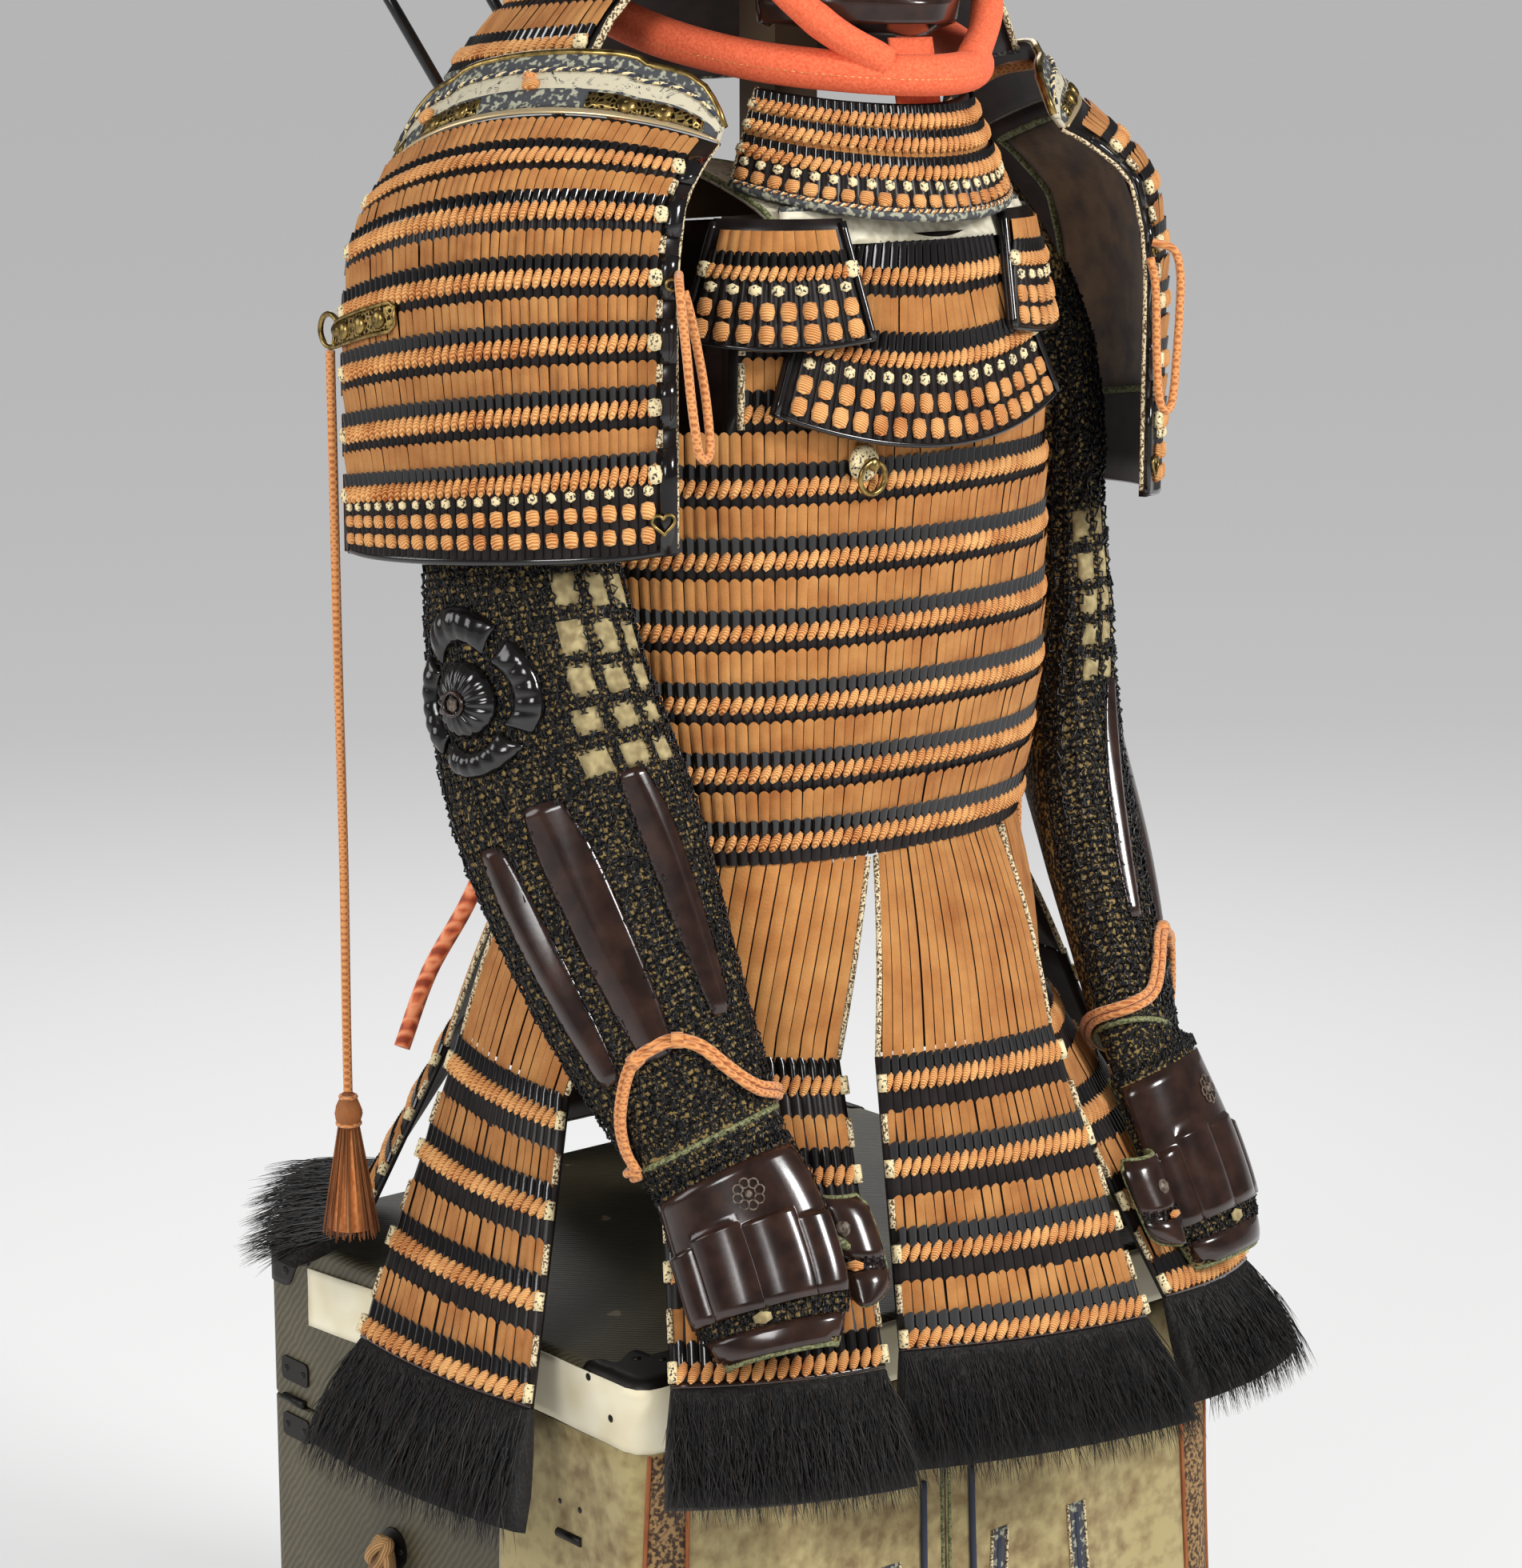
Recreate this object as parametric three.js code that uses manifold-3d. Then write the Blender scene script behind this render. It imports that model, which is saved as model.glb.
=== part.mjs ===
// Laced samurai armour set out on its storage chest, in millimetres, +Z up.
// The armour faces -Y and its right arm is on -X. The chest stands on z = 0 with its
// middle at the origin.
import * as THREE from 'three';
import { mergeVertices } from 'three/addons/utils/BufferGeometryUtils.js';
import Module from 'manifold-3d';

const wasm = await Module();
wasm.setup();

// Driving dimensions
const GAP = 0.3;
const CHEST = { width: 540, depth: 450, height: 560, seam: 428, round: 16, groove: 3 };
const BAND = { height: 44, thick: 2.5, top: 556 };
const THIGH = {
  hem: 120, top: BAND.top - BAND.height - 1, back: -70, thick: 2, folds: 9, wave: 3.5, flare: 14,
};
const AXIS_Y = -45;
const DOU = { waist: 880, pitch: 48.5, lame: 30.5, relief: 4, wall: 3, power: 2.3 };
const STRAP = { inner: 66, outer: 113, thick: 5, frontZ: 1292, backZ: 1292, topZ: 1344 };
const POST = { size: 56, barZ: 1306, barHalf: 102, barTop: STRAP.topZ - STRAP.thick - GAP, neckTop: 1500 };
const TASSET = { bulge: 9, relief: 3.5, wall: 3, rows: 4 };
const SODE = { radius: 200, middle: 205, span: 75, x: -120.6, y: -18.4, wall: 4, relief: 3.5 };
const SLEEVE = { wall: 2.5, power: 2.2 };
const LEFT_ELBOW = { back: 26, out: 11, top: 1230, low: 690 };
const HELMET = { x: 0, y: -62, rim: 1524, a: 116, b: 138, high: 128, wall: 4 };
const CORD = { loop: 6, side: 6.5, wrist: 7, chin: 27, back: 13 };
const RING = { radius: 11, wire: 2 };

// Half width and half depth of the cuirass at each height
const douHoop = [
  { z: 870, a: 177, b: 137 },
  { z: 950, a: 189, b: 146 },
  { z: 1000, a: 195, b: 150 },
  { z: 1130, a: 195, b: 150 },
  { z: 1200, a: 190, b: 146 },
  { z: 1310, a: 180, b: 132 },
];

// Corners of each tasset: its stretch of the waist, its first row and its last row
const tassets = [
  {
    name: 'front', waist: [-12.5, 40],
    topLeft: [-86, -250, 757], topRight: [66, -260, 756],
    lowLeft: [-92, -283, 560], lowRight: [116, -309, 544],
  },
  {
    name: 'front_left', waist: [41, 84],
    topLeft: [84, -214, 752], topRight: [186, -112, 748],
    lowLeft: [148, -297, 548], lowRight: [296, -236, 528], droop: 0.7,
  },
  {
    name: 'side_left', waist: [85, 131],
    topLeft: [240, -96, 745], topRight: [236, 40, 745],
    lowLeft: [316, -136, 548], lowRight: [308, 46, 545],
  },
  {
    name: 'rear', waist: [132, 189],
    topLeft: [150, 150, 722], topRight: [-30, 176, 722],
    lowLeft: [150, 214, 583], lowRight: [-42, 226, 583],
  },
  {
    name: 'rear_right', waist: [190, 247],
    topLeft: [-84, 182, 716], topRight: [-206, 78, 716],
    lowLeft: [-160, 220, 588], lowRight: [-286, 78, 592],
  },
  {
    name: 'side_right', waist: [248, 294],
    topLeft: [-234, 20, 742], topRight: [-236, -104, 726],
    lowLeft: [-314, 34, 534], lowRight: [-310, -158, 536],
  },
  {
    name: 'front_right', waist: [295, 346.5],
    topLeft: [-176, -126, 752], topRight: [-88, -214, 748],
    lowLeft: [-256, -240, 560], lowRight: [-118, -296, 558],
  },
];

// Rows of a shoulder guard: height at its middle, tilt of the front up, arch and inward lean
const sodeRows = [
  { z: 1096, tilt: 14, arch: 0, lean: 0, raised: 0.6 },
  { z: 1143.5, tilt: 31, arch: 3, lean: 0, raised: 1 },
  { z: 1155, tilt: 31, arch: 3, lean: 0, raised: 0.1 },
  { z: 1185, tilt: 33, arch: 6, lean: 0, raised: 1 },
  { z: 1196, tilt: 33, arch: 6, lean: 0, raised: 0.1 },
  { z: 1226.5, tilt: 33, arch: 9, lean: 0, raised: 1 },
  { z: 1238, tilt: 33, arch: 10, lean: 0, raised: 0.1 },
  { z: 1268, tilt: 33, arch: 13, lean: 2, raised: 1 },
  { z: 1279, tilt: 33, arch: 14, lean: 4, raised: 0.1 },
  { z: 1308, tilt: 33, arch: 18, lean: 12, raised: 1 },
  { z: 1318, tilt: 32, arch: 20, lean: 20, raised: 0.1 },
  { z: 1337, tilt: 28, arch: 24, lean: 42, raised: 1 },
  { z: 1351, tilt: 22, arch: 28, lean: 64, raised: 0.4 },
  { z: 1393, tilt: 20, arch: 26, lean: 98, raised: 0.4 },
];
const SODE_TRIM = 12;

// Middle line of the right sleeve: wide is the half width along the turned direction
const sleeveRings = [
  { x: -166, y: -46, z: 1312, wide: 50, flat: 32, turn: -85 },
  { x: -192, y: -48, z: 1276, wide: 58, flat: 36, turn: -84 },
  { x: -223, y: -52, z: 1220, wide: 64, flat: 34, turn: -82 },
  { x: -240, y: -56, z: 1150, wide: 68, flat: 34, turn: -80 },
  { x: -240, y: -62, z: 1086, wide: 74, flat: 35, turn: -76 },
  { x: -240, y: -80, z: 1010, wide: 80, flat: 37, turn: -70 },
  { x: -236, y: -97, z: 952, wide: 82, flat: 39, turn: -62 },
  { x: -229, y: -121, z: 894, wide: 79, flat: 38, turn: -54 },
  { x: -221, y: -152, z: 826, wide: 70, flat: 36, turn: -46 },
  { x: -211, y: -183, z: 764, wide: 60, flat: 32, turn: -43 },
  { x: -200, y: -210, z: 712, wide: 51, flat: 28, turn: -42 },
];

// Right and left hands: the middle line of the back of the hand and the way it faces
const hands = [
  {
    side: 'right', faces: -46, thumb: -128,
    rings: [
      { x: -196, y: -219, z: 696, half: 47, deep: 28 },
      { x: -194, y: -238, z: 668, half: 51, deep: 26 },
      { x: -195, y: -256, z: 640, half: 52, deep: 24 },
      { x: -198, y: -274, z: 610, half: 50, deep: 22 },
      { x: -203, y: -290, z: 584, half: 38, deep: 18 },
    ],
  },
  {
    side: 'left', faces: 14, thumb: 84,
    rings: [
      { x: 204, y: -217, z: 696, half: 46, deep: 28 },
      { x: 212, y: -236, z: 656, half: 50, deep: 26 },
      { x: 219, y: -252, z: 620, half: 52, deep: 24 },
      { x: 223, y: -266, z: 588, half: 50, deep: 22 },
      { x: 226, y: -279, z: 558, half: 38, deep: 18 },
    ],
  },
];

const colours = {
  lace: { color: 0xc8793c, roughness: 0.85, metalness: 0 },
  lacquer: { color: 0x15110f, roughness: 0.3, metalness: 0 },
  brown: { color: 0x2a1712, roughness: 0.3, metalness: 0 },
  mail: { color: 0x2a2620, roughness: 0.6, metalness: 0.4 },
  fur: { color: 0x1c1a1b, roughness: 0.95, metalness: 0 },
  leather: { color: 0xb8a98a, roughness: 0.8, metalness: 0 },
  gilt: { color: 0xa58a4a, roughness: 0.35, metalness: 1 },
  coral: { color: 0xd9603d, roughness: 0.9, metalness: 0 },
  chest: { color: 0x4a4432, roughness: 0.8, metalness: 0 },
  cream: { color: 0xe6dcbc, roughness: 0.95, metalness: 0 },
  olive: { color: 0x9a8c58, roughness: 0.9, metalness: 0 },
  wood: { color: 0x5a4632, roughness: 0.7, metalness: 0 },
};

const armour = new THREE.Group();
armour.name = 'samurai_armour';

function add(name, geometry, finish) {
  const solid = geometry.clone();
  solid.deleteAttribute('uv');
  solid.computeVertexNormals();
  const mesh = new THREE.Mesh(solid, new THREE.MeshStandardMaterial(colours[finish]));
  mesh.name = name;
  armour.add(mesh);
  return mesh;
}

const radians = THREE.MathUtils.degToRad;
const mix = THREE.MathUtils.lerp;

// Reads every column of a table at a value of its key column, in straight steps
function readTable(table, key, value) {
  const rising = table[0][key] < table[table.length - 1][key];
  let after = table.findIndex((row) => (rising ? row[key] >= value : row[key] <= value));
  if (after < 0) after = table.length - 1;
  after = Math.max(after, 1);
  const low = table[after - 1];
  const high = table[after];
  const share = THREE.MathUtils.clamp((value - low[key]) / (high[key] - low[key]), 0, 1);
  const names = Object.keys(low);
  return Object.fromEntries(names.map((name) => [name, mix(low[name], high[name], share)]));
}

// A row of a table at a fractional place, smoothed through its neighbours
function readSmooth(table, place) {
  const last = table.length - 1;
  const low = Math.min(Math.floor(place), last - 1);
  const t = place - low;
  const rows = [low - 1, low, low + 1, low + 2].map((i) => table[THREE.MathUtils.clamp(i, 0, last)]);
  const blend = (p0, p1, p2, p3) => 0.5 * (2 * p1 + (p2 - p0) * t
    + (2 * p0 - 5 * p1 + 4 * p2 - p3) * t * t + (3 * p1 - p0 - 3 * p2 + p3) * t * t * t);
  const names = Object.keys(rows[0]);
  return Object.fromEntries(names.map((name) => [name, blend(...rows.map((row) => row[name]))]));
}

// A closed solid from points and triangles, turned to face outwards
function solidFrom(points, triangles) {
  let volume = 0;
  for (const [a, b, c] of triangles) {
    volume += points[a].dot(new THREE.Vector3().crossVectors(points[b], points[c]));
  }
  const faces = volume < 0 ? triangles.map(([a, b, c]) => [a, c, b]) : triangles;
  const geometry = new THREE.BufferGeometry();
  const flat = points.flatMap((p) => [p.x, p.y, p.z]);
  geometry.setAttribute('position', new THREE.Float32BufferAttribute(flat, 3));
  geometry.setIndex(faces.flat());
  return geometry;
}

// A wall over a grid of cells. outer and inner give the two skins at column i and row j,
// keep says which cells are there, and every open edge is closed by a rim.
function wall({ columns, rows, outer, inner, loop = false, keep = () => true }) {
  const points = [];
  const indices = new Map();
  const at = (skin, i, j) => {
    const column = loop ? (i + columns) % columns : i;
    const key = `${skin},${column},${j}`;
    if (!indices.has(key)) {
      indices.set(key, points.length);
      points.push(skin === 'outer' ? outer(column, j) : inner(column, j));
    }
    return indices.get(key);
  };
  const there = (i, j) => {
    const column = loop ? (i + columns) % columns : i;
    return column >= 0 && column < columns && j >= 0 && j < rows && keep(column, j);
  };
  const triangles = [];
  const quad = (a, b, c, d) => triangles.push([a, b, c], [a, c, d]);
  for (let i = 0; i < columns; i += 1) {
    for (let j = 0; j < rows; j += 1) {
      if (!there(i, j)) continue;
      quad(at('outer', i, j), at('outer', i + 1, j), at('outer', i + 1, j + 1), at('outer', i, j + 1));
      quad(at('inner', i, j), at('inner', i, j + 1), at('inner', i + 1, j + 1), at('inner', i + 1, j));
      const edges = [
        [there(i, j - 1), i, j, i + 1, j],
        [there(i + 1, j), i + 1, j, i + 1, j + 1],
        [there(i, j + 1), i + 1, j + 1, i, j + 1],
        [there(i - 1, j), i, j + 1, i, j],
      ];
      for (const [covered, i0, j0, i1, j1] of edges) {
        if (covered) continue;
        quad(at('outer', i0, j0), at('inner', i0, j0), at('inner', i1, j1), at('outer', i1, j1));
      }
    }
  }
  return solidFrom(points, triangles);
}

// Joins and cuts
function toSolid(geometry) {
  const bare = geometry.clone();
  bare.deleteAttribute('normal');
  bare.deleteAttribute('uv');
  const merged = mergeVertices(bare, 1e-4);
  const vertProperties = new Float32Array(merged.attributes.position.array);
  const triVerts = new Uint32Array(merged.index.array);
  return new wasm.Manifold(new wasm.Mesh({ numProp: 3, vertProperties, triVerts }));
}

function fromSolid(solid) {
  const mesh = solid.getMesh();
  const geometry = new THREE.BufferGeometry();
  geometry.setAttribute('position', new THREE.Float32BufferAttribute(mesh.vertProperties, 3));
  geometry.setIndex(Array.from(mesh.triVerts));
  return geometry;
}

function join(...geometries) {
  return fromSolid(geometries.map(toSolid).reduce((whole, piece) => whole.add(piece)));
}

// Cuts tools from a piece and keeps the largest body that is left
function cut(geometry, ...tools) {
  const left = tools.reduce((solid, tool) => solid.subtract(toSolid(tool)), toSolid(geometry));
  const bodies = left.decompose().sort((one, other) => other.volume() - one.volume());
  return fromSolid(bodies[0]);
}

function box(x0, x1, y0, y1, z0, z1) {
  const block = new THREE.BoxGeometry(x1 - x0, y1 - y0, z1 - z0);
  block.translate((x0 + x1) / 2, (y0 + y1) / 2, (z0 + z1) / 2);
  return block;
}

function circle(radius, sides) {
  const corners = Array.from({ length: sides }, (_, i) => {
    const angle = (i * 2 * Math.PI) / sides;
    return new THREE.Vector2(radius * Math.cos(angle), radius * Math.sin(angle));
  });
  return new THREE.Shape(corners);
}

// A cord along a curve through hand-placed points
function cordSolid(points, diameter, steps, sides = 8) {
  const curve = new THREE.CatmullRomCurve3(points.map(([x, y, z]) => new THREE.Vector3(x, y, z)));
  const options = { steps, extrudePath: curve, bevelEnabled: false };
  return new THREE.ExtrudeGeometry(circle(diameter / 2, sides), options);
}

const mirrorPoint = ([x, y, z]) => [-x, y, z];

// The mirror image of a solid, with its faces turned back outwards
function mirrored(geometry) {
  const copy = geometry.index ? geometry.clone() : mergeVertices(geometry, 1e-4);
  copy.scale(-1, 1, 1);
  const index = Array.from(copy.index.array);
  for (let i = 0; i < index.length; i += 3) {
    [index[i + 1], index[i + 2]] = [index[i + 2], index[i + 1]];
  }
  copy.setIndex(index);
  return copy;
}

// Adds a right piece and its mirror image as the left one
function addPair(name, geometry, finish) {
  add(`${name}_right`, geometry, finish);
  add(`${name}_left`, mirrored(geometry), finish);
}

// Chest: a body and a lid joined at a groove, with rounded upright corners
function roundedPlan(width, depth, round) {
  const x = width / 2 - round;
  const y = depth / 2 - round;
  const plan = new THREE.Shape();
  plan.absarc(x, y, round, 0, radians(90));
  plan.absarc(-x, y, round, radians(90), radians(180));
  plan.absarc(-x, -y, round, radians(180), radians(270));
  plan.absarc(x, -y, round, radians(270), radians(360));
  return plan;
}

function chestBlock(inset, z0, z1, bevel) {
  const less = 2 * (inset + bevel);
  const plan = roundedPlan(CHEST.width - less, CHEST.depth - less, CHEST.round);
  const options = {
    depth: z1 - z0 - 2 * bevel, curveSegments: 2, bevelEnabled: bevel > 0,
    bevelThickness: bevel, bevelSize: bevel, bevelSegments: 1,
  };
  const block = new THREE.ExtrudeGeometry(plan, options);
  block.translate(0, 0, z0 + bevel);
  return block;
}

function chest() {
  const body = chestBlock(0, 0, CHEST.seam, 0);
  const neck = chestBlock(CHEST.groove, CHEST.seam - 1, CHEST.seam + CHEST.groove + 8, 0);
  const lid = chestBlock(0, CHEST.seam + CHEST.groove, CHEST.height, 7);
  return join(body, neck, lid);
}
add('chest', chest(), 'chest');

// Stops along half the outline, close together round the corner
function outlineStops(start, end, frontSteps, sideSteps) {
  const front = CHEST.width / 2 - CHEST.round;
  const bend = (Math.PI / 2) * CHEST.round;
  const stops = [];
  for (let i = 0; i < frontSteps; i += 1) {
    stops.push({ side: 0, share: mix(start / front, 1, i / frontSteps) });
  }
  for (let i = 0; i < 3; i += 1) stops.push({ side: 1, share: i / 3 });
  const reach = end - front - bend;
  for (let i = 0; i <= sideSteps; i += 1) stops.push({ side: 2, share: (reach * i) / sideSteps });
  return stops;
}

// Point at a stop, out from the chest
function stopPoint({ side, share }, sign, out) {
  const x = CHEST.width / 2;
  const y = CHEST.depth / 2;
  const front = x - CHEST.round;
  const turn = (share * Math.PI) / 2;
  const round = CHEST.round + out;
  if (side === 0) return [sign * front * share, -y - out];
  if (side === 1) return [sign * (front + round * Math.sin(turn)), -y + CHEST.round - round * Math.cos(turn)];
  return [sign * (x + out), -y + CHEST.round + share];
}

// Waistband of the thigh guards, round the front and sides under the lid's rim
function waistband() {
  const half = outlineStops(0, CHEST.width / 2 + CHEST.depth / 2 + 190, 2, 3);
  const right = half.slice(1).reverse().map((stop) => ({ stop, sign: -1 }));
  const left = half.map((stop) => ({ stop, sign: 1 }));
  const stops = [...right, ...left];
  const band = (out) => (i, j) => {
    const [x, y] = stopPoint(stops[i].stop, stops[i].sign, out);
    const drop = Math.max(0, y + 60) * 0.07;
    return new THREE.Vector3(x, y, BAND.top - drop - (1 - j) * BAND.height);
  };
  return wall({ columns: stops.length - 1, rows: 1, outer: band(GAP + BAND.thick), inner: band(GAP) });
}
add('waistband', waistband(), 'cream');

// Thigh guards: two cloth panels that hang from the waistband, with soft folds
function thighPanel() {
  const stops = outlineStops(0.6, CHEST.width / 2 + THIGH.back + CHEST.depth / 2 - 8, 10, 5);
  const columns = stops.length - 1;
  const rows = 4;
  const skin = (out) => (i, j) => {
    const v = j / rows;
    const swing = THIGH.wave * (1 + Math.sin((Math.PI * THIGH.folds * i) / columns)) * v;
    const [x, y] = stopPoint(stops[i], -1, GAP + 0.4 + out + swing + THIGH.flare * v * v);
    return new THREE.Vector3(x, y, mix(THIGH.top, THIGH.hem, v));
  };
  return wall({ columns, rows, outer: skin(THIGH.thick), inner: skin(0) });
}
addPair('thigh_guard', thighPanel(), 'olive');

// Stand inside the cuirass: a post on the chest, a shoulder bar and a neck
function stand() {
  const half = POST.size / 2;
  const post = box(-half, half, AXIS_Y - half, AXIS_Y + half, CHEST.height + GAP, POST.barZ + 4);
  const bar = box(-POST.barHalf, POST.barHalf, AXIS_Y - 20, AXIS_Y + 20, POST.barZ, POST.barTop);
  const neck = box(-19, 19, AXIS_Y - 19, AXIS_Y + 19, POST.barZ + 10, POST.neckTop);
  const head = new THREE.SphereGeometry(62, 12, 8);
  head.rotateX(Math.PI / 2);
  head.scale(1, 1.1, 0.8);
  head.translate(0, AXIS_Y - 10, POST.neckTop + 30);
  const crown = HELMET.rim + HELMET.high - 7 - GAP;
  const rest = box(-14, 14, HELMET.y - 14, HELMET.y + 14, POST.neckTop + 30, crown);
  return join(post, bar, neck, head, rest);
}
add('stand', stand(), 'wood');

// Cuirass
function hoop(degrees, a, b) {
  const s = Math.sin(radians(degrees));
  const c = Math.cos(radians(degrees));
  const sum = Math.abs(s / a) ** DOU.power + Math.abs(c / b) ** DOU.power;
  const radius = sum ** (-1 / DOU.power);
  return [radius * s, AXIS_Y - radius * c];
}

function douPoint(degrees, z, out) {
  const { a, b } = readTable(douHoop, 'z', z);
  const [x, y] = hoop(degrees, a + out, b + out);
  return new THREE.Vector3(x, y, z);
}

// Heights of the lames from the waist up, each with its raised head and tucked lower edge
function douHeights(lames) {
  const heights = [];
  for (let k = 0; k < lames; k += 1) {
    const low = DOU.waist + k * DOU.pitch;
    heights.push({ z: low, out: 1.5 }, { z: low + DOU.lame, out: DOU.relief });
  }
  const top = DOU.waist + lames * DOU.pitch;
  heights.push({ z: top, out: 1.5 });
  return heights;
}

function douHalf(middle, open, lames, topZ) {
  const columns = 14;
  const heights = [...douHeights(lames), { z: topZ, out: 0.8 }];
  const rows = heights.length - 1;
  const sideTop = 12;
  const azimuth = (i) => middle + mix(-90, 90, i / columns) * (1 - 0.0008);
  const skin = (inside) => (i, j) => {
    const { z, out } = heights[j];
    return douPoint(azimuth(i), z, inside ? 0 : DOU.wall + out - 1.5);
  };
  const keep = (i, j) => {
    const across = Math.abs(mix(-90, 90, (i + 0.5) / columns));
    return across < open || j < sideTop;
  };
  return wall({ columns, rows, outer: skin(false), inner: skin(true), keep });
}
add('dou_front', douHalf(0, 51, 8, STRAP.frontZ - GAP), 'lace');

// Black rods that stand in a bracket on the back
function backHalf() {
  const shell = douHalf(180, 64, 8, STRAP.backZ - GAP);
  const back = AXIS_Y + 143;
  const bracket = box(-36, 96, back, back + 62, 1192, 1208);
  const lean = { x: -0.435, y: 0.371 };
  const rodFrom = (x) => {
    const at = (rise) => [x + lean.x * rise, back + 52 + lean.y * rise, 1196 + rise];
    return cordSolid([at(0), at(100), at(306)], 9, 2, 8);
  };
  const rods = [rodFrom(-14), rodFrom(77)];
  return join(shell, bracket, ...rods);
}
add('dou_back', backHalf(), 'lace');

// Tassets: skirt pieces that hang by long laces from the waist
function tassetPoint(piece, u, level, out) {
  const at = (corners) => new THREE.Vector3(...corners);
  const azimuth = mix(piece.waist[0] + 0.4, piece.waist[1] - 0.4, u);
  const waist = douPoint(azimuth, DOU.waist - GAP, 1.5);
  const across = (left, right) => {
    const point = new THREE.Vector3().lerpVectors(left, right, u);
    const side = new THREE.Vector3().subVectors(right, left);
    const normal = new THREE.Vector3(side.y, -side.x, 0).normalize();
    return point.addScaledVector(normal, TASSET.bulge * 4 * u * (1 - u));
  };
  const top = across(at(piece.topLeft), at(piece.topRight));
  const low = across(at(piece.lowLeft), at(piece.lowRight));
  const point = level < 0
    ? new THREE.Vector3().lerpVectors(waist, top, 1 + level)
    : new THREE.Vector3().lerpVectors(top, low, level);
  if (level < 0) {
    const flare = new THREE.Vector3(top.x, top.y - AXIS_Y, 0).normalize();
    point.addScaledVector(flare, 5 * Math.sin(-level * Math.PI));
  }
  const left = level < 0 ? at(piece.topLeft) : at(piece.lowLeft);
  const right = level < 0 ? at(piece.topRight) : at(piece.lowRight);
  const side = new THREE.Vector3().subVectors(right, left).normalize();
  const hang = new THREE.Vector3().subVectors(low, top).normalize();
  const normal = new THREE.Vector3().crossVectors(side, hang).normalize();
  const outward = new THREE.Vector3(side.y, -side.x, 0);
  if (normal.dot(outward) < 0) normal.negate();
  return level <= -1 ? douPoint(azimuth, DOU.waist - GAP, 1.5 + out) : point.addScaledVector(normal, out);
}

// Levels run from -1 at the waist, through 0 at the first row, to 1 at the last edge
function tassetLevels() {
  const levels = [{ level: -1, out: 0 }, { level: -0.5, out: 0 }, { level: -0.04, out: 0 }];
  const pitch = (1 - 0.13) / TASSET.rows;
  for (let k = 0; k < TASSET.rows; k += 1) {
    levels.push({ level: k * pitch, out: TASSET.relief }, { level: (k + 0.64) * pitch, out: 0.8 });
  }
  levels.push({ level: 1, out: 1.5 });
  return levels;
}

function tasset(piece) {
  const columns = 4;
  const levels = tassetLevels();
  const skin = (base) => (i, j) => {
    const { level, out } = levels[j];
    return tassetPoint(piece, i / columns, level, base < 0 ? base : out);
  };
  return wall({ columns, rows: levels.length - 1, outer: skin(0), inner: skin(-TASSET.wall) });
}

// Fur that hangs below a tasset, fuller in the middle of its length
function furSolid(piece) {
  const columns = 6;
  const lengths = [
    { drop: 0.4, out: 0.5, back: -3, grow: 0 },
    { drop: 30, out: 11, back: -4, grow: 4 },
    { drop: 64, out: 16, back: -4, grow: 7 },
    { drop: 90, out: 11, back: 0, grow: 8 },
  ];
  const skin = (inside) => (i, j) => {
    const { drop, out, back, grow } = lengths[j];
    const low = tassetPoint(piece, 1, 1, 0);
    const high = tassetPoint(piece, 0, 1, 0);
    const side = new THREE.Vector3().subVectors(low, high).normalize();
    const u = i / columns;
    const point = tassetPoint(piece, u, 1, inside ? back : out);
    const hang = tassetPoint(piece, u, 1, 0).sub(tassetPoint(piece, u, 0.6, 0)).normalize();
    const lying = piece.name.startsWith('rear');
    if (lying) hang.z *= 0.12;
    hang.z -= piece.droop ?? 0;
    hang.normalize();
    point.addScaledVector(hang, lying ? 0.7 * drop : drop);
    return point.addScaledVector(side, grow * (2 * u - 1));
  };
  return wall({ columns, rows: lengths.length - 1, outer: skin(false), inner: skin(true) });
}

for (const piece of tassets) {
  add(`tasset_${piece.name}`, tasset(piece), 'lace');
  add(`fur_${piece.name}`, furSolid(piece), 'fur');
}

// Shoulder straps of the cuirass, with the tie lugs that carry the sleeve and shoulder guard
function strapSolid() {
  const frontY = hoop(0, 180, 134)[1] + 8;
  const backY = 2 * AXIS_Y - frontY;
  const edge = (lift) => [
    [frontY - lift * 0.6, STRAP.frontZ], [frontY + 7 - lift * 0.5, STRAP.frontZ + 20],
    [AXIS_Y - 62, STRAP.topZ - STRAP.thick - 6 + lift], [AXIS_Y - 24, STRAP.topZ - STRAP.thick + lift],
    [AXIS_Y + 24, STRAP.topZ - STRAP.thick + lift], [AXIS_Y + 62, STRAP.topZ - STRAP.thick - 6 + lift],
    [backY - 7 + lift * 0.5, STRAP.backZ + 20], [backY + lift * 0.6, STRAP.backZ],
  ];
  const outline = [...edge(STRAP.thick + 1), ...edge(0).reverse()].map(([y, z]) => new THREE.Vector2(y, z));
  const options = { depth: STRAP.outer - STRAP.inner, bevelEnabled: false };
  const band = new THREE.ExtrudeGeometry(new THREE.Shape(outline), options);
  band.rotateX(Math.PI / 2);
  band.rotateZ(Math.PI / 2);
  band.translate(-STRAP.outer, 0, 0);
  return band;
}

// Shoulder guard skin: u runs from its rear edge to its front edge, row is a place in the table
function sodePoint(u, row, out) {
  const { z, tilt, arch, lean, raised } = readTable(sodeRows.map((r, i) => ({ ...r, i })), 'i', row);
  const angle = radians(SODE.middle + (u - 0.5) * SODE.span);
  const inward = radians(SODE.middle);
  const radius = SODE.radius + (out > 0 ? raised * out : out);
  const x = SODE.x + radius * Math.cos(angle) - lean * Math.cos(inward);
  const y = SODE.y + radius * Math.sin(angle) - lean * Math.sin(inward);
  return new THREE.Vector3(x, y, z + tilt * (u - 0.5) + arch * (1 - (2 * u - 1) ** 2));
}

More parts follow.
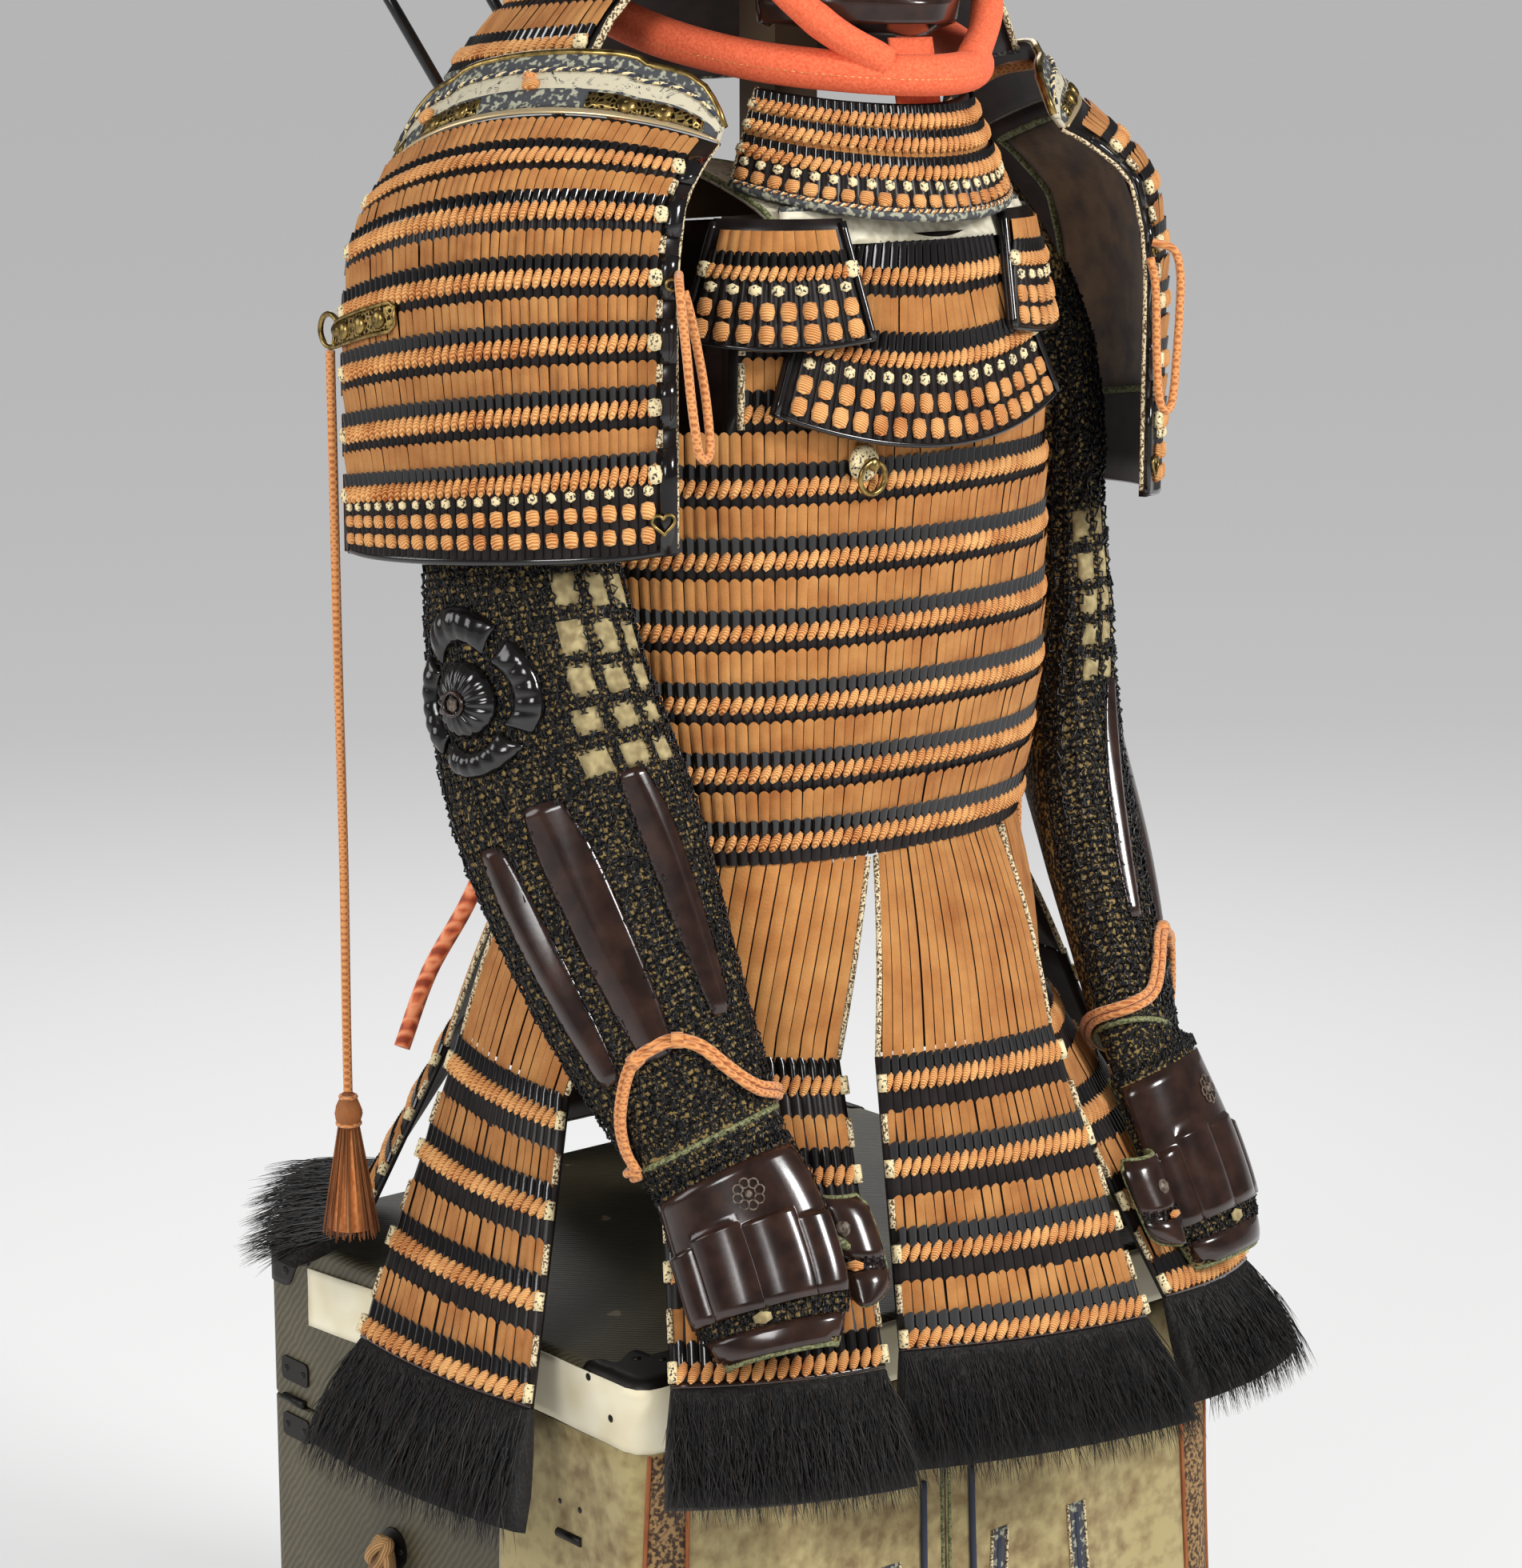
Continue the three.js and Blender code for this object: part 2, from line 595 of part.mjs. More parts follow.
function sodeWall(firstRow, lastRow, columns, grow = 0) {
  const rows = Math.max(1, lastRow - firstRow);
  const skin = (inside) => (i, j) => {
    const u = mix(-grow * 0.005, 1 + grow * 0.005, i / columns);
    const row = firstRow + (j * (lastRow - firstRow)) / rows;
    const point = sodePoint(u, row, inside ? -SODE.wall - grow * 1.5 : SODE.relief);
    if (!inside && grow) point.add(sodePoint(u, row, SODE.relief + 6).sub(point).setLength(grow * 1.5));
    return point;
  };
  return wall({ columns, rows, outer: skin(false), inner: skin(true) });
}

// Top plate of a shoulder guard, with rounded ends
function sodePlate(grow = 0) {
  const columns = 12;
  const skin = (inside) => (i, j) => {
    const u = mix(-grow * 0.005, 1 + grow * 0.005, i / columns);
    const low = sodePoint(u, SODE_TRIM, inside ? -SODE.wall - grow * 1.5 : 2 + grow * 1.5);
    const high = sodePoint(u, SODE_TRIM + 1, inside ? -SODE.wall - grow * 1.5 : 2 + grow * 1.5);
    const height = 1 - 0.72 * Math.abs(2 * u - 1) ** 5;
    const rise = [0, 0.35, 0.7, 1][j] * height;
    const point = low.clone().lerp(high, rise);
    const seam = high.clone().sub(low).setLength(GAP * 2.4);
    return j === 0 && !grow ? point.add(seam) : point;
  };
  return wall({ columns, rows: 3, outer: skin(false), inner: skin(true) });
}

const sodeSolid = sodeWall(0, SODE_TRIM, 7);
addPair('sode', sodeSolid, 'lace');
addPair('sode_top', sodePlate(), 'leather');

// Sleeve skin: place runs down the table of rings, turn goes round from the inner side
function sleevePoint(place, turn, out) {
  const ring = readSmooth(sleeveRings, place);
  const before = readSmooth(sleeveRings, Math.max(0, place - 0.05));
  const after = readSmooth(sleeveRings, Math.min(sleeveRings.length - 1, place + 0.05));
  const along = new THREE.Vector3(after.x - before.x, after.y - before.y, after.z - before.z).normalize();
  const wide = new THREE.Vector3(Math.cos(radians(ring.turn)), Math.sin(radians(ring.turn)), 0);
  wide.addScaledVector(along, -wide.dot(along)).normalize();
  const flat = new THREE.Vector3().crossVectors(along, wide).normalize();
  const c = Math.cos(turn);
  const s = Math.sin(turn);
  const power = 2 / SLEEVE.power;
  const w = (ring.wide + out) * Math.sign(c) * Math.abs(c) ** power;
  const f = (ring.flat + out) * Math.sign(s) * Math.abs(s) ** power;
  return new THREE.Vector3(ring.x, ring.y, ring.z).addScaledVector(wide, w).addScaledVector(flat, f);
}

// The mirror image of a right sleeve piece, with the elbow further back
function leftSleevePiece(geometry) {
  const left = mirrored(geometry);
  const place = left.attributes.position;
  for (let i = 0; i < place.count; i += 1) {
    const share = (LEFT_ELBOW.top - place.getZ(i)) / (LEFT_ELBOW.top - LEFT_ELBOW.low);
    const drop = THREE.MathUtils.clamp(share, 0, 1);
    const bend = Math.sin(Math.PI * drop) ** 2;
    place.setX(i, place.getX(i) + LEFT_ELBOW.out * bend);
    place.setY(i, place.getY(i) + LEFT_ELBOW.back * bend);
  }
  return left;
}

function addSleevePair(name, geometry, finish) {
  add(`${name}_right`, geometry, finish);
  add(`${name}_left`, leftSleevePiece(geometry), finish);
}

const SLEEVE_SIDES = 12;
const sleeveEnd = sleeveRings.length - 1;

function sleeveTube(outward, inward, longer = 0) {
  const rows = 10;
  const skin = (out) => (i, j) => (
    sleevePoint((j * (sleeveEnd + longer)) / rows, (i * 2 * Math.PI) / SLEEVE_SIDES, out)
  );
  return wall({ columns: SLEEVE_SIDES, rows, outer: skin(outward), inner: skin(inward), loop: true });
}
addSleevePair('sleeve', sleeveTube(0, -SLEEVE.wall), 'mail');

// Straps, each with a tie to the sleeve and one to the shoulder guard's top plate
function strapWithTies() {
  const band = strapSolid();
  const [front, back, low] = [AXIS_Y - 8, AXIS_Y + 8, STRAP.topZ - 26];
  const sleeveTie = box(-STRAP.outer - 84, -STRAP.outer + 6, front, back, low, STRAP.topZ - 12);
  const post = box(-STRAP.outer - 2, -STRAP.outer + 7, front + 1, back - 1, low + 1, STRAP.topZ - 2);
  const guardTie = cordSolid([[-STRAP.outer + 6, AXIS_Y - 4, STRAP.topZ - 3], [-150, AXIS_Y - 10, 1374],
    [-190, AXIS_Y - 16, 1398], [-240, AXIS_Y - 22, 1404]], 8, 6);
  const joined = join(band, post, sleeveTie, guardTie);
  const sleeve = sleeveTube(GAP + 0.1, -SLEEVE.wall - GAP - 0.1);
  return cut(joined, sleeve, sleeve.clone().translate(0.25, 0, 0.35), sodePlate(0.4));
}
addPair('strap', strapWithTies(), 'leather');

// Pieces that lie on a sleeve, as plates over its own points
function onSleeve({ columns, rows, place, turn, height, keepTo = GAP }) {
  const skin = (outer) => (i, j) => {
    const x = (2 * i) / columns - 1;
    const y = (2 * j) / rows - 1;
    const [p, t] = [place(x, y), turn(x, y)];
    return sleevePoint(p, t, outer ? keepTo + height(x, y) : keepTo);
  };
  return wall({ columns, rows, outer: skin(true), inner: skin(false) });
}

// Round elbow guard: a fluted dome with four fluted crescents round it
function elbowGuard() {
  const middle = { place: 5.1, turn: radians(112), reach: 1.0, swing: 0.86 };
  const disc = (x, y) => [x * Math.sqrt(1 - (y * y) / 2), y * Math.sqrt(1 - (x * x) / 2)];
  return onSleeve({
    columns: 8,
    rows: 8,
    place: (x, y) => middle.place + middle.reach * disc(x, y)[1],
    turn: (x, y) => middle.turn + middle.swing * disc(x, y)[0],
    keepTo: 1.2,
    height: (x, y) => {
      const [u, v] = disc(x, y);
      const r = Math.hypot(u, v);
      const dome = r < 0.45 ? 5 + 9 * (1 - (r / 0.45) ** 2) : 0;
      const crescent = r > 0.62 && r < 0.98 && Math.cos(4 * Math.atan2(v, u)) > -0.2 ? 6 : 0;
      return 1.2 + dome + crescent;
    },
  });
}
addSleevePair('elbow_guard', elbowGuard(), 'lacquer');

// Three long splints down the forearm, each with a ridge along its middle
const splints = [
  { name: 'outer', turn: 128, from: 6.6, to: 9.0 },
  { name: 'middle', turn: 92, from: 6.35, to: 8.95 },
  { name: 'inner', turn: 44, from: 6.3, to: 8.8 },
];
for (const { name, turn, from, to } of splints) {
  const plate = onSleeve({
    columns: 2,
    rows: 5,
    place: (x, y) => mix(from, to, (y + 1) / 2),
    turn: (x, y) => radians(turn) + (0.22 - 0.08 * Math.abs(y) ** 3) * x,
    keepTo: 1.2,
    height: (x, y) => 1.5 + 5 * (1 - Math.abs(x)) * (1 - 0.5 * y * y),
  });
  addSleevePair(`splint_${name}`, plate, 'brown');
}

// Cord tied round the wrist
function wristCord() {
  const turns = 26;
  const points = Array.from({ length: turns }, (_, i) => {
    const turn = mix(0.08, 2 * Math.PI - 0.08, i / (turns - 1));
    const point = sleevePoint(9.45 + 0.2 * Math.cos(turn + 0.6), turn, CORD.wrist / 2 + 1.4);
    return [point.x, point.y, point.z];
  });
  return cordSolid(points, CORD.wrist, 18);
}
addSleevePair('wrist_cord', wristCord(), 'lace');

// Hand guards: a shell over the back of the hand, open at the palm, with finger ridges
function handPoint(hand, place, turn, out) {
  const ring = readSmooth(hand.rings, place);
  const before = readSmooth(hand.rings, Math.max(0, place - 0.1));
  const after = readSmooth(hand.rings, Math.min(hand.rings.length - 1, place + 0.1));
  const along = new THREE.Vector3(after.x - before.x, after.y - before.y, after.z - before.z).normalize();
  const face = new THREE.Vector3(Math.sin(radians(hand.faces)), -Math.cos(radians(hand.faces)), 0.2);
  face.addScaledVector(along, -face.dot(along)).normalize();
  const side = new THREE.Vector3().crossVectors(along, face).normalize();
  return new THREE.Vector3(ring.x, ring.y, ring.z)
    .addScaledVector(side, (ring.half + out) * Math.sin(turn))
    .addScaledVector(face, (ring.deep + out) * Math.cos(turn));
}

function handShell(hand, grow = 0) {
  const columns = 10;
  const rows = 6;
  const skin = (inside) => (i, j) => {
    const turn = radians(mix(-100 - 2 * grow, 100 + 2 * grow, i / columns));
    const place = (j * (hand.rings.length - 1)) / rows;
    const finger = place > 1.8 && place < 3.7 ? 2.5 * Math.abs(Math.sin(2 * turn)) : 0;
    return handPoint(hand, place, turn, inside ? -3 - grow : finger + grow);
  };
  return wall({ columns, rows, outer: skin(false), inner: skin(true) });
}

// A tab from the top of a hand guard to the sleeve's hem
function handTab(hand) {
  const hem = sleevePoint(sleeveEnd, radians(90), -SLEEVE.wall / 2);
  if (hand.side === 'left') hem.x *= -1;
  const root = handPoint(hand, 0.25, 0, -1.5);
  const past = hem.clone().lerp(root, -0.25);
  return cordSolid([root, root.clone().lerp(hem, 0.6), past].map(({ x, y, z }) => [x, y, z]), 7, 3, 6);
}

function handGuard(hand) {
  const sleeve = sleeveTube(GAP + 0.1, -SLEEVE.wall - GAP - 0.1, 0.02);
  const near = hand.side === 'left' ? leftSleevePiece(sleeve) : sleeve;
  return cut(join(handShell(hand), handTab(hand)), near);
}

function thumbShell(hand) {
  const skin = (inside) => (i, j) => {
    const v = j / 4;
    const turn = radians(mix(-80, 80, i / 5));
    const width = 21 * (1 - 0.25 * v * v);
    const base = handPoint(hand, 1.2 + 1.9 * v, radians(hand.thumb), 21 + 5 * v);
    const face = new THREE.Vector3(Math.sin(radians(hand.faces)), -Math.cos(radians(hand.faces)), 0.1);
    face.normalize();
    const side = new THREE.Vector3(Math.cos(radians(hand.faces)), Math.sin(radians(hand.faces)), 0);
    const reach = inside ? -3 : 0;
    return base.addScaledVector(side, (width + reach) * Math.sin(turn))
      .addScaledVector(face, (16 + reach) * Math.cos(turn));
  };
  return wall({ columns: 5, rows: 4, outer: skin(false), inner: skin(true) });
}

// The silk tie that holds a thumb guard to the hand guard's edge
function thumbGuard(hand) {
  const face = new THREE.Vector3(Math.sin(radians(hand.faces)), -Math.cos(radians(hand.faces)), 0.1);
  const root = handPoint(hand, 2.15, radians(hand.thumb), 23.5).addScaledVector(face, 14);
  const edge = handPoint(hand, 2, radians(98 * Math.sign(hand.thumb)), -1.5);
  const tie = cordSolid([root, root.clone().lerp(edge, 0.5), edge].map(({ x, y, z }) => [x, y, z]), 7, 2, 6);
  return cut(join(thumbShell(hand), tie), handShell(hand, GAP + 0.1));
}

for (const hand of hands) {
  add(`hand_guard_${hand.side}`, handGuard(hand), 'brown');
  add(`thumb_guard_${hand.side}`, thumbGuard(hand), 'brown');
}

// Free cords: a hanging loop at each shoulder guard's front, and a long tasselled one behind
const loopRoute = [
  [-212.9, -199.3, 1283], [-222, -211, 1278], [-224, -216, 1262], [-222, -218, 1235],
  [-219, -219, 1205], [-216, -220, 1182], [-213, -220, 1170], [-208, -220, 1167],
  [-204, -219, 1172], [-203, -217, 1186], [-204, -214, 1210], [-207, -210, 1238],
  [-209, -206, 1258], [-209.6, -200.6, 1272],
];
addPair('sode_loop', cordSolid(loopRoute, CORD.loop, 14), 'lace');

const sideRing = { x: -320.5, y: 36, z: 1237 };
const sideRoute = [
  [sideRing.x, sideRing.y, 1223.7], [sideRing.x, sideRing.y, 1200],
  [sideRing.x + 1, sideRing.y + 1, 1120], [sideRing.x + 2, sideRing.y + 2, 1000],
  [sideRing.x + 3, sideRing.y + 2, 880], [sideRing.x + 3, sideRing.y + 3, 760],
  [sideRing.x + 3, sideRing.y + 3, 712],
];
addPair('side_cord', cordSolid(sideRoute, CORD.side, 26), 'lace');

// Tassel: a bound head with separate strands
function tasselSolid() {
  const [x, y, z] = sideRoute[sideRoute.length - 1];
  const profile = [[0, 0], [7, 0], [9.5, 5], [8, 14], [5, 22], [4, 25], [0, 25]];
  const head = new THREE.LatheGeometry(profile.map(([r, h]) => new THREE.Vector2(r, h)), 8);
  head.rotateX(Math.PI / 2);
  head.translate(x, y, z - GAP - 25);
  const rounds = [{ count: 3, root: 4, tip: 10 }, { count: 6, root: 7, tip: 21 }];
  const strands = rounds.flatMap(({ count, root, tip }) => (
    Array.from({ length: count }, (_, i) => {
      const turn = (i * 2 * Math.PI) / count;
      const at = (r, drop) => [x + r * Math.cos(turn), y + r * Math.sin(turn), z - GAP - drop];
      return cordSolid([at(root, 23), at(mix(root, tip, 0.6), 60), at(tip, 104)], 3, 2, 3);
    })));
  return join(head, ...strands);
}
addPair('tassel', tasselSolid(), 'lace');

// A gilt plate with a ring at each shoulder guard's rear edge
function sideRingSolid() {
  const plate = new THREE.BoxGeometry(8, 62, 19);
  plate.rotateZ(radians(-14));
  plate.translate(-322, -6, 1238);
  const stud = box(sideRing.x - 5, sideRing.x + 4, 20, sideRing.y - RING.radius + 2, 1233, 1243);
  const ring = new THREE.TorusGeometry(RING.radius, RING.wire, 4, 10);
  ring.rotateY(Math.PI / 2);
  ring.translate(sideRing.x, sideRing.y, sideRing.z);
  return cut(join(plate, stud, ring), sodeWall(0, SODE_TRIM, 7, 0.3));
}
addPair('side_ring', sideRingSolid(), 'gilt');

// Gilt ring on the cuirass front, with its washer
function frontRing() {
  const face = douPoint(-20, 1140, DOU.wall + 1.6);
  const washer = new THREE.CylinderGeometry(13, 13, 5, 10);
  washer.translate(face.x, face.y - 1, face.z + 10);
  const stud = new THREE.CylinderGeometry(4, 4, 12, 8);
  stud.translate(face.x, face.y - 6, face.z + 10);
  const ring = new THREE.TorusGeometry(RING.radius, RING.wire, 4, 10);
  ring.rotateX(Math.PI / 2 - 0.1);
  ring.translate(face.x, face.y - 12, face.z + 1);
  const shell = wall({
    columns: 18,
    rows: 1,
    outer: (i, j) => douPoint(mix(-90, 90, i / 18), mix(1090, 1200, j), DOU.wall + DOU.relief + 0.2),
    inner: (i, j) => douPoint(mix(-90, 90, i / 18), mix(1090, 1200, j), -20),
  });
  return cut(join(washer, stud, ring), shell);
}
add('front_ring', frontRing(), 'gilt');

// Helmet: a plain ridged bowl with its brow plate, hollow for the head
function helmetPoint(turn, lift, out) {
  const c = Math.cos(lift);
  return new THREE.Vector3(
    HELMET.x + (HELMET.a + out) * c * Math.sin(turn),
    HELMET.y - (HELMET.b + out) * c * Math.cos(turn),
    HELMET.rim + (HELMET.high + out) * Math.sin(lift),
  );
}

function helmetBowl() {
  const columns = 16;
  const rows = 3;
  const skin = (out) => (i, j) => {
    const ridge = out > 0 && j > 0 ? (i % 2) * 1.6 : 0;
    return helmetPoint((i * 2 * Math.PI) / columns, (j / rows) * radians(82), out + ridge);
  };
  const shell = wall({ columns, rows, outer: skin(0.01), inner: skin(-HELMET.wall), loop: true });
  const cap = new THREE.LatheGeometry([[0, -8], [26, -8], [24, 2], [12, 7], [0, 8]]
    .map(([r, h]) => new THREE.Vector2(r, h)), 8);
  cap.rotateX(Math.PI / 2);
  cap.translate(HELMET.x, HELMET.y, HELMET.rim + HELMET.high + 1);
  const peak = wall({
    columns: 8,
    rows: 1,
    outer: (i, j) => {
      const turn = radians(mix(-58, 58, i / 8));
      const reach = j * 42 * Math.cos(turn * 1.3);
      return helmetPoint(turn, 0, reach - 2 * (1 - j)).add(new THREE.Vector3(0, 0, 10 - j * 16));
    },
    inner: (i, j) => {
      const turn = radians(mix(-58, 58, i / 8));
      const reach = j * 42 * Math.cos(turn * 1.3);
      return helmetPoint(turn, 0, reach - 2 * (1 - j)).add(new THREE.Vector3(0, 0, 6 - j * 16));
    },
  });
  return join(shell, cap, peak);
}
add('helmet', helmetBowl(), 'lacquer');

// Neck guard of the helmet: laced lames that widen down to the shoulders
const neckRows = [
  { z: 1523.7, r: 1, out: 2.5, front: 74 },
  { z: 1496, r: 1.16, out: 3.5, front: 72 },
  { z: 1464, r: 1.36, out: 2, front: 70 },
  { z: 1434, r: 1.56, out: 4, front: 69 },
  { z: 1406, r: 1.7, out: 3, front: 68 },
];
function neckGuard() {
  const columns = 16;
  const skin = (inside) => (i, j) => {
    const { z, r, out, front } = neckRows[j];
    const turn = radians(mix(front, 360 - front, i / columns));
    const rise = 24 * Math.cos(turn) * (r - 1) * 1.1;
    const a = mix(HELMET.a, 205, (r - 1) / 0.7) + (inside ? -3 : out - 2.5);
    const b = mix(HELMET.b, 202, (r - 1) / 0.7) + (inside ? -3 : out - 2.5);
    const y = mix(HELMET.y, -6, (r - 1) / 0.7);
    return new THREE.Vector3(a * Math.sin(turn), y - b * Math.cos(turn), z + rise);
  };
  return wall({ columns, rows: neckRows.length - 1, outer: skin(false), inner: skin(true) });
}
add('neck_guard', neckGuard(), 'lace');

// Half mask: a plain calm chin, cheeks and nose
function halfMask() {
  const columns = 10;
  const heights = [
    { z: 1428, out: -16 }, { z: 1436, out: 0 }, { z: 1450, out: 2 }, { z: 1464, out: 1 },
    { z: 1480, out: 1 }, { z: 1500, out: 0 }, { z: 1521, out: -3 },
  ];
  const skin = (inside) => (i, j) => {
    const turn = radians(mix(-78, 78, i / columns));
    const { z, out } = heights[j];
    const middle = Math.exp(-((turn / 0.16) ** 2));
    const nose = j >= 4 ? middle * [0, 0, 0, 0, 14, 17, 8][j] : 0;
    const mouth = j === 3 ? -5 * Math.exp(-((turn / 0.35) ** 2)) : 0;
    const chin = j <= 2 ? 6 * Math.exp(-((turn / 0.3) ** 2)) : 0;
    const reach = out + (inside ? -3 : 0) + nose + mouth + chin;
    const lift = j === 0 ? 10 * (1 - Math.cos(turn)) : 0;
    return new THREE.Vector3((80 + reach) * Math.sin(turn), -98 - (94 + reach) * Math.cos(turn), z + lift);
  };
  return wall({ columns, rows: heights.length - 1, outer: skin(false), inner: skin(true) });
}

// Padded chin cord: one strand round under the chin, and one up to the helmet's rim
const chinRoute = [
  [-120.9, 40, 1462], [-124.6, -8, 1444], [-116, -66, 1426], [-94, -126, 1413], [-58, -176, 1406],
  [-14, -206, 1403], [32, -202, 1405], [76, -158, 1412], [108, -96, 1424], [122, -30, 1438],
  [120.9, 36, 1458],
];
const cheekRoute = [[-97, -134, 1508], [-96, -150, 1470], [-72, -176, 1436], [-34, -202, 1408]];
function chinCord() {
  const under = cordSolid(chinRoute, CORD.chin, 14, 8);
  const near = cordSolid(cheekRoute, CORD.chin * 0.8, 5, 8);
  const far = cordSolid(cheekRoute.map(mirrorPoint), CORD.chin * 0.8, 5, 8);
  return join(under, near, far);
}
add('chin_cord', chinCord(), 'coral');

// The mask with the two cheek pegs that its cord passes over
function maskWithPegs() {
  const peg = (sign) => {
    const middle = new THREE.Vector3(sign * 84, -148, 1462);
    return cordSolid([[sign * 60, -138, 1462], middle.toArray(), [sign * 96, -152, 1463]], 8, 2, 6);
  };
  const cords = [cheekRoute, cheekRoute.map(mirrorPoint)];
  const grown = cords.map((route) => cordSolid(route, CORD.chin * 0.8 + 2 * GAP + 0.2, 5, 8));
  return cut(join(halfMask(), peg(-1), peg(1)), ...grown);
}
add('mask', maskWithPegs(), 'brown');

// Throat guard under the mask: four laced lames
function throatGuard() {
  const columns = 8;
  const heights = [
    { z: 1384, r: 88, out: 0 }, { z: 1372, r: 94, out: 3 },
    { z: 1369, r: 96, out: 0.5 }, { z: 1355, r: 102, out: 3 },
    { z: 1350, r: 104, out: 0.5 }, { z: 1337, r: 109, out: 3 },
    { z: 1332, r: 111, out: 0.5 }, { z: 1312, r: 117, out: 3 },
  ];
  const skin = (inside) => (i, j) => {
    const { z, r, out } = heights[j];
    const turn = radians(mix(-76, 76, i / columns));
    const reach = r + (inside ? -2.5 : out);
    const rise = mix(14, 28, j / 7) * (1 - Math.cos(turn));
    return new THREE.Vector3(reach * Math.sin(turn), -104 - reach * Math.cos(turn), z + rise);
  };
  const lames = wall({ columns, rows: heights.length - 1, outer: skin(false), inner: skin(true) });
  const profile = [[-181.5, 1427.6], [-178.5, 1427.6], [-189, 1376], [-192, 1378]];
  const hanger = new THREE.ExtrudeGeometry(
    new THREE.Shape(profile.map(([y, z]) => new THREE.Vector2(y, z))),
    { depth: 40, bevelEnabled: false },
  );
  hanger.rotateX(Math.PI / 2);
  hanger.rotateZ(Math.PI / 2);
  hanger.translate(-20, 0, 0);
  return join(lames, hanger);
}
add('throat_guard', throatGuard(), 'lace');

// Gorget: a leather collar with a fan-shaped laced piece in front and one on each side
const pendants = [
  { azimuth: -4, x: -4, y: -200, topZ: 1300, lowZ: 1160, top: 74, low: 122, lowOut: 24, sag: 26 },
  { azimuth: -40, x: -112, y: -177.2, topZ: 1312, lowZ: 1228, top: 42, low: 64, lowOut: 18, sag: 6 },
  { azimuth: 36, x: 108, y: -180, topZ: 1312, lowZ: 1228, top: 42, low: 64, lowOut: 18, sag: 6 },
];
function pendantWall(piece) {
  const columns = 6;
  const levels = [0, 0.26, 0.58, 1];
  const skin = (inside) => (i, j) => {
    const v = levels[j];
    const u = (2 * i) / columns - 1;
    const face = radians(piece.azimuth);
    const half = mix(piece.top, piece.low, v);
    const bend = -0.24 * half * u * u;
    const out = piece.lowOut * v + bend + (inside ? -3 : (j % 2) * 2.5 + 0.5);
    return new THREE.Vector3(
      piece.x + half * u * Math.cos(face) + out * Math.sin(face),
      piece.y + half * u * Math.sin(face) - out * Math.cos(face),
      mix(piece.topZ, piece.lowZ, v) + piece.sag * v * u * u,
    );
  };
  return wall({ columns, rows: levels.length - 1, outer: skin(false), inner: skin(true) });
}
function gorget() {
  const columns = 10;
  const skin = (inside) => (i, j) => {
    const { x, y } = douPoint(mix(-40, 40, i / columns), 1300, mix(24, 12, j) - (inside ? 4 : 0));
    return new THREE.Vector3(x, y, mix(1295, 1317, j));
  };
  const collar = wall({ columns, rows: 1, outer: skin(false), inner: skin(true) });
  return join(collar, ...pendants.map(pendantWall));
}
add('gorget', gorget(), 'leather');

// Thick braided cords that hang from the ring on the back
const backRoute = [
  [-9, 124, 1191.2], [-9, 124.5, 1176], [-26, 136, 1130], [-36, 138, 1060], [-50, 150, 980],
  [-70, 172, 880], [-96, 196, 790], [-124, 214, 730], [-152, 212, 676],
];
addPair('back_cord', cordSolid(backRoute, CORD.back, 15), 'coral');

export default armour;
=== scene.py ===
import math
import random

import bpy
import numpy as np
from mathutils import Matrix, Vector


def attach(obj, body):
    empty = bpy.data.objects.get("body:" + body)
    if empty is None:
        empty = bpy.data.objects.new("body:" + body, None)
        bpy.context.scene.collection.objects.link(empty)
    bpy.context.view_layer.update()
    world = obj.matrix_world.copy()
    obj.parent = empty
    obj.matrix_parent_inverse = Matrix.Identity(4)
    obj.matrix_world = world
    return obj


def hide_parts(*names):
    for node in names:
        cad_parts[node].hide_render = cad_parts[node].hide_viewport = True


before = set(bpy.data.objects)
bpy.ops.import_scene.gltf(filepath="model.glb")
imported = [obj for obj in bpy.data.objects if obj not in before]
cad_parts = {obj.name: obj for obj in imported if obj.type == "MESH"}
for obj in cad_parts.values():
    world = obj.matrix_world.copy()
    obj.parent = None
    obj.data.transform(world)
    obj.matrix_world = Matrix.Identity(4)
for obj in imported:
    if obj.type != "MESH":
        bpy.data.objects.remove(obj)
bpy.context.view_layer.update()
print("stage: frame loaded")

# The armour faces -Y and its right arm is on -X. Surfaces below are in millimetres.
toMetres = 0.001
axisY = -45
chest = {"width": 540, "depth": 450, "height": 560, "seam": 428}
cuirass = {"waist": 880, "pitch": 48.5, "lame": 30.5, "power": 2.3, "rows": 8, "top": 1291}
hoops = {
    "z": [870, 950, 1000, 1130, 1200, 1310],
    "a": [177, 189, 195, 195, 190, 180],
    "b": [137, 146, 150, 150, 146, 132],
}

colours = {
    # The lace's dark and light colours are darker and lighter copies of the lace colour: painted shade and painted
    # highlight for the silk and rope ramps
    "lace": (0.66, 0.245, 0.058), "laceDarkAndShade": (0.33, 0.082, 0.014), "laceLightAndHighlight": (0.90, 0.46, 0.15),
    "cream": (0.72, 0.60, 0.38), "lacquer": (0.0055, 0.0045, 0.0045), "body": (0.0085, 0.0065, 0.006),
    "brown": (0.0145, 0.0062, 0.0042), "gilt": (0.42, 0.29, 0.10), "gold": (0.36, 0.27, 0.10),
    "coral": (0.72, 0.16, 0.055), "fur": (0.0060, 0.0050, 0.0055), "mail": (0.022, 0.021, 0.024),
    "leatherPale": (0.52, 0.47, 0.34), "leatherBlue": (0.050, 0.052, 0.058),
    "lining": (0.12, 0.13, 0.06), "chest": (0.040, 0.037, 0.022), "iron": (0.035, 0.032, 0.030),
    "band": (0.82, 0.76, 0.58), "olive": (0.30, 0.235, 0.085), "oliveDark": (0.17, 0.13, 0.045),
    "wood": (0.10, 0.06, 0.03), "floor": (0.80, 0.80, 0.80), "piping": (0.62, 0.17, 0.05),
}


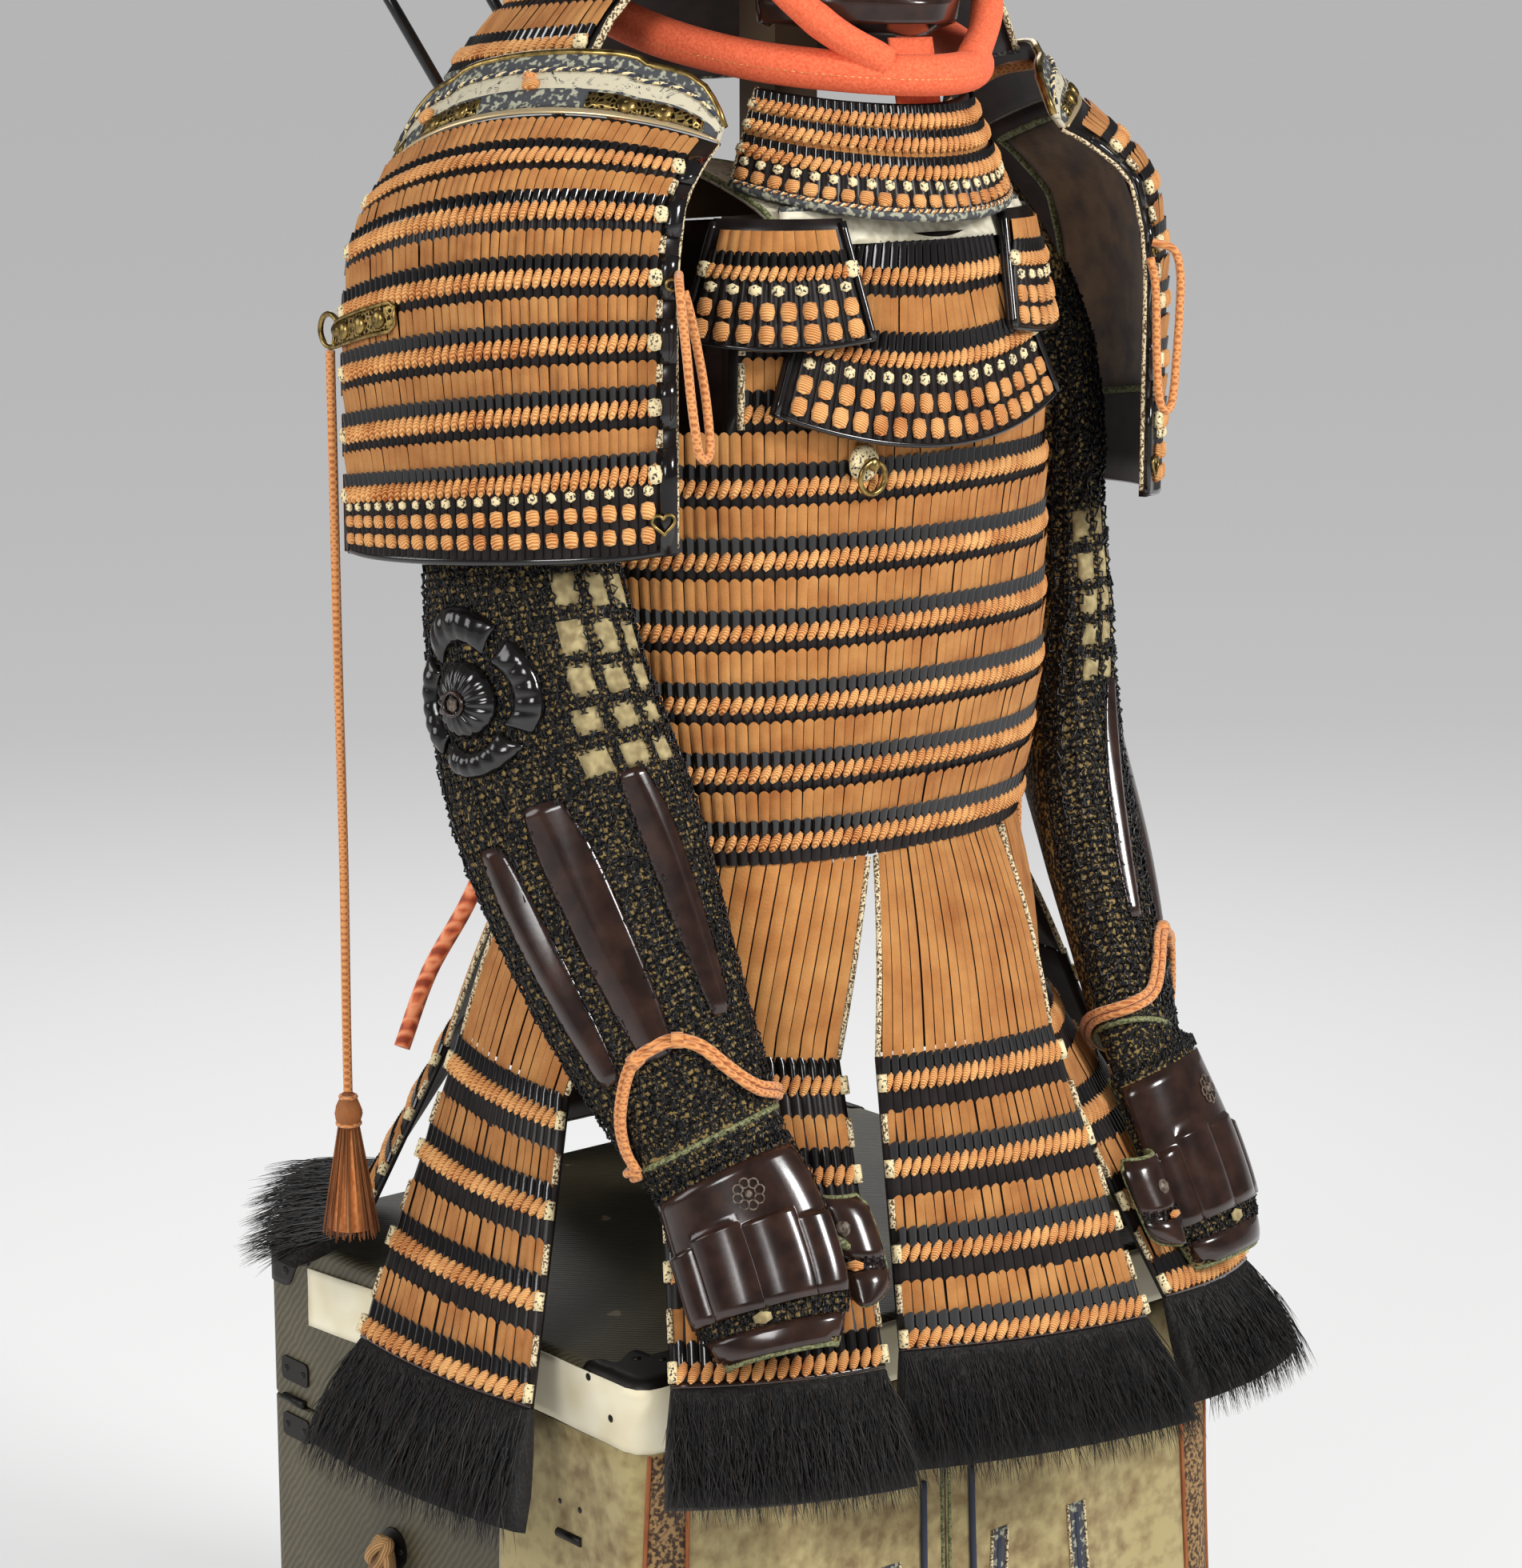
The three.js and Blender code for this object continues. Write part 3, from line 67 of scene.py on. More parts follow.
# Materials
def plainMaterial(name, colour, roughness=0.5, metallic=0.0, coat=0.0, sheen=0.0):
    made = bpy.data.materials.new(name)
    made.use_nodes = True
    shader = made.node_tree.nodes["Principled BSDF"]
    shader.inputs["Base Color"].default_value = (*colour, 1)
    shader.inputs["Roughness"].default_value = roughness
    shader.inputs["Metallic"].default_value = metallic
    shader.inputs["Coat Weight"].default_value = coat
    shader.inputs["Coat Roughness"].default_value = 0.12
    shader.inputs["Sheen Weight"].default_value = sheen
    return made


def coordinates(tree, source, scale):
    place = tree.nodes.new("ShaderNodeTexCoord")
    mapping = tree.nodes.new("ShaderNodeMapping")
    mapping.inputs["Scale"].default_value = scale
    tree.links.new(place.outputs[source], mapping.inputs["Vector"])
    return mapping.outputs["Vector"]


def ramp(tree, value, stops):
    node = tree.nodes.new("ShaderNodeValToRGB")
    while len(node.color_ramp.elements) < len(stops):
        node.color_ramp.elements.new(0.5)
    for element, (place, colour) in zip(node.color_ramp.elements, stops):
        element.position = place
        element.color = (*colour, 1)
    tree.links.new(value, node.inputs["Fac"])
    return node.outputs["Color"]


def noiseOf(tree, vector, scale, detail=3.0):
    node = tree.nodes.new("ShaderNodeTexNoise")
    node.inputs["Scale"].default_value = scale
    node.inputs["Detail"].default_value = detail
    tree.links.new(vector, node.inputs["Vector"])
    return node.outputs["Fac"]


def waveOf(tree, vector, scale, distortion=0.0, direction="X"):
    node = tree.nodes.new("ShaderNodeTexWave")
    node.bands_direction = direction
    node.inputs["Scale"].default_value = scale
    node.inputs["Distortion"].default_value = distortion
    node.inputs["Detail"].default_value = 1.0
    tree.links.new(vector, node.inputs["Vector"])
    return node.outputs["Fac"]


def voronoiOf(tree, vector, scale, feature="F1", output="Distance"):
    node = tree.nodes.new("ShaderNodeTexVoronoi")
    node.feature = feature
    node.inputs["Scale"].default_value = scale
    tree.links.new(vector, node.inputs["Vector"])
    return node.outputs[output]


def combine(tree, one, other, operation="MULTIPLY"):
    node = tree.nodes.new("ShaderNodeMath")
    node.operation = operation
    for socket, value in zip(node.inputs, (one, other)):
        if isinstance(value, (int, float)):
            socket.default_value = value
        else:
            tree.links.new(value, socket)
    return node.outputs[0]


def setColour(made, colour):
    made.node_tree.links.new(colour, made.node_tree.nodes["Principled BSDF"].inputs["Base Color"])


def setBump(made, height, distance, strength=1.0):
    tree = made.node_tree
    bump = tree.nodes.new("ShaderNodeBump")
    bump.inputs["Distance"].default_value = distance
    bump.inputs["Strength"].default_value = strength
    tree.links.new(height, bump.inputs["Height"])
    tree.links.new(bump.outputs["Normal"], tree.nodes["Principled BSDF"].inputs["Normal"])


# Silk lacing: fine threads that run along the lace, a little change of tone from lace to lace. The dark end is painted
# shade in the grooves between threads and the light end a painted highlight on the thread crests; the patches are
# random tone
def silk(name, base, dark, light, threads=5.0, fray=1.5):
    made = plainMaterial(name, base, roughness=0.82, sheen=0.08)
    made.node_tree.nodes["Principled BSDF"].inputs["Specular IOR Level"].default_value = 0.18
    tree = made.node_tree
    along = coordinates(tree, "UV", (1, 1, 1))
    solid = coordinates(tree, "Object", (1, 1, 1))
    thread = waveOf(tree, along, threads, distortion=fray)
    patch = noiseOf(tree, solid, 38.0, 2.0)
    fine = noiseOf(tree, solid, 900.0, 2.0)
    mixed = combine(tree, combine(tree, thread, 0.42), combine(tree, patch, 0.75), "ADD")
    mixed = combine(tree, mixed, combine(tree, fine, 0.2), "ADD")
    # Dark end: painted shade in the thread grooves; light end: painted highlight on the thread crests; patches and fine
    # noise: random tone
    setColour(made, ramp(tree, mixed, [(0.25, dark), (0.62, base), (0.98, light)]))
    setBump(made, combine(tree, thread, fine, "ADD"), 0.0005, 0.9)
    return made


def lacquer(name, colour, roughness, wear=0.0, coat=0.3):
    made = plainMaterial(name, colour, roughness=roughness, coat=coat)
    made.node_tree.nodes["Principled BSDF"].inputs["Specular IOR Level"].default_value = 0.5 - 0.3 * (coat < 0.1)
    tree = made.node_tree
    solid = coordinates(tree, "Object", (1, 1, 1))
    spots = noiseOf(tree, solid, 60.0, 4.0)
    lighter = tuple(min(1, part * (1.6 + wear)) for part in colour)
    setColour(made, ramp(tree, spots, [(0.35, colour), (0.75, lighter)]))
    setBump(made, noiseOf(tree, solid, 140.0, 2.0), 0.0002, 0.25)
    return made


def fleck(name, dark, light, scale, low=0.46, high=0.56, roughness=0.8, bump=0.0004):
    made = plainMaterial(name, dark, roughness=roughness)
    tree = made.node_tree
    solid = coordinates(tree, "Object", (1, 1, 1))
    spots = noiseOf(tree, solid, scale, 1.0)
    setColour(made, ramp(tree, spots, [(low, dark), (high, light)]))
    setBump(made, spots, bump, 0.8)
    return made


# Twisted silk of ropes and knots: fine slanted threads, with painted shade in the grooves between them and a painted
# highlight on their crests, and random patches of tone
def twisted(name, base, dark, light, size=0.0011):
    made = plainMaterial(name, base, roughness=0.82, sheen=0.08)
    made.node_tree.nodes["Principled BSDF"].inputs["Specular IOR Level"].default_value = 0.18
    tree = made.node_tree
    solid = coordinates(tree, "Object", (1, 1, 1))
    thread = waveOf(tree, solid, 0.314 / size, 0.8, "DIAGONAL")
    patch = noiseOf(tree, solid, 42.0, 2.0)
    mixed = combine(tree, combine(tree, thread, 0.45), combine(tree, patch, 0.85), "ADD")
    setColour(made, ramp(tree, mixed, [(0.3, dark), (0.62, base), (0.95, light)]))
    setBump(made, thread, 0.0005, 0.9)
    return made


# Printed leather: small curled leaves in blue-grey on a pale ground
def printedLeather(name, ground, print_, scale=90.0, share=0.55):
    made = plainMaterial(name, ground, roughness=0.75)
    tree = made.node_tree
    solid = coordinates(tree, "Object", (1, 1, 1))
    bend = tree.nodes.new("ShaderNodeTexNoise")
    bend.inputs["Scale"].default_value = 45.0
    tree.links.new(solid, bend.inputs["Vector"])
    shifted = tree.nodes.new("ShaderNodeVectorMath")
    shifted.operation = "MULTIPLY_ADD"
    shifted.inputs[1].default_value = (0.03, 0.03, 0.03)
    tree.links.new(bend.outputs["Color"], shifted.inputs[0])
    tree.links.new(solid, shifted.inputs[2])
    leaves = voronoiOf(tree, shifted.outputs[0], scale, "F2")
    veins = waveOf(tree, shifted.outputs[0], scale * 1.4, 4.0, "DIAGONAL")
    both = combine(tree, leaves, combine(tree, veins, 0.35), "ADD")
    setColour(made, ramp(tree, both, [(share, print_), (share + 0.12, ground)]))
    setBump(made, noiseOf(tree, solid, 300.0), 0.0002, 0.4)
    return made


def gilded(name, colour, roughness=0.34):
    made = plainMaterial(name, colour, roughness=roughness, metallic=1.0)
    tree = made.node_tree
    solid = coordinates(tree, "Object", (1, 1, 1))
    worn = noiseOf(tree, solid, 160.0, 4.0)
    darker = tuple(part * 0.35 for part in colour)
    setColour(made, ramp(tree, worn, [(0.36, darker), (0.58, colour)]))
    setBump(made, worn, 0.0003, 0.4)
    return made


def piercedMetal(name, colour):
    made = gilded(name, colour, 0.4)
    tree = made.node_tree
    holes = voronoiOf(tree, coordinates(tree, "Object", (1, 1, 1)), 260.0, "DISTANCE_TO_EDGE")
    # The openings of the openwork are painted near-black: painted shade in the holes
    setColour(made, ramp(tree, holes, [(0.10, colour), (0.16, (0.02, 0.014, 0.008))]))
    setBump(made, holes, -0.0006, 1.0)
    return made


def brocade(name, base, dark, scale=26.0):
    made = plainMaterial(name, base, roughness=0.85, sheen=0.3)
    tree = made.node_tree
    solid = coordinates(tree, "Object", (1, 1, 1))
    motif = voronoiOf(tree, solid, scale, "SMOOTH_F1")
    stain = noiseOf(tree, solid, 7.0, 4.0)
    weave = waveOf(tree, solid, 420.0, 0.5, "Z")
    leaf = noiseOf(tree, solid, scale * 1.6, 5.0)
    mixed = combine(tree, combine(tree, motif, 0.35), combine(tree, stain, 0.55), "ADD")
    mixed = combine(tree, mixed, combine(tree, leaf, 0.55), "ADD")
    setColour(made, ramp(tree, mixed, [(0.50, dark), (0.80, base)]))
    setBump(made, combine(tree, weave, noiseOf(tree, solid, 200.0), "ADD"), 0.0003, 0.5)
    return made


def braidSilk(name, base, dark, light, size=0.0022):
    made = plainMaterial(name, base, roughness=0.8, sheen=0.3)
    tree = made.node_tree
    solid = coordinates(tree, "Object", (1, 1, 1))
    one = waveOf(tree, solid, 0.16 / size, 0.6, "DIAGONAL")
    two = waveOf(tree, coordinates(tree, "Object", (-1, -1, 1)), 0.16 / size, 0.6, "DIAGONAL")
    both = combine(tree, one, two, "MAXIMUM")
    setColour(made, ramp(tree, both, [(0.2, dark), (0.7, base), (1.0, light)]))
    setBump(made, both, 0.0006, 0.9)
    return made


# Varnished paper and cloth over wood: a fine slanted grain, with pale worn spots
def grained(name, base, light, worn):
    made = plainMaterial(name, base, roughness=0.52)
    tree = made.node_tree
    solid = coordinates(tree, "Object", (1, 1, 1))
    grain = waveOf(tree, coordinates(tree, "Object", (1, 1, 0.8)), 95.0, 2.5, "DIAGONAL")
    patch = noiseOf(tree, solid, 9.0, 5.0)
    mixed = combine(tree, combine(tree, grain, 0.35), combine(tree, patch, 0.8), "ADD")
    chips = noiseOf(tree, solid, 34.0, 2.0)
    fade = ramp(tree, mixed, [(0.3, tuple(part * 0.6 for part in base)), (0.62, base), (0.95, light)])
    blend = tree.nodes.new("ShaderNodeMix")
    blend.data_type = "RGBA"
    mask = ramp(tree, chips, [(0.735, (0, 0, 0)), (0.755, (1, 1, 1))])
    tree.links.new(mask, blend.inputs["Factor"])
    tree.links.new(fade, blend.inputs[6])
    blend.inputs[7].default_value = (*worn, 1)
    setColour(made, blend.outputs[2])
    setBump(made, combine(tree, grain, noiseOf(tree, solid, 160.0), "ADD"), 0.0005, 0.55)
    return made


look = {
    "lace": silk("laceSilk", colours["lace"], colours["laceDarkAndShade"], colours["laceLightAndHighlight"]),
    # Rope: its dark and light ends are painted shade and painted highlight on the twisted threads
    "rope": twisted("ropeSilk", (0.68, 0.29, 0.09), colours["laceDarkAndShade"], (0.92, 0.52, 0.20)),
    "cream": fleck("creamSilk", (0.035, 0.030, 0.030), (0.80, 0.66, 0.38), 520.0, 0.36, 0.46),
    "head": lacquer("headLacquer", colours["lacquer"], 0.16),
    "body": lacquer("bodyLacquer", colours["body"], 0.38, 0.8, 0.05),
    "brown": lacquer("brownLacquer", colours["brown"], 0.2, 1.2),
    "inside": lacquer("insideLacquer", colours["brown"], 0.5, 1.0, 0.0),
    "edgeBraid": fleck("edgeBraid", (0.10, 0.055, 0.02), colours["cream"], 620.0, 0.44, 0.52),
    "mailCloth": fleck("mailCloth", (0.006, 0.005, 0.005), (0.30, 0.20, 0.065), 330.0, 0.50, 0.60),
    "mail": plainMaterial("mailIron", (0.012, 0.011, 0.012), 0.36, 0.4),
    "silkWindow": fleck("silkWindow", (0.24, 0.18, 0.08), (0.46, 0.37, 0.18), 150.0, 0.35, 0.7),
    "fur": plainMaterial("furHair", colours["fur"], 0.55),
    "furCore": fleck("furCore", (0.004, 0.0035, 0.004), (0.018, 0.014, 0.012), 420.0, 0.4, 0.7, 0.8, 0.001),
    "furTip": plainMaterial("furTip", (0.022, 0.015, 0.011), 0.45),
    "leather": printedLeather("printedLeather", colours["leatherPale"], colours["leatherBlue"], 230.0),
    "collar": fleck("collarLeather", colours["leatherPale"], (0.74, 0.69, 0.54), 120.0, 0.4, 0.6),
    "gilt": gilded("giltMetal", colours["gilt"]),
    "coral": braidSilk("coralSilk", colours["coral"], (0.32, 0.05, 0.015), (0.90, 0.34, 0.16), 0.004),
    "cordSilk": braidSilk("cordSilk", (0.60, 0.215, 0.055), (0.42, 0.13, 0.03), (0.74, 0.32, 0.10), 0.0012),
    "lining": fleck("greenLining", colours["lining"], (0.30, 0.30, 0.14), 420.0, 0.4, 0.6),
    "chest": fleck("chestGrain", colours["chest"], (0.085, 0.075, 0.045), 70.0, 0.35, 0.7, 0.6, 0.0006),
    "iron": plainMaterial("blackIron", colours["iron"], 0.45, 0.9),
    "band": fleck("creamBand", (0.70, 0.62, 0.42), colours["band"], 30.0, 0.3, 0.6, 0.95, 0.0001),
    "olive": brocade("oliveCloth", (0.43, 0.345, 0.15), (0.20, 0.125, 0.04), 75.0),
    "wood": plainMaterial("standWood", colours["wood"], 0.6),
    "piping": silk("orangePiping", colours["piping"], (0.30, 0.06, 0.02), (0.8, 0.3, 0.1)),
    "rod": lacquer("rodLacquer", colours["lacquer"], 0.2),
    "paleGilt": plainMaterial("paleGilt", (0.80, 0.62, 0.36), 0.32, 0.7),
    "pierced": piercedMetal("piercedGilt", colours["gilt"]),
    "leatherDark": fleck("blueLeather", colours["leatherBlue"], (0.34, 0.34, 0.25), 240.0, 0.52, 0.62),
    "twistDark": plainMaterial("twistDark", (0.03, 0.035, 0.06), 0.8),
    "olivePiping": fleck("greenBraid", (0.07, 0.08, 0.03), (0.24, 0.24, 0.11), 500.0, 0.4, 0.6),
    "tassel": silk("tasselSilk", (0.60, 0.19, 0.05), (0.25, 0.06, 0.015), (0.85, 0.36, 0.12), 2.0, 2.0),
    "wornBrown": fleck("wornBrown", (0.05, 0.03, 0.02), (0.16, 0.12, 0.09), 300.0, 0.4, 0.6, 0.45, 0.0002),
    "coralCloth": fleck("coralCloth", (0.70, 0.10, 0.035), (0.86, 0.17, 0.07), 520.0, 0.3, 0.7, 0.9, 0.0003),
    "chestCloth": grained("chestCloth", (0.078, 0.066, 0.036), (0.135, 0.115, 0.066), (0.30, 0.23, 0.14)),
    "meshBand": fleck("meshBand", (0.05, 0.022, 0.009), (0.34, 0.20, 0.075), 330.0, 0.42, 0.58, 0.7, 0.0008),
    "brocadeBrown": brocade("brownLining", (0.17, 0.085, 0.03), (0.045, 0.020, 0.010), 46.0),
    "handle": silk("handleRope", (0.36, 0.19, 0.07), (0.12, 0.06, 0.02), (0.55, 0.33, 0.14), 2.0, 1.0),
}
print("stage: materials")


# Meshes
def makeObject(name, points, faces, material, smooth=True, uvs=None):
    mesh = bpy.data.meshes.new(name)
    mesh.from_pydata([tuple(float(c) * toMetres for c in p) for p in points], [], faces)
    mesh.materials.append(material)
    if smooth:
        mesh.polygons.foreach_set("use_smooth", [True] * len(mesh.polygons))
    layer = mesh.uv_layers.new(name="UVMap")
    if uvs is not None:
        corners = np.empty(len(mesh.loops), dtype=np.int32)
        mesh.loops.foreach_get("vertex_index", corners)
        layer.data.foreach_set("uv", np.asarray(uvs, float)[corners].ravel())
    made = bpy.data.objects.new(name, mesh)
    bpy.context.scene.collection.objects.link(made)
    return made


def joinObjects(name, parts):
    parts = [part for part in parts if part is not None]
    base = parts[0]
    if len(parts) > 1:
        with bpy.context.temp_override(active_object=base, object=base, selected_editable_objects=parts):
            bpy.ops.object.join()
    base.name = name
    base.data.name = name
    return base


# A wall with two skins given as grids of points, closed along every open edge
def wallMesh(name, outer, inner, material, loop=False, keep=None, insideMaterial=None):
    columns = len(outer) if loop else len(outer) - 1
    rows = len(outer[0]) - 1
    high = rows + 1
    count = len(outer) * high
    points = [p for column in outer for p in column] + [p for column in inner for p in column]

    def at(i, j, skin=0):
        return skin * count + (i % len(outer)) * high + j

    def there(i, j):
        if loop:
            i %= columns
        return 0 <= i < columns and 0 <= j < rows and (keep is None or keep(i, j))

    faces, insides = [], []
    for i in range(columns):
        for j in range(rows):
            if not there(i, j):
                continue
            faces.append((at(i, j), at(i + 1, j), at(i + 1, j + 1), at(i, j + 1)))
            insides.append(len(faces))
            faces.append((at(i, j, 1), at(i, j + 1, 1), at(i + 1, j + 1, 1), at(i + 1, j, 1)))
            for di, dj, p, q in ((0, -1, (i, j), (i + 1, j)), (1, 0, (i + 1, j), (i + 1, j + 1)),
                                 (0, 1, (i + 1, j + 1), (i, j + 1)), (-1, 0, (i, j + 1), (i, j))):
                if not there(i + di, j + dj):
                    faces.append((at(*p), at(*p, 1), at(*q, 1), at(*q)))
    points = np.array(points, float)
    first = np.array([points[k] for k in faces[0]])
    normal = np.cross(first[1] - first[0], first[3] - first[0])
    if np.dot(normal, points[at(0, 0)] - points[at(0, 0, 1)]) < 0:
        faces = [tuple(reversed(face)) for face in faces]
    made = makeObject(name, points, faces, material)
    if insideMaterial:
        made.data.materials.append(insideMaterial)
        for k in insides:
            made.data.polygons[k].material_index = 1
    return made


def gridWall(name, surface, us, vs, out, thick, material, loop=False, keep=None, insideMaterial=None):
    outer = [[surface(u, v, out(u, v) if callable(out) else out) for v in vs] for u in us]
    inner = [[surface(u, v, -thick) for v in vs] for u in us]
    return wallMesh(name, outer, inner, material, loop, keep, insideMaterial)


def span(low, high, count):
    return [low + (high - low) * k / count for k in range(count + 1)]


# Upright ribs side by side over a surface: scale heads, scale bodies or laces
def ribs(name, surface, us, vLow, vTop, material, width=0.94, bulge=1.8, outLow=0.0, outTop=0.0,
         steps=2, tip=0.0, across=4, seed=1, uneven=0.0):
    rng = random.Random(seed)
    points, faces, uvs = [], [], []
    for i in range(len(us) - 1):
        middle, half = (us[i] + us[i + 1]) / 2, (us[i + 1] - us[i]) * width / 2
        lift = rng.uniform(-uneven, uneven)
        shift = rng.uniform(-0.5, 0.5) * uneven * half * 0.3
        shade = rng.random()
        base = len(points)
        low = vLow(middle) if callable(vLow) else vLow
        top = vTop(middle) if callable(vTop) else vTop
        for r in range(steps + 1):
            t = r / steps
            for c in range(across + 1):
                x = 2 * c / across - 1
                reach = low + (top - low) * (t - (tip * x * x if r == steps else 0))
                out = outLow + (outTop - outLow) * t + bulge * math.sqrt(max(0.0, 1.02 - x * x)) + lift
                points.append(surface(middle + x * half + shift * t, reach, out))
                uvs.append((x * 0.5 + shade, t * 0.4 + shade))
        wide = across + 1
        for r in range(steps):
            for c in range(across):
                a = base + r * wide + c
                faces.append((a, a + 1, a + wide + 1, a + wide))
    points = np.array(points)
    a, b, _, d = (points[k] for k in faces[0])
    outward = surface(us[0], vLow(us[0]) if callable(vLow) else vLow, 5) - surface(us[0], vLow(us[0]) if callable(vLow) else vLow, 0)
    if np.dot(np.cross(b - a, d - a), outward) < 0:
        faces = [tuple(reversed(face)) for face in faces]
    return makeObject(name, points, faces, material, uvs=uvs)


def tube(name, route, radius, material, sides=10, closed=False):
    route = np.array(route, float)
    count = len(route)
    points, faces, uvs = [], [], []
    side = None
    length = 0.0
    for i in range(count):
        ahead = route[(i + 1) % count] if closed or i < count - 1 else route[i]
        behind = route[i - 1] if closed or i > 0 else route[i]
        along = ahead - behind
        along /= np.linalg.norm(along)
        if side is None:
            guess = np.array((0, 0, 1.0)) if abs(along[2]) < 0.9 else np.array((1.0, 0, 0))
            side = np.cross(along, guess)
        side = side - along * np.dot(side, along)
        side /= np.linalg.norm(side)
        other = np.cross(along, side)
        length += np.linalg.norm(route[i] - route[i - 1]) if i else 0
        here = radius(i / (count - 1)) if callable(radius) else radius
        for k in range(sides):
            turn = 2 * math.pi * k / sides
            points.append(route[i] + here * (math.cos(turn) * side + math.sin(turn) * other))
            uvs.append((k / sides * 2, length * 0.1))
    last = count if closed else count - 1
    for i in range(last):
        for k in range(sides):
            a, b = i * sides + k, i * sides + (k + 1) % sides
            c, d = ((i + 1) % count) * sides + (k + 1) % sides, ((i + 1) % count) * sides + k
            faces.append((a, b, c, d))
    if not closed:
        faces.append(tuple(reversed(range(sides))))
        faces.append(tuple(range((count - 1) * sides, count * sides)))
    return makeObject(name, points, faces, material, uvs=uvs)


def smoothRoute(route, steps):
    points = [np.array(p, float) for p in route]
    padded = [2 * points[0] - points[1], *points, 2 * points[-1] - points[-2]]
    made = []
    for i in range(1, len(padded) - 2):
        for k in range(steps):
            t = k / steps
            p0, p1, p2, p3 = padded[i - 1:i + 3]
            made.append(0.5 * (2 * p1 + (p2 - p0) * t + (2 * p0 - 5 * p1 + 4 * p2 - p3) * t * t
                               + (3 * p1 - p0 - 3 * p2 + p3) * t ** 3))
    made.append(points[-1])
    return made


# Repeated elements: one node group lays an element on every point of a mesh
def layingGroup():
    group = bpy.data.node_groups.new("layElements", "GeometryNodeTree")
    face = group.interface
    face.new_socket("Points", in_out="INPUT", socket_type="NodeSocketGeometry")
    face.new_socket("Element", in_out="INPUT", socket_type="NodeSocketObject")
    face.new_socket("Finish", in_out="INPUT", socket_type="NodeSocketMaterial")
    face.new_socket("Unevenness", in_out="INPUT", socket_type="NodeSocketFloat")
    face.new_socket("Seed", in_out="INPUT", socket_type="NodeSocketInt")
    face.new_socket("Laid", in_out="OUTPUT", socket_type="NodeSocketGeometry")
    nodes, links = group.nodes, group.links
    given, result = nodes.new("NodeGroupInput"), nodes.new("NodeGroupOutput")
    element = nodes.new("GeometryNodeObjectInfo")
    lay = nodes.new("GeometryNodeInstanceOnPoints")
    turn, size = nodes.new("GeometryNodeInputNamedAttribute"), nodes.new("GeometryNodeInputNamedAttribute")
    for node, name in ((turn, "turn"), (size, "size")):
        node.data_type = "FLOAT_VECTOR"
        node.inputs["Name"].default_value = name
    euler = nodes.new("FunctionNodeEulerToRotation")
    vary = nodes.new("FunctionNodeRandomValue")
    vary.data_type = "FLOAT"
    low, high = nodes.new("ShaderNodeMath"), nodes.new("ShaderNodeMath")
    low.operation, high.operation = "SUBTRACT", "ADD"
    low.inputs[0].default_value = 1.0
    high.inputs[0].default_value = 1.0
    grown = nodes.new("ShaderNodeVectorMath")
    grown.operation = "SCALE"
    solid, finish = nodes.new("GeometryNodeRealizeInstances"), nodes.new("GeometryNodeSetMaterial")
    floats = [socket for socket in vary.inputs if socket.enabled and socket.type == "VALUE"]
    for source, target in (
        (given.outputs["Element"], element.inputs["Object"]),
        (given.outputs["Points"], lay.inputs["Points"]),
        (element.outputs["Geometry"], lay.inputs["Instance"]),
        (turn.outputs["Attribute"], euler.inputs["Euler"]),
        (euler.outputs["Rotation"], lay.inputs["Rotation"]),
        (given.outputs["Unevenness"], low.inputs[1]),
        (given.outputs["Unevenness"], high.inputs[1]),
        (low.outputs[0], floats[0]),
        (high.outputs[0], floats[1]),
        (given.outputs["Seed"], vary.inputs["Seed"]),
        (size.outputs["Attribute"], grown.inputs[0]),
        ([s for s in vary.outputs if s.enabled][0], grown.inputs["Scale"]),
        (grown.outputs[0], lay.inputs["Scale"]),
        (lay.outputs["Instances"], solid.inputs["Geometry"]),
        (solid.outputs["Geometry"], finish.inputs["Geometry"]),
        (given.outputs["Finish"], finish.inputs["Material"]),
        (finish.outputs["Geometry"], result.inputs["Laid"]),
    ):
        links.new(source, target)
    return group


laying = layingGroup()
socketOf = {item.name: item.identifier for item in laying.interface.items_tree if item.in_out == "INPUT"}


# spots is a list of (place, right, up, outward, size), with the three directions as unit vectors
def layElements(name, element, spots, material, unevenness=0.0, seed=1):
    mesh = bpy.data.meshes.new(name + "Points")
    mesh.from_pydata([tuple(spot[0] * toMetres) for spot in spots], [], [])
    turns, sizes = [], []
    for _, right, up, outward, size in spots:
        turns.extend(Matrix((right, up, outward)).transposed().to_euler())
        sizes.extend(size)
    for key, values in (("turn", turns), ("size", sizes)):
        attribute = mesh.attributes.new(key, "FLOAT_VECTOR", "POINT")
        attribute.data.foreach_set("vector", values)
    holder = bpy.data.objects.new(name, mesh)
    bpy.context.scene.collection.objects.link(holder)
    modifier = holder.modifiers.new("lay", "NODES")
    modifier.node_group = laying
    for key, value in (("Element", element), ("Finish", material), ("Unevenness", unevenness), ("Seed", seed)):
        modifier[socketOf[key]] = value
    holder.update_tag()
    graph = bpy.context.evaluated_depsgraph_get()
    laid = bpy.data.meshes.new_from_object(holder.evaluated_get(graph))
    holder.modifiers.remove(modifier)
    holder.data = laid
    laid.polygons.foreach_set("use_smooth", [True] * len(laid.polygons))
    if "UVMap" not in laid.uv_layers:
        laid.uv_layers.new(name="UVMap")
    return holder


def unit(vector):
    return vector / np.linalg.norm(vector)


# A spot on a surface between two places along it, as wide and tall as they are apart
def spotOn(surface, u0, u1, vLow, vTop, out, depth=1.0):
    middle = (u0 + u1) / 2
    right = surface(u1, (vLow + vTop) / 2, out) - surface(u0, (vLow + vTop) / 2, out)
    low, top = surface(middle, vLow, out), surface(middle, vTop, out)
    up = top - low
    outward = unit(np.cross(right, up))
    away = surface(middle, vLow, out + 5) - low
    if np.dot(outward, away) < 0:
        right, outward = -right, -outward
    up_ = unit(np.cross(outward, right))
    size = (np.linalg.norm(right), np.linalg.norm(up), depth)
    return (low + top) / 2, unit(right), up_, outward, size


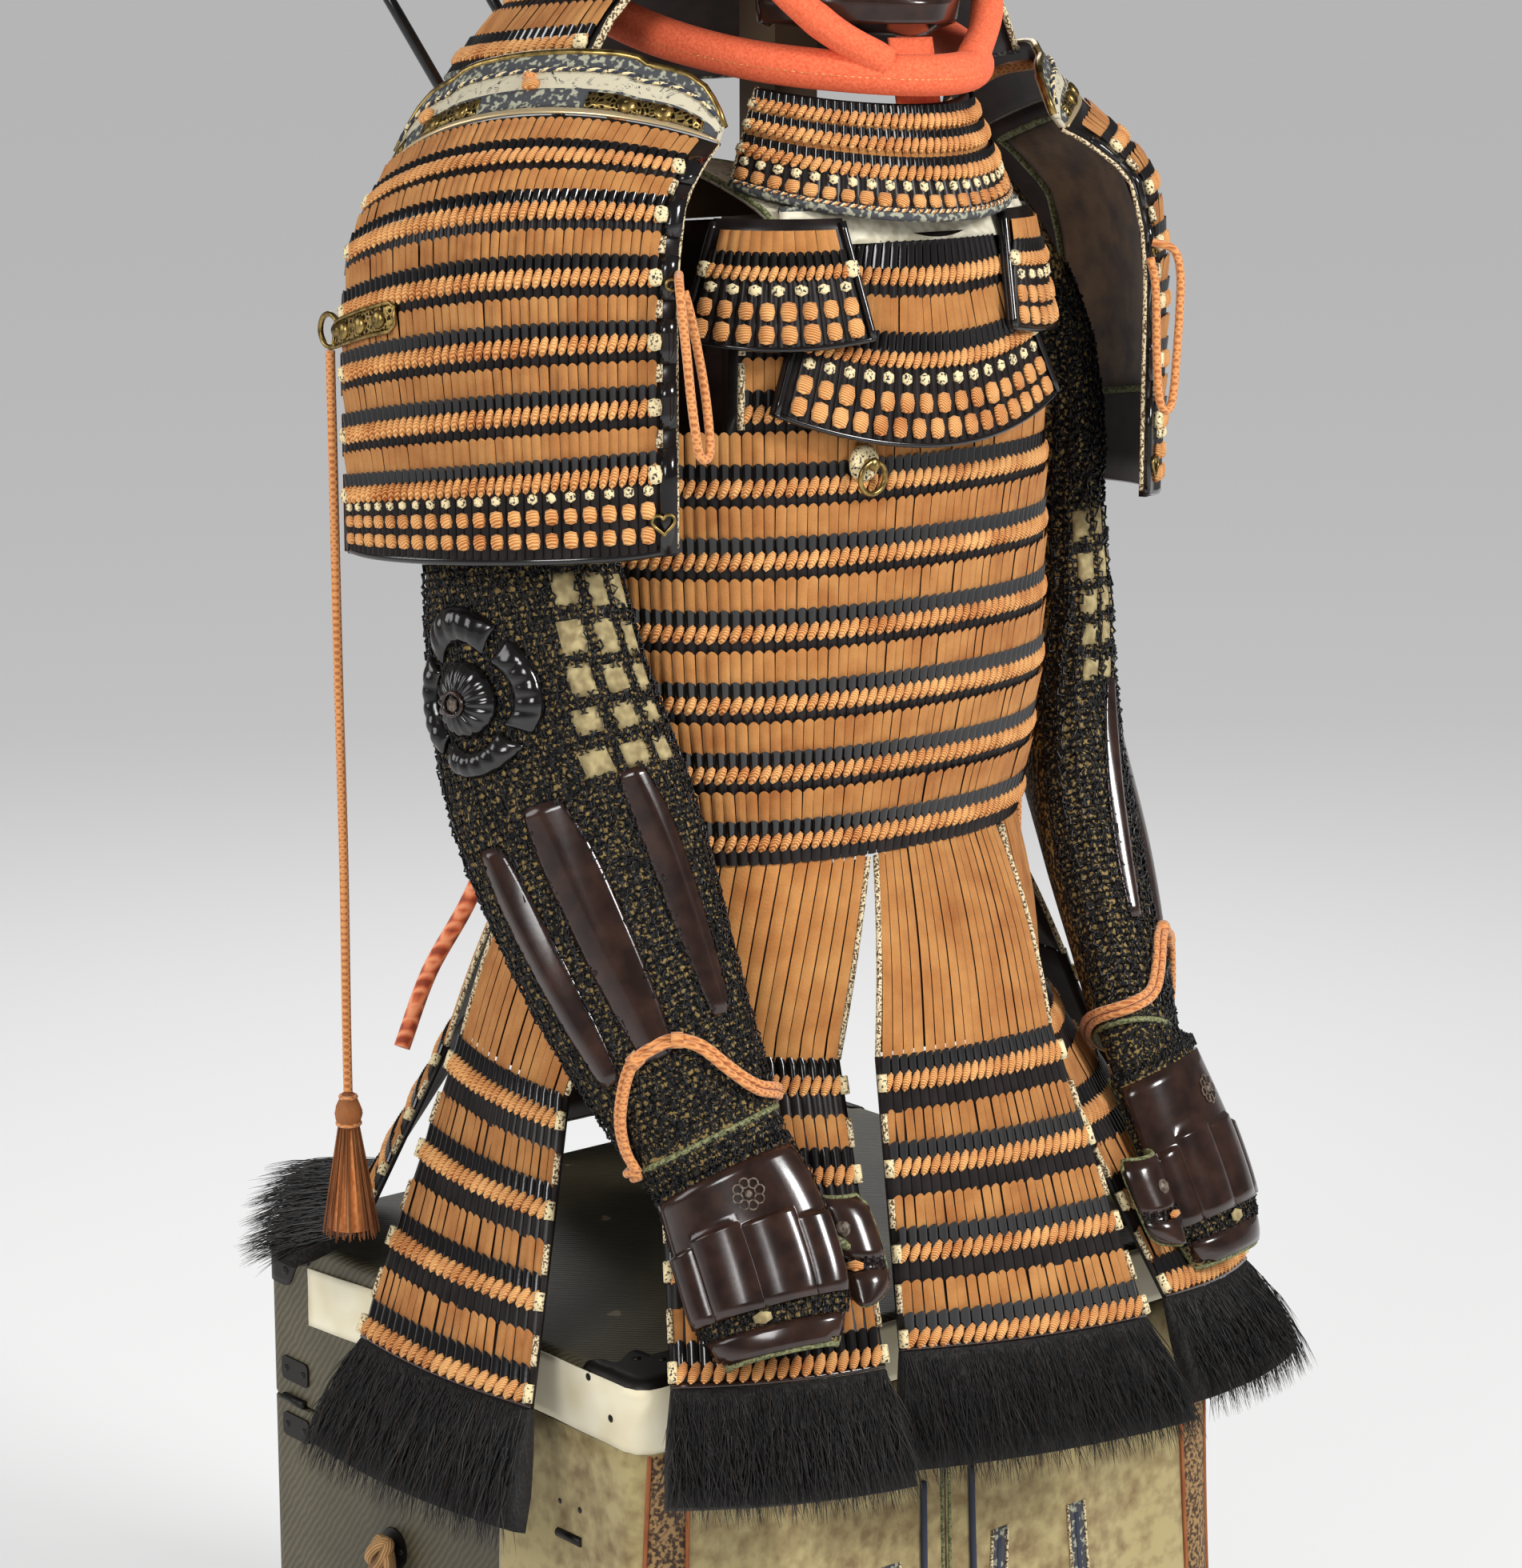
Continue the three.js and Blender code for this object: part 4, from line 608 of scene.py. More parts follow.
# Elements are a millimetre across before they are scaled
def lumpElement(name, sides, rings, power=1.0, lean=0.0, depth=1.0):
    points, faces, uvs = [], [], []
    for r in range(rings + 1):
        lift = math.pi * (r / rings - 0.5)
        for s in range(sides):
            turn = 2 * math.pi * s / sides
            flat = math.cos(lift) ** power
            x = 0.5 * flat * math.copysign(abs(math.cos(turn)) ** power, math.cos(turn))
            z = 0.5 * depth * flat * math.copysign(abs(math.sin(turn)) ** power, math.sin(turn))
            y = 0.5 * math.copysign(abs(math.sin(lift)) ** power, math.sin(lift))
            points.append((x + lean * y, y, z))
            uvs.append((x * 1.1 + 0.3 * y, y * 0.5 + 0.5))
    for r in range(rings):
        for s in range(sides):
            a, b = r * sides + s, r * sides + (s + 1) % sides
            faces.append((b, a, a + sides, b + sides))
    return makeObject(name, np.array(points), faces, look["rope"], uvs=uvs)


elements = {
    "tuft": lumpElement("tuftElement", 7, 4, lean=0.62),
    "knot": lumpElement("knotElement", 8, 4, power=0.62, lean=0.0),
    "bead": lumpElement("beadElement", 7, 3),
}


# Twisted rope along a row: slanted tufts that lie close together
def ropeRow(name, surface, us, vLow, vTop, out, material, grow=1.18, seed=3, depth=6.0, flip=False):
    spots = []
    for i in range(len(us) - 1):
        pair = (us[i + 1], us[i]) if flip else (us[i], us[i + 1])
        place, right, up, outward, size = spotOn(surface, *pair, vLow, vTop, out)
        spots.append((place, right, up, outward, (size[0] * 1.02, size[1] * grow, depth)))
    return layElements(name, elements["tuft"], spots, material, 0.05, seed)


def knotRow(name, surface, us, vLow, vTop, out, material, width=0.74, seed=3, depth=5.0, element="knot"):
    spots = []
    for i in range(len(us) - 1):
        place, right, up, outward, size = spotOn(surface, us[i], us[i + 1], vLow, vTop, out)
        spots.append((place, right, up, outward, (size[0] * width, size[1], depth)))
    return layElements(name, elements[element], spots, material, 0.06, seed)


# Camera, at the photograph's own angle
def lookFrom(place, forward, lens):
    data = bpy.data.cameras.new("photoCamera")
    data.lens = lens
    data.sensor_width = 36.0
    data.clip_end = 50.0
    made = bpy.data.objects.new("photoCamera", data)
    made.location = place
    made.rotation_euler = Vector(forward).to_track_quat("-Z", "Y").to_euler()
    bpy.context.scene.collection.objects.link(made)
    bpy.context.scene.camera = made
    return made


photoCamera = lookFrom((-1.808, -2.181, 1.494), (0.6288, 0.7493, -0.2079), 91.84)


# Cords that hang free: each one a curve at its real length
cordRoutes = {
    "sode_loop": {
        "diameter": 6.0, "steps": 14, "far": "object",
        "points": [(-212.9, -199.3, 1283), (-222, -211, 1278), (-224, -216, 1262), (-222, -218, 1235),
                   (-219, -219, 1205), (-216, -220, 1182), (-213, -220, 1170), (-208, -220, 1167),
                   (-204, -219, 1172), (-203, -217, 1186), (-204, -214, 1210), (-207, -210, 1238),
                   (-209, -206, 1258), (-209.6, -200.6, 1272)],
    },
    "side_cord": {
        "diameter": 6.5, "steps": 26, "far": "object",
        "points": [(-320.5, 36, 1223.7), (-320.5, 36, 1200), (-319.5, 37, 1120), (-318.5, 38, 1000),
                   (-317.5, 38, 880), (-317.5, 39, 760), (-317.5, 39, 712)],
    },
    "back_cord": {
        "diameter": 13.0, "steps": 15, "far": "bare",
        "points": [(-9, 124, 1191.2), (-9, 124.5, 1176), (-26, 136, 1130), (-36, 138, 1060), (-50, 150, 980),
                   (-70, 172, 880), (-96, 196, 790), (-124, 214, 730), (-152, 212, 676)],
    },
}


def cordCurve(name, route, diameter, material):
    data = bpy.data.curves.new(name, "CURVE")
    data.dimensions = "3D"
    data.bevel_depth = diameter * toMetres / 2
    data.bevel_resolution = 3
    data.use_fill_caps = True
    spline = data.splines.new("POLY")
    spline.points.add(len(route) - 1)
    for point, place in zip(spline.points, route):
        point.co = (*[c * toMetres for c in place], 1)
    data.materials.append(material)
    made = bpy.data.objects.new(name, data)
    bpy.context.scene.collection.objects.link(made)
    return made


def finishPiece(piece, nodes):
    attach(piece, "root")
    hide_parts(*nodes)
    return piece


def freeCords():
    for key, spec in cordRoutes.items():
        for side, sign in (("right", 1), ("left", -1)):
            route = [np.array((p[0] * sign, p[1], p[2])) for p in smoothRoute(spec["points"], 8)]
            silkLook, slot = (look["coral"], "coral") if key == "back_cord" else (look["cordSilk"], "lace")
            piece = cordCurve(f"{key}_{side}_look", route, spec["diameter"], silkLook)
            finishPiece(piece, [f"{key}_{side}"])


freeCords()
print("stage: cords")


# Cuirass
def hoop(degrees, a, b):
    s, c = math.sin(math.radians(degrees)), math.cos(math.radians(degrees))
    radius = (abs(s / a) ** cuirass["power"] + abs(c / b) ** cuirass["power"]) ** (-1 / cuirass["power"])
    return radius * s, axisY - radius * c


def douPoint(degrees, z, out):
    a = float(np.interp(z, hoops["z"], hoops["a"])) + out
    b = float(np.interp(z, hoops["z"], hoops["b"])) + out
    x, y = hoop(degrees, a, b)
    return np.array((x, y, z))


# Even steps along a row, by its own length
def evenSteps(surface, u0, u1, v, pitch):
    fine = span(u0, u1, 240)
    places = [surface(u, v, 4) for u in fine]
    lengths = np.concatenate(([0], np.cumsum([np.linalg.norm(b - a) for a, b in zip(places, places[1:])])))
    count = max(2, round(lengths[-1] / pitch))
    return [float(np.interp(lengths[-1] * k / count, lengths, fine)) for k in range(count + 1)]


lacedRow = {"pitch": 7.6, "body": 8.0, "rope": 11.5, "head": 11.0, "over": 3.0, "step": 48.5}


# One laced lame: bodies, rope, heads, and the laces that rise from it to the next lame
def lacedLame(name, surface, u0, u1, z, lace, seed, top=None, laceOut=(3.2, 5.6), row=lacedRow):
    us = evenSteps(surface, u0, u1, z + 15, row["pitch"])
    body, rope = z + row["body"], z + row["body"] + row["rope"]
    head = rope + row["head"]
    parts = [
        ribs(name + "Body", surface, us, z - 2, body + 2, look["body"], bulge=1.5, outLow=2.6, outTop=3.4, steps=1),
        ropeRow(name + "Rope", surface, us, body, rope, 5.2, look["rope"], seed=seed),
        ribs(name + "Heads", surface, us, rope - 2, head, look["head"], bulge=2.7, outLow=2.6, outTop=4.0,
             steps=3, tip=0.16, width=0.92),
    ]
    if lace:
        high = z + row["step"] + row["over"] if top is None else top
        parts.append(ribs(name + "Laces", surface, us, head - 3, high, look["lace"], bulge=1.5, outLow=laceOut[0],
                          outTop=laceOut[1], steps=2, tip=0.12, width=0.95, seed=seed, uneven=0.8))
    return parts


def edgeBraid(name, route, radius=2.6, material=None):
    return tube(name, route, radius, material or look["edgeBraid"], 8)


def cuirassHalf(node, middle, open_, seed):
    low, high = middle - 89.9, middle + 89.9
    rowTops = [cuirass["waist"] + k * cuirass["pitch"] for k in range(cuirass["rows"] + 1)]
    heights = sorted(set(span(cuirass["waist"], rowTops[6], 24) + span(rowTops[6], cuirass["top"], 8)))
    us = span(low, high, 60)
    open_ = 89.9 if open_ is None else open_

    def keep(i, j):
        across = abs((us[i] + us[i + 1]) / 2 - middle)
        return across < open_ or heights[j + 1] <= rowTops[6] + 0.1

    parts = [gridWall(node + "Shell", douPoint, us, heights, 2.6, 0, look["body"], keep=keep,
                      insideMaterial=look["inside"])]
    for k in range(cuirass["rows"]):
        wide = k < 6
        a, b = (low, high) if wide else (middle - open_ + 3, middle + open_ - 3)
        top = cuirass["top"] if k == cuirass["rows"] - 1 else None
        parts += lacedLame(f"{node}{k}", douPoint, a, b, rowTops[k], True, seed + k, top)
        for edge in (a, b):
            route = [douPoint(edge, z, 5) for z in span(rowTops[k] + 4, rowTops[k] + cuirass["pitch"] - 1, 4)]
            if not wide:
                parts.append(edgeBraid(f"{node}Edge{k}", route))
    return parts


def backRods():
    back = axisY + 143
    bracket = makeObject("bracket", [(x, y, z) for x in (-35, 95) for y in (back, back + 61) for z in (1193, 1207)],
                         [(0, 1, 3, 2), (4, 6, 7, 5), (0, 4, 5, 1), (2, 3, 7, 6), (0, 2, 6, 4), (1, 5, 7, 3)],
                         look["rod"], smooth=False)
    parts = [bracket]
    for x in (-14, 77):
        at = [np.array((x - 0.435 * rise, back + 52 + 0.371 * rise, 1196 + rise)) for rise in (0, 60, 120, 180, 240, 306)]
        parts.append(tube("rod", at, 4.4, look["rod"], 16))
        ferrule = [at[1] + (at[2] - at[1]) * t for t in (0.2, 0.35)]
        parts.append(tube("ferrule", ferrule, 5.4, look["gilt"], 16))
    return parts


finishPiece(joinObjects("douFrontLook", cuirassHalf("douFront", 0, 51, 10)), ["dou_front"])
finishPiece(joinObjects("douBackLook", cuirassHalf("douBack", 180, 64, 30) + backRods()), ["dou_back"])
print("stage: cuirass")

# Tassets, with their long laces from the waist, and the fur below them
tassets = {
    "front": {"waist": (-12.5, 40), "topLeft": (-86, -250, 757), "topRight": (66, -260, 756),
              "lowLeft": (-92, -283, 560), "lowRight": (116, -309, 544)},
    "front_left": {"waist": (41, 84), "topLeft": (84, -214, 752), "topRight": (186, -112, 748),
                   "lowLeft": (148, -297, 548), "lowRight": (296, -236, 528), "droop": 0.7},
    "side_left": {"waist": (85, 131), "topLeft": (240, -96, 745), "topRight": (236, 40, 745),
                  "lowLeft": (316, -136, 548), "lowRight": (308, 46, 545)},
    "rear": {"waist": (132, 189), "topLeft": (150, 150, 722), "topRight": (-30, 176, 722),
             "lowLeft": (150, 214, 583), "lowRight": (-42, 226, 583)},
    "rear_right": {"waist": (190, 247), "topLeft": (-84, 182, 716), "topRight": (-206, 78, 716),
                   "lowLeft": (-160, 220, 588), "lowRight": (-286, 78, 592)},
    "side_right": {"waist": (248, 294), "topLeft": (-234, 20, 742), "topRight": (-236, -104, 726),
                   "lowLeft": (-314, 34, 534), "lowRight": (-310, -158, 536)},
    "front_right": {"waist": (295, 346.5), "topLeft": (-176, -126, 752), "topRight": (-88, -214, 748),
                    "lowLeft": (-256, -240, 560), "lowRight": (-118, -296, 558)},
}
tassetRow = {"pitch": 0.29, "head": 0.058, "rope": 0.06, "body": 0.075, "bulge": 9, "lace": 7.4, "rows": 4}


def tassetSurface(spec):
    corner = {key: np.array(value, float) for key, value in spec.items() if isinstance(value, tuple) and len(value) == 3}

    def across(left, right, u):
        side = right - left
        normal = unit(np.array((side[1], -side[0], 0)))
        return left + side * u + normal * tassetRow["bulge"] * 4 * u * (1 - u)

    def at(u, level, out):
        azimuth = spec["waist"][0] + 0.4 + (spec["waist"][1] - spec["waist"][0] - 0.8) * u
        waist = douPoint(azimuth, cuirass["waist"] - 0.3, 1.5)
        top = across(corner["topLeft"], corner["topRight"], u)
        low = across(corner["lowLeft"], corner["lowRight"], u)
        if level < 0:
            point = waist + (top - waist) * (1 + level)
            flare = unit(np.array((top[0], top[1] - axisY, 0)))
            point = point + flare * 5 * math.sin(-level * math.pi)
            side = corner["topRight"] - corner["topLeft"]
        else:
            point = top + (low - top) * level
            side = corner["lowRight"] - corner["lowLeft"]
        side = unit(side)
        normal = unit(np.cross(side, unit(low - top)))
        if np.dot(normal, np.array((side[1], -side[0], 0))) < 0:
            normal = -normal
        if level <= -1:
            return douPoint(azimuth, cuirass["waist"] - 0.3, 1.5 + out)
        return point + normal * out

    return at


def tassetPieces(name, spec, seed):
    surface = tassetSurface(spec)
    us = evenSteps(surface, 0.012, 0.988, 0.5, lacedRow["pitch"])
    long = evenSteps(surface, 0.02, 0.98, 0.0, tassetRow["lace"] + 1.0)
    rows = [0.0, 0.15, 0.29, 0.44, 0.58, 0.73, 0.87, 1.0]
    parts = [
        gridWall(name + "Shell", surface, span(0, 1, 12), rows, 0.6, 2.8, look["body"], insideMaterial=look["inside"]),
        ribs(name + "Hangers", surface, long, -1.0, 0.012, look["lace"], bulge=1.3, outLow=-1.2, outTop=0.6,
             steps=8, width=0.9, seed=seed, uneven=0.6),
        # A dark sheet just behind the hanging laces: painted shade of the armour's inside, seen between them
        gridWall(name + "Backing", surface, span(0.03, 0.97, 8), span(-0.97, -0.02, 6), -1.6, 2.6, look["inside"]),
    ]
    for edge in (0.006, 0.994):
        parts.append(edgeBraid(name + "HangerEdge", [surface(edge, v, -0.4) for v in span(-0.97, 0, 8)], 2.0))
    for k in range(tassetRow["rows"]):
        top = k * tassetRow["pitch"]
        head, rope = top + tassetRow["head"], top + tassetRow["head"] + tassetRow["rope"]
        last = k == tassetRow["rows"] - 1
        body = 0.997 if last else rope + tassetRow["body"]
        parts += [
            ribs(f"{name}Heads{k}", surface, us, head + 0.01, top - 0.005, look["head"], bulge=2.7, outLow=1.0,
                 outTop=2.2, steps=3, tip=0.16, width=0.92),
            ropeRow(f"{name}Rope{k}", surface, us, rope, head, 3.0, look["rope"], seed=seed + k),
        ]
        if last:
            parts.append(gridWall(name + "Band", surface, span(0, 1, 12), [rope - 0.004, 1.0], 1.6, 2.8, look["brown"]))
            continue
        parts.append(ribs(f"{name}Body{k}", surface, us, body, rope - 0.01, look["body"], bulge=1.5, outLow=0.6,
                          outTop=1.4, steps=1))
        nextTop = top + tassetRow["pitch"]
        parts.append(ribs(f"{name}Laces{k}", surface, us, nextTop + 0.012, body - 0.014, look["lace"], bulge=1.4,
                          outLow=0.6, outTop=1.6, steps=3, tip=0.1, width=0.88, seed=seed + 9 + k, uneven=1.0))
        for edge in (0.004, 0.996):
            braid = [surface(edge, v, 1.6) for v in span(body, nextTop, 3)]
            parts.append(edgeBraid(f"{name}Edge{k}", braid, 2.2))
    for k in range(tassetRow["rows"]):
        top = k * tassetRow["pitch"] + tassetRow["head"]
        for edge in (0.004, 0.996):
            parts.append(edgeBraid(f"{name}Knot{k}", [surface(edge, v, 3.0) for v in (top, top + 0.058)], 3.4,
                                   look["cream"]))
    return parts


# A lock of fur: a thin three-sided hair that bends towards its tip
def hairElement():
    points, faces = [], []
    for r, (y, z, wide) in enumerate(((0, 0, 0.5), (-0.5, 0.06, 0.38), (-1, 0.03, 0.05))):
        for s in range(3):
            turn = 2 * math.pi * s / 3
            points.append((wide * math.cos(turn), y, z + wide * math.sin(turn) * 0.02))
        if r:
            for s in range(3):
                a, b = (r - 1) * 3 + s, (r - 1) * 3 + (s + 1) % 3
                faces.append((a, b, b + 3, a + 3))
    return makeObject("hairElement", np.array(points), faces, look["fur"])


elements["hair"] = hairElement()
furDepth = {"drop": [0, 30, 64, 90], "out": [0.5, 11, 16, 11], "back": [-3, -4, -4, 0], "grow": [0, 4, 7, 8]}


def furPieces(name, spec, seed):
    surface = tassetSurface(spec)
    side = unit(surface(1, 1, 0) - surface(0, 1, 0))
    lying = name.startswith("rear")
    rng = random.Random(seed)

    def hang(u):
        down = unit(surface(u, 1, 0) - surface(u, 0.6, 0))
        if lying:
            down[2] *= 0.12
        down[2] -= spec.get("droop", 0)
        return unit(down)

    def body(u, drop, out):
        grow = float(np.interp(drop, furDepth["drop"], furDepth["grow"]))
        point = surface(u, 1, out) + hang(u) * drop * (0.7 if lying else 1)
        return point + side * grow * (2 * u - 1)

    drops = [0.4, 8, 30, 56, 80]
    outer = [[body(u, d, 0.72 * float(np.interp(d, furDepth["drop"], furDepth["out"]))) for d in drops]
             for u in span(0, 1, 10)]
    inner = [[body(u, d, float(np.interp(d, furDepth["drop"], furDepth["back"]))) for d in drops] for u in span(0, 1, 10)]
    core = wallMesh(name + "FurCore", outer, inner, look["furCore"])
    spots = {"fur": [], "furTip": []}
    for k in range(1750):
        u, drop = rng.uniform(0.0, 1.0), rng.choice((1, 2, 6, 16, 28, 40, 52)) + rng.uniform(0, 8)
        out = float(np.interp(drop, furDepth["drop"], furDepth["out"])) * rng.uniform(0.55, 1.08)
        start = body(u, drop, out)
        down = hang(u) + side * rng.gauss(0, 0.19) + (body(u, drop, out + 5) - start) / 5 * rng.gauss(0.05, 0.12)
        down = unit(down)
        outward = unit(np.cross(side, -down) if np.dot(np.cross(side, -down), body(u, drop, 9) - body(u, drop, 0)) > 0
                       else np.cross(-down, side))
        right = unit(np.cross(-down, outward))
        length = min(rng.uniform(26, 52), 97 - drop)
        wide = rng.uniform(0.7, 1.25)
        group = "furTip" if rng.random() < 0.22 else "fur"
        spots[group].append((start, right, -down, outward, (wide, length, length)))
    return [core] + [layElements(name + key, elements["hair"], group, look[key], 0.0, seed)
                     for key, group in spots.items()]


for seed, (name, spec) in enumerate(tassets.items()):
    piece = joinObjects(f"tasset_{name}_look", tassetPieces(name, spec, 50 + 10 * seed))
    finishPiece(piece, [f"tasset_{name}"])
    piece = joinObjects(f"fur_{name}_look", furPieces(name, spec, 150 + seed))
    finishPiece(piece, [f"fur_{name}"])
print("stage: tassets and fur")


# Shoulder guards
shoulder = {
    "x": -120.6, "y": -18.4, "radius": 200, "middle": 205, "span": 75, "wall": 4,
    "first": 65, "lames": 6, "step": 43.8, "body": 9, "rope": 11.5, "head": 10, "pitch": 6.2, "over": 3,
    "rows": [
        (1096, 14, 0, 0), (1143.5, 31, 3, 0), (1155, 31, 3, 0), (1185, 33, 6, 0), (1196, 33, 6, 0), (1226.5, 33, 9, 0),
        (1238, 33, 10, 0), (1268, 33, 13, 2), (1279, 33, 14, 4), (1308, 33, 18, 12), (1318, 32, 20, 20),
        (1337, 28, 24, 42), (1351, 22, 28, 64), (1393, 20, 26, 98),
    ],
}
shoulderRows = np.array(shoulder["rows"], float)


def shoulderRow(u, row, out):
    z, tilt, arch, lean = (float(np.interp(row, range(14), shoulderRows[:, k])) for k in range(4))
    angle = math.radians(shoulder["middle"] + (u - 0.5) * shoulder["span"])
    inward = math.radians(shoulder["middle"])
    radius = shoulder["radius"] + out
    x = shoulder["x"] + radius * math.cos(angle) - lean * math.cos(inward)
    y = shoulder["y"] + radius * math.sin(angle) - lean * math.sin(inward)
    return np.array((x, y, z + tilt * (u - 0.5) + arch * (1 - (2 * u - 1) ** 2)))


shoulderRises = [0.0]
for row in range(13):
    stretch = shoulderRow(0.5, row + 1, 0) - shoulderRow(0.5, row, 0)
    shoulderRises.append(shoulderRises[-1] + float(np.linalg.norm(stretch)))


def shoulderPoint(u, height, out):
    return shoulderRow(u, float(np.interp(height, shoulderRises, range(14))), out)


def mirrorOf(surface):
    return lambda u, v, out: surface(u, v, out) * np.array((-1, 1, 1))


# Small knots at chosen places of a surface, each as wide as given in millimetres
def knotsAt(name, surface, places, wide, tall, out, material, element="knot", depth=6.0):
    spots = []
    for u, v in places:
        reach = np.linalg.norm(surface(u + 0.01, v, out) - surface(u, v, out)) / 0.01
        place, right, up, outward, size = spotOn(surface, u - wide / 2 / reach, u + wide / 2 / reach,
                                                 v - tall / 2, v + tall / 2, out)
        spots.append((place, right, up, outward, (wide, size[1], depth)))
    return layElements(name, elements[element], spots, material, 0.08, 5)


# Rows of cross knots: squares of silk tied over the ribs
def crossKnots(name, surface, u0, u1, low, top, pitch, out, material, width=0.76, element="knot", seed=3):
    us = evenSteps(surface, u0, u1, (low + top) / 2, pitch)
    return knotRow(name, surface, us, low, top, out, material, width, seed, 5.0, element)


def eyelet(name, surface, u, v, out, radius, wire, material):
    place, right, up, outward, _ = spotOn(surface, u - 0.01, u + 0.01, v - 1, v + 1, out)
    turns = [2 * math.pi * k / 16 for k in range(16)]
    return tube(name, [place + radius * (math.cos(t) * right + math.sin(t) * up) for t in turns], wire, material,
                6, closed=True)


def heartRing(name, surface, u, v, out, size):
    place, right, up, outward, _ = spotOn(surface, u - 0.01, u + 0.01, v - 1, v + 1, out)
    route = []
    for k in range(28):
        t = 2 * math.pi * k / 28
        x = 16 * math.sin(t) ** 3
        y = 13 * math.cos(t) - 5 * math.cos(2 * t) - 2 * math.cos(3 * t) - math.cos(4 * t)
        route.append(place + (x * right + y * up) * size / 32)
    return tube(name, route, 1.2, look["gilt"], 6, closed=True)


def shoulderPieces(name, surface, seed):
    tops = [shoulder["first"] + k * shoulder["step"] for k in range(shoulder["lames"])]
    ceiling = shoulderRises[12] - 0.6
    levels = [0.0, 22.0, 44.0]
    for top in tops:
        levels += [top - 0.1, top + 0.1, min(top + 13.8, ceiling)]
    levels[-1] = ceiling

    def rising(u, v):
        return 0.4 + 2.2 * (((v - shoulder["first"]) % shoulder["step"]) / shoulder["step"])

    parts = [gridWall(name + "Shell", surface, span(0, 1, 22), levels, rising, shoulder["wall"], look["body"],
                      insideMaterial=look["inside"])]
    for k, top in enumerate(tops):
        low = top - 30.5
        if k:
            high = ceiling - 0.5 if k == shoulder["lames"] - 1 else top + 13.8 + shoulder["over"]
            parts += lacedLame(f"{name}{k}", surface, 0.022, 0.952, low, True, seed + k, high, row=shoulder)
        else:
            us = evenSteps(surface, 0.022, 0.952, 30, shoulder["pitch"])
            parts += [
                ribs(name + "LastBody", surface, us, 2, 45.5, look["body"], bulge=1.5, outLow=1.6, outTop=3.0, steps=4),
                crossKnots(name + "KnotsA", surface, 0.022, 0.952, 8.5, 19, 12.4, 3.8, look["rope"], seed=seed),
                crossKnots(name + "KnotsB", surface, 0.022, 0.952, 23, 33.5, 12.4, 4.2, look["rope"], seed=seed + 1),
                crossKnots(name + "KnotsC", surface, 0.022, 0.952, 36.5, 43.5, 12.4, 4.6, look["cream"], 0.6, "bead"),
                ropeRow(name + "LastRope", surface, us, 44, 55.5, 5.2, look["rope"], seed=seed + 2),
                ribs(name + "LastHeads", surface, us, 54, 65, look["head"], bulge=2.7, outLow=2.6, outTop=4.0,
                     steps=3, tip=0.16, width=0.92),
                ribs(name + "LastLaces", surface, us, 62, 81.5, look["lace"], bulge=1.5, outLow=3.0, outTop=5.4,
                     steps=3, tip=0.12, width=1.0, seed=seed, uneven=0.5),
            ]
        first = 2.0 if k == 0 else low
        for a, b in ((0.0, 0.02), (0.958, 1.0)):
            parts.append(gridWall(f"{name}End{k}", surface, span(a, b, 2), span(first, top, 3), 3.8, -0.2, look["head"]))
        mid = top - 15.5
        parts.append(knotsAt(f"{name}Ends{k}", surface, [(0.03, mid), (0.945, mid)], 9.0, 11.5, 5.6, look["cream"]))
        if k < shoulder["lames"] - 1:
            route = [surface(0.956, v, 3.8) for v in span(top + 1, top + 13, 3)]
            parts.append(edgeBraid(f"{name}Side{k}", route, 2.5))
    parts.append(edgeBraid(name + "Front", [surface(1.003, v, -2) for v in span(4, ceiling, 16)], 1.5))
    rim = [surface(u, 1.0 + 4 * abs(2 * u - 1) ** 8, 0.6) for u in span(0, 1, 24)]
    parts.append(tube(name + "Rim", rim, 3.0, look["head"], 8))
    inner = shoulder["wall"] + 0.5

    def under(u, v, out):
        return surface(u, v, -inner - out)

    low, high = 70, ceiling - 16
    parts.append(gridWall(name + "Lining", under, span(0.12, 0.90, 20), span(low, high, 12), 1.0, -0.1,
                          look["brocadeBrown"]))
    route = [under(0.90, v, 1.6 + 0.9 * math.sin(v * 0.5)) for v in span(low, high, 60)]
    route += [under(u, high, 1.6 + 0.9 * math.sin(u * 120)) for u in span(0.90, 0.12, 60)[1:]]
    route += [under(0.12, v, 1.6) for v in span(high, low, 40)[1:]]
    route += [under(u, low, 1.6 + 0.9 * math.sin(u * 120)) for u in span(0.12, 0.90, 60)[1:-1]]
    parts.append(tube(name + "Ruffle", route, 2.6, look["olivePiping"], 8, closed=True))
    parts.append(heartRing(name + "Heart", surface, 0.965, 20, 5.2, 15))
    parts.append(eyelet(name + "Eyelet", surface, 0.985, float(np.interp(6.73, range(14), shoulderRises)), 4.4, 3.6,
                        1.1, look["gilt"]))
    return parts


# Top plate: a cusped leather plate with a gilt rim, gilt strips and a twisted cord
plate = {"places": [0, 0.42, 0.50, 0.56, 0.62, 0.74, 0.86, 0.94, 1.0],
         "heights": [1, 1.0, 0.97, 0.87, 0.88, 0.86, 0.72, 0.48, 0.24]}


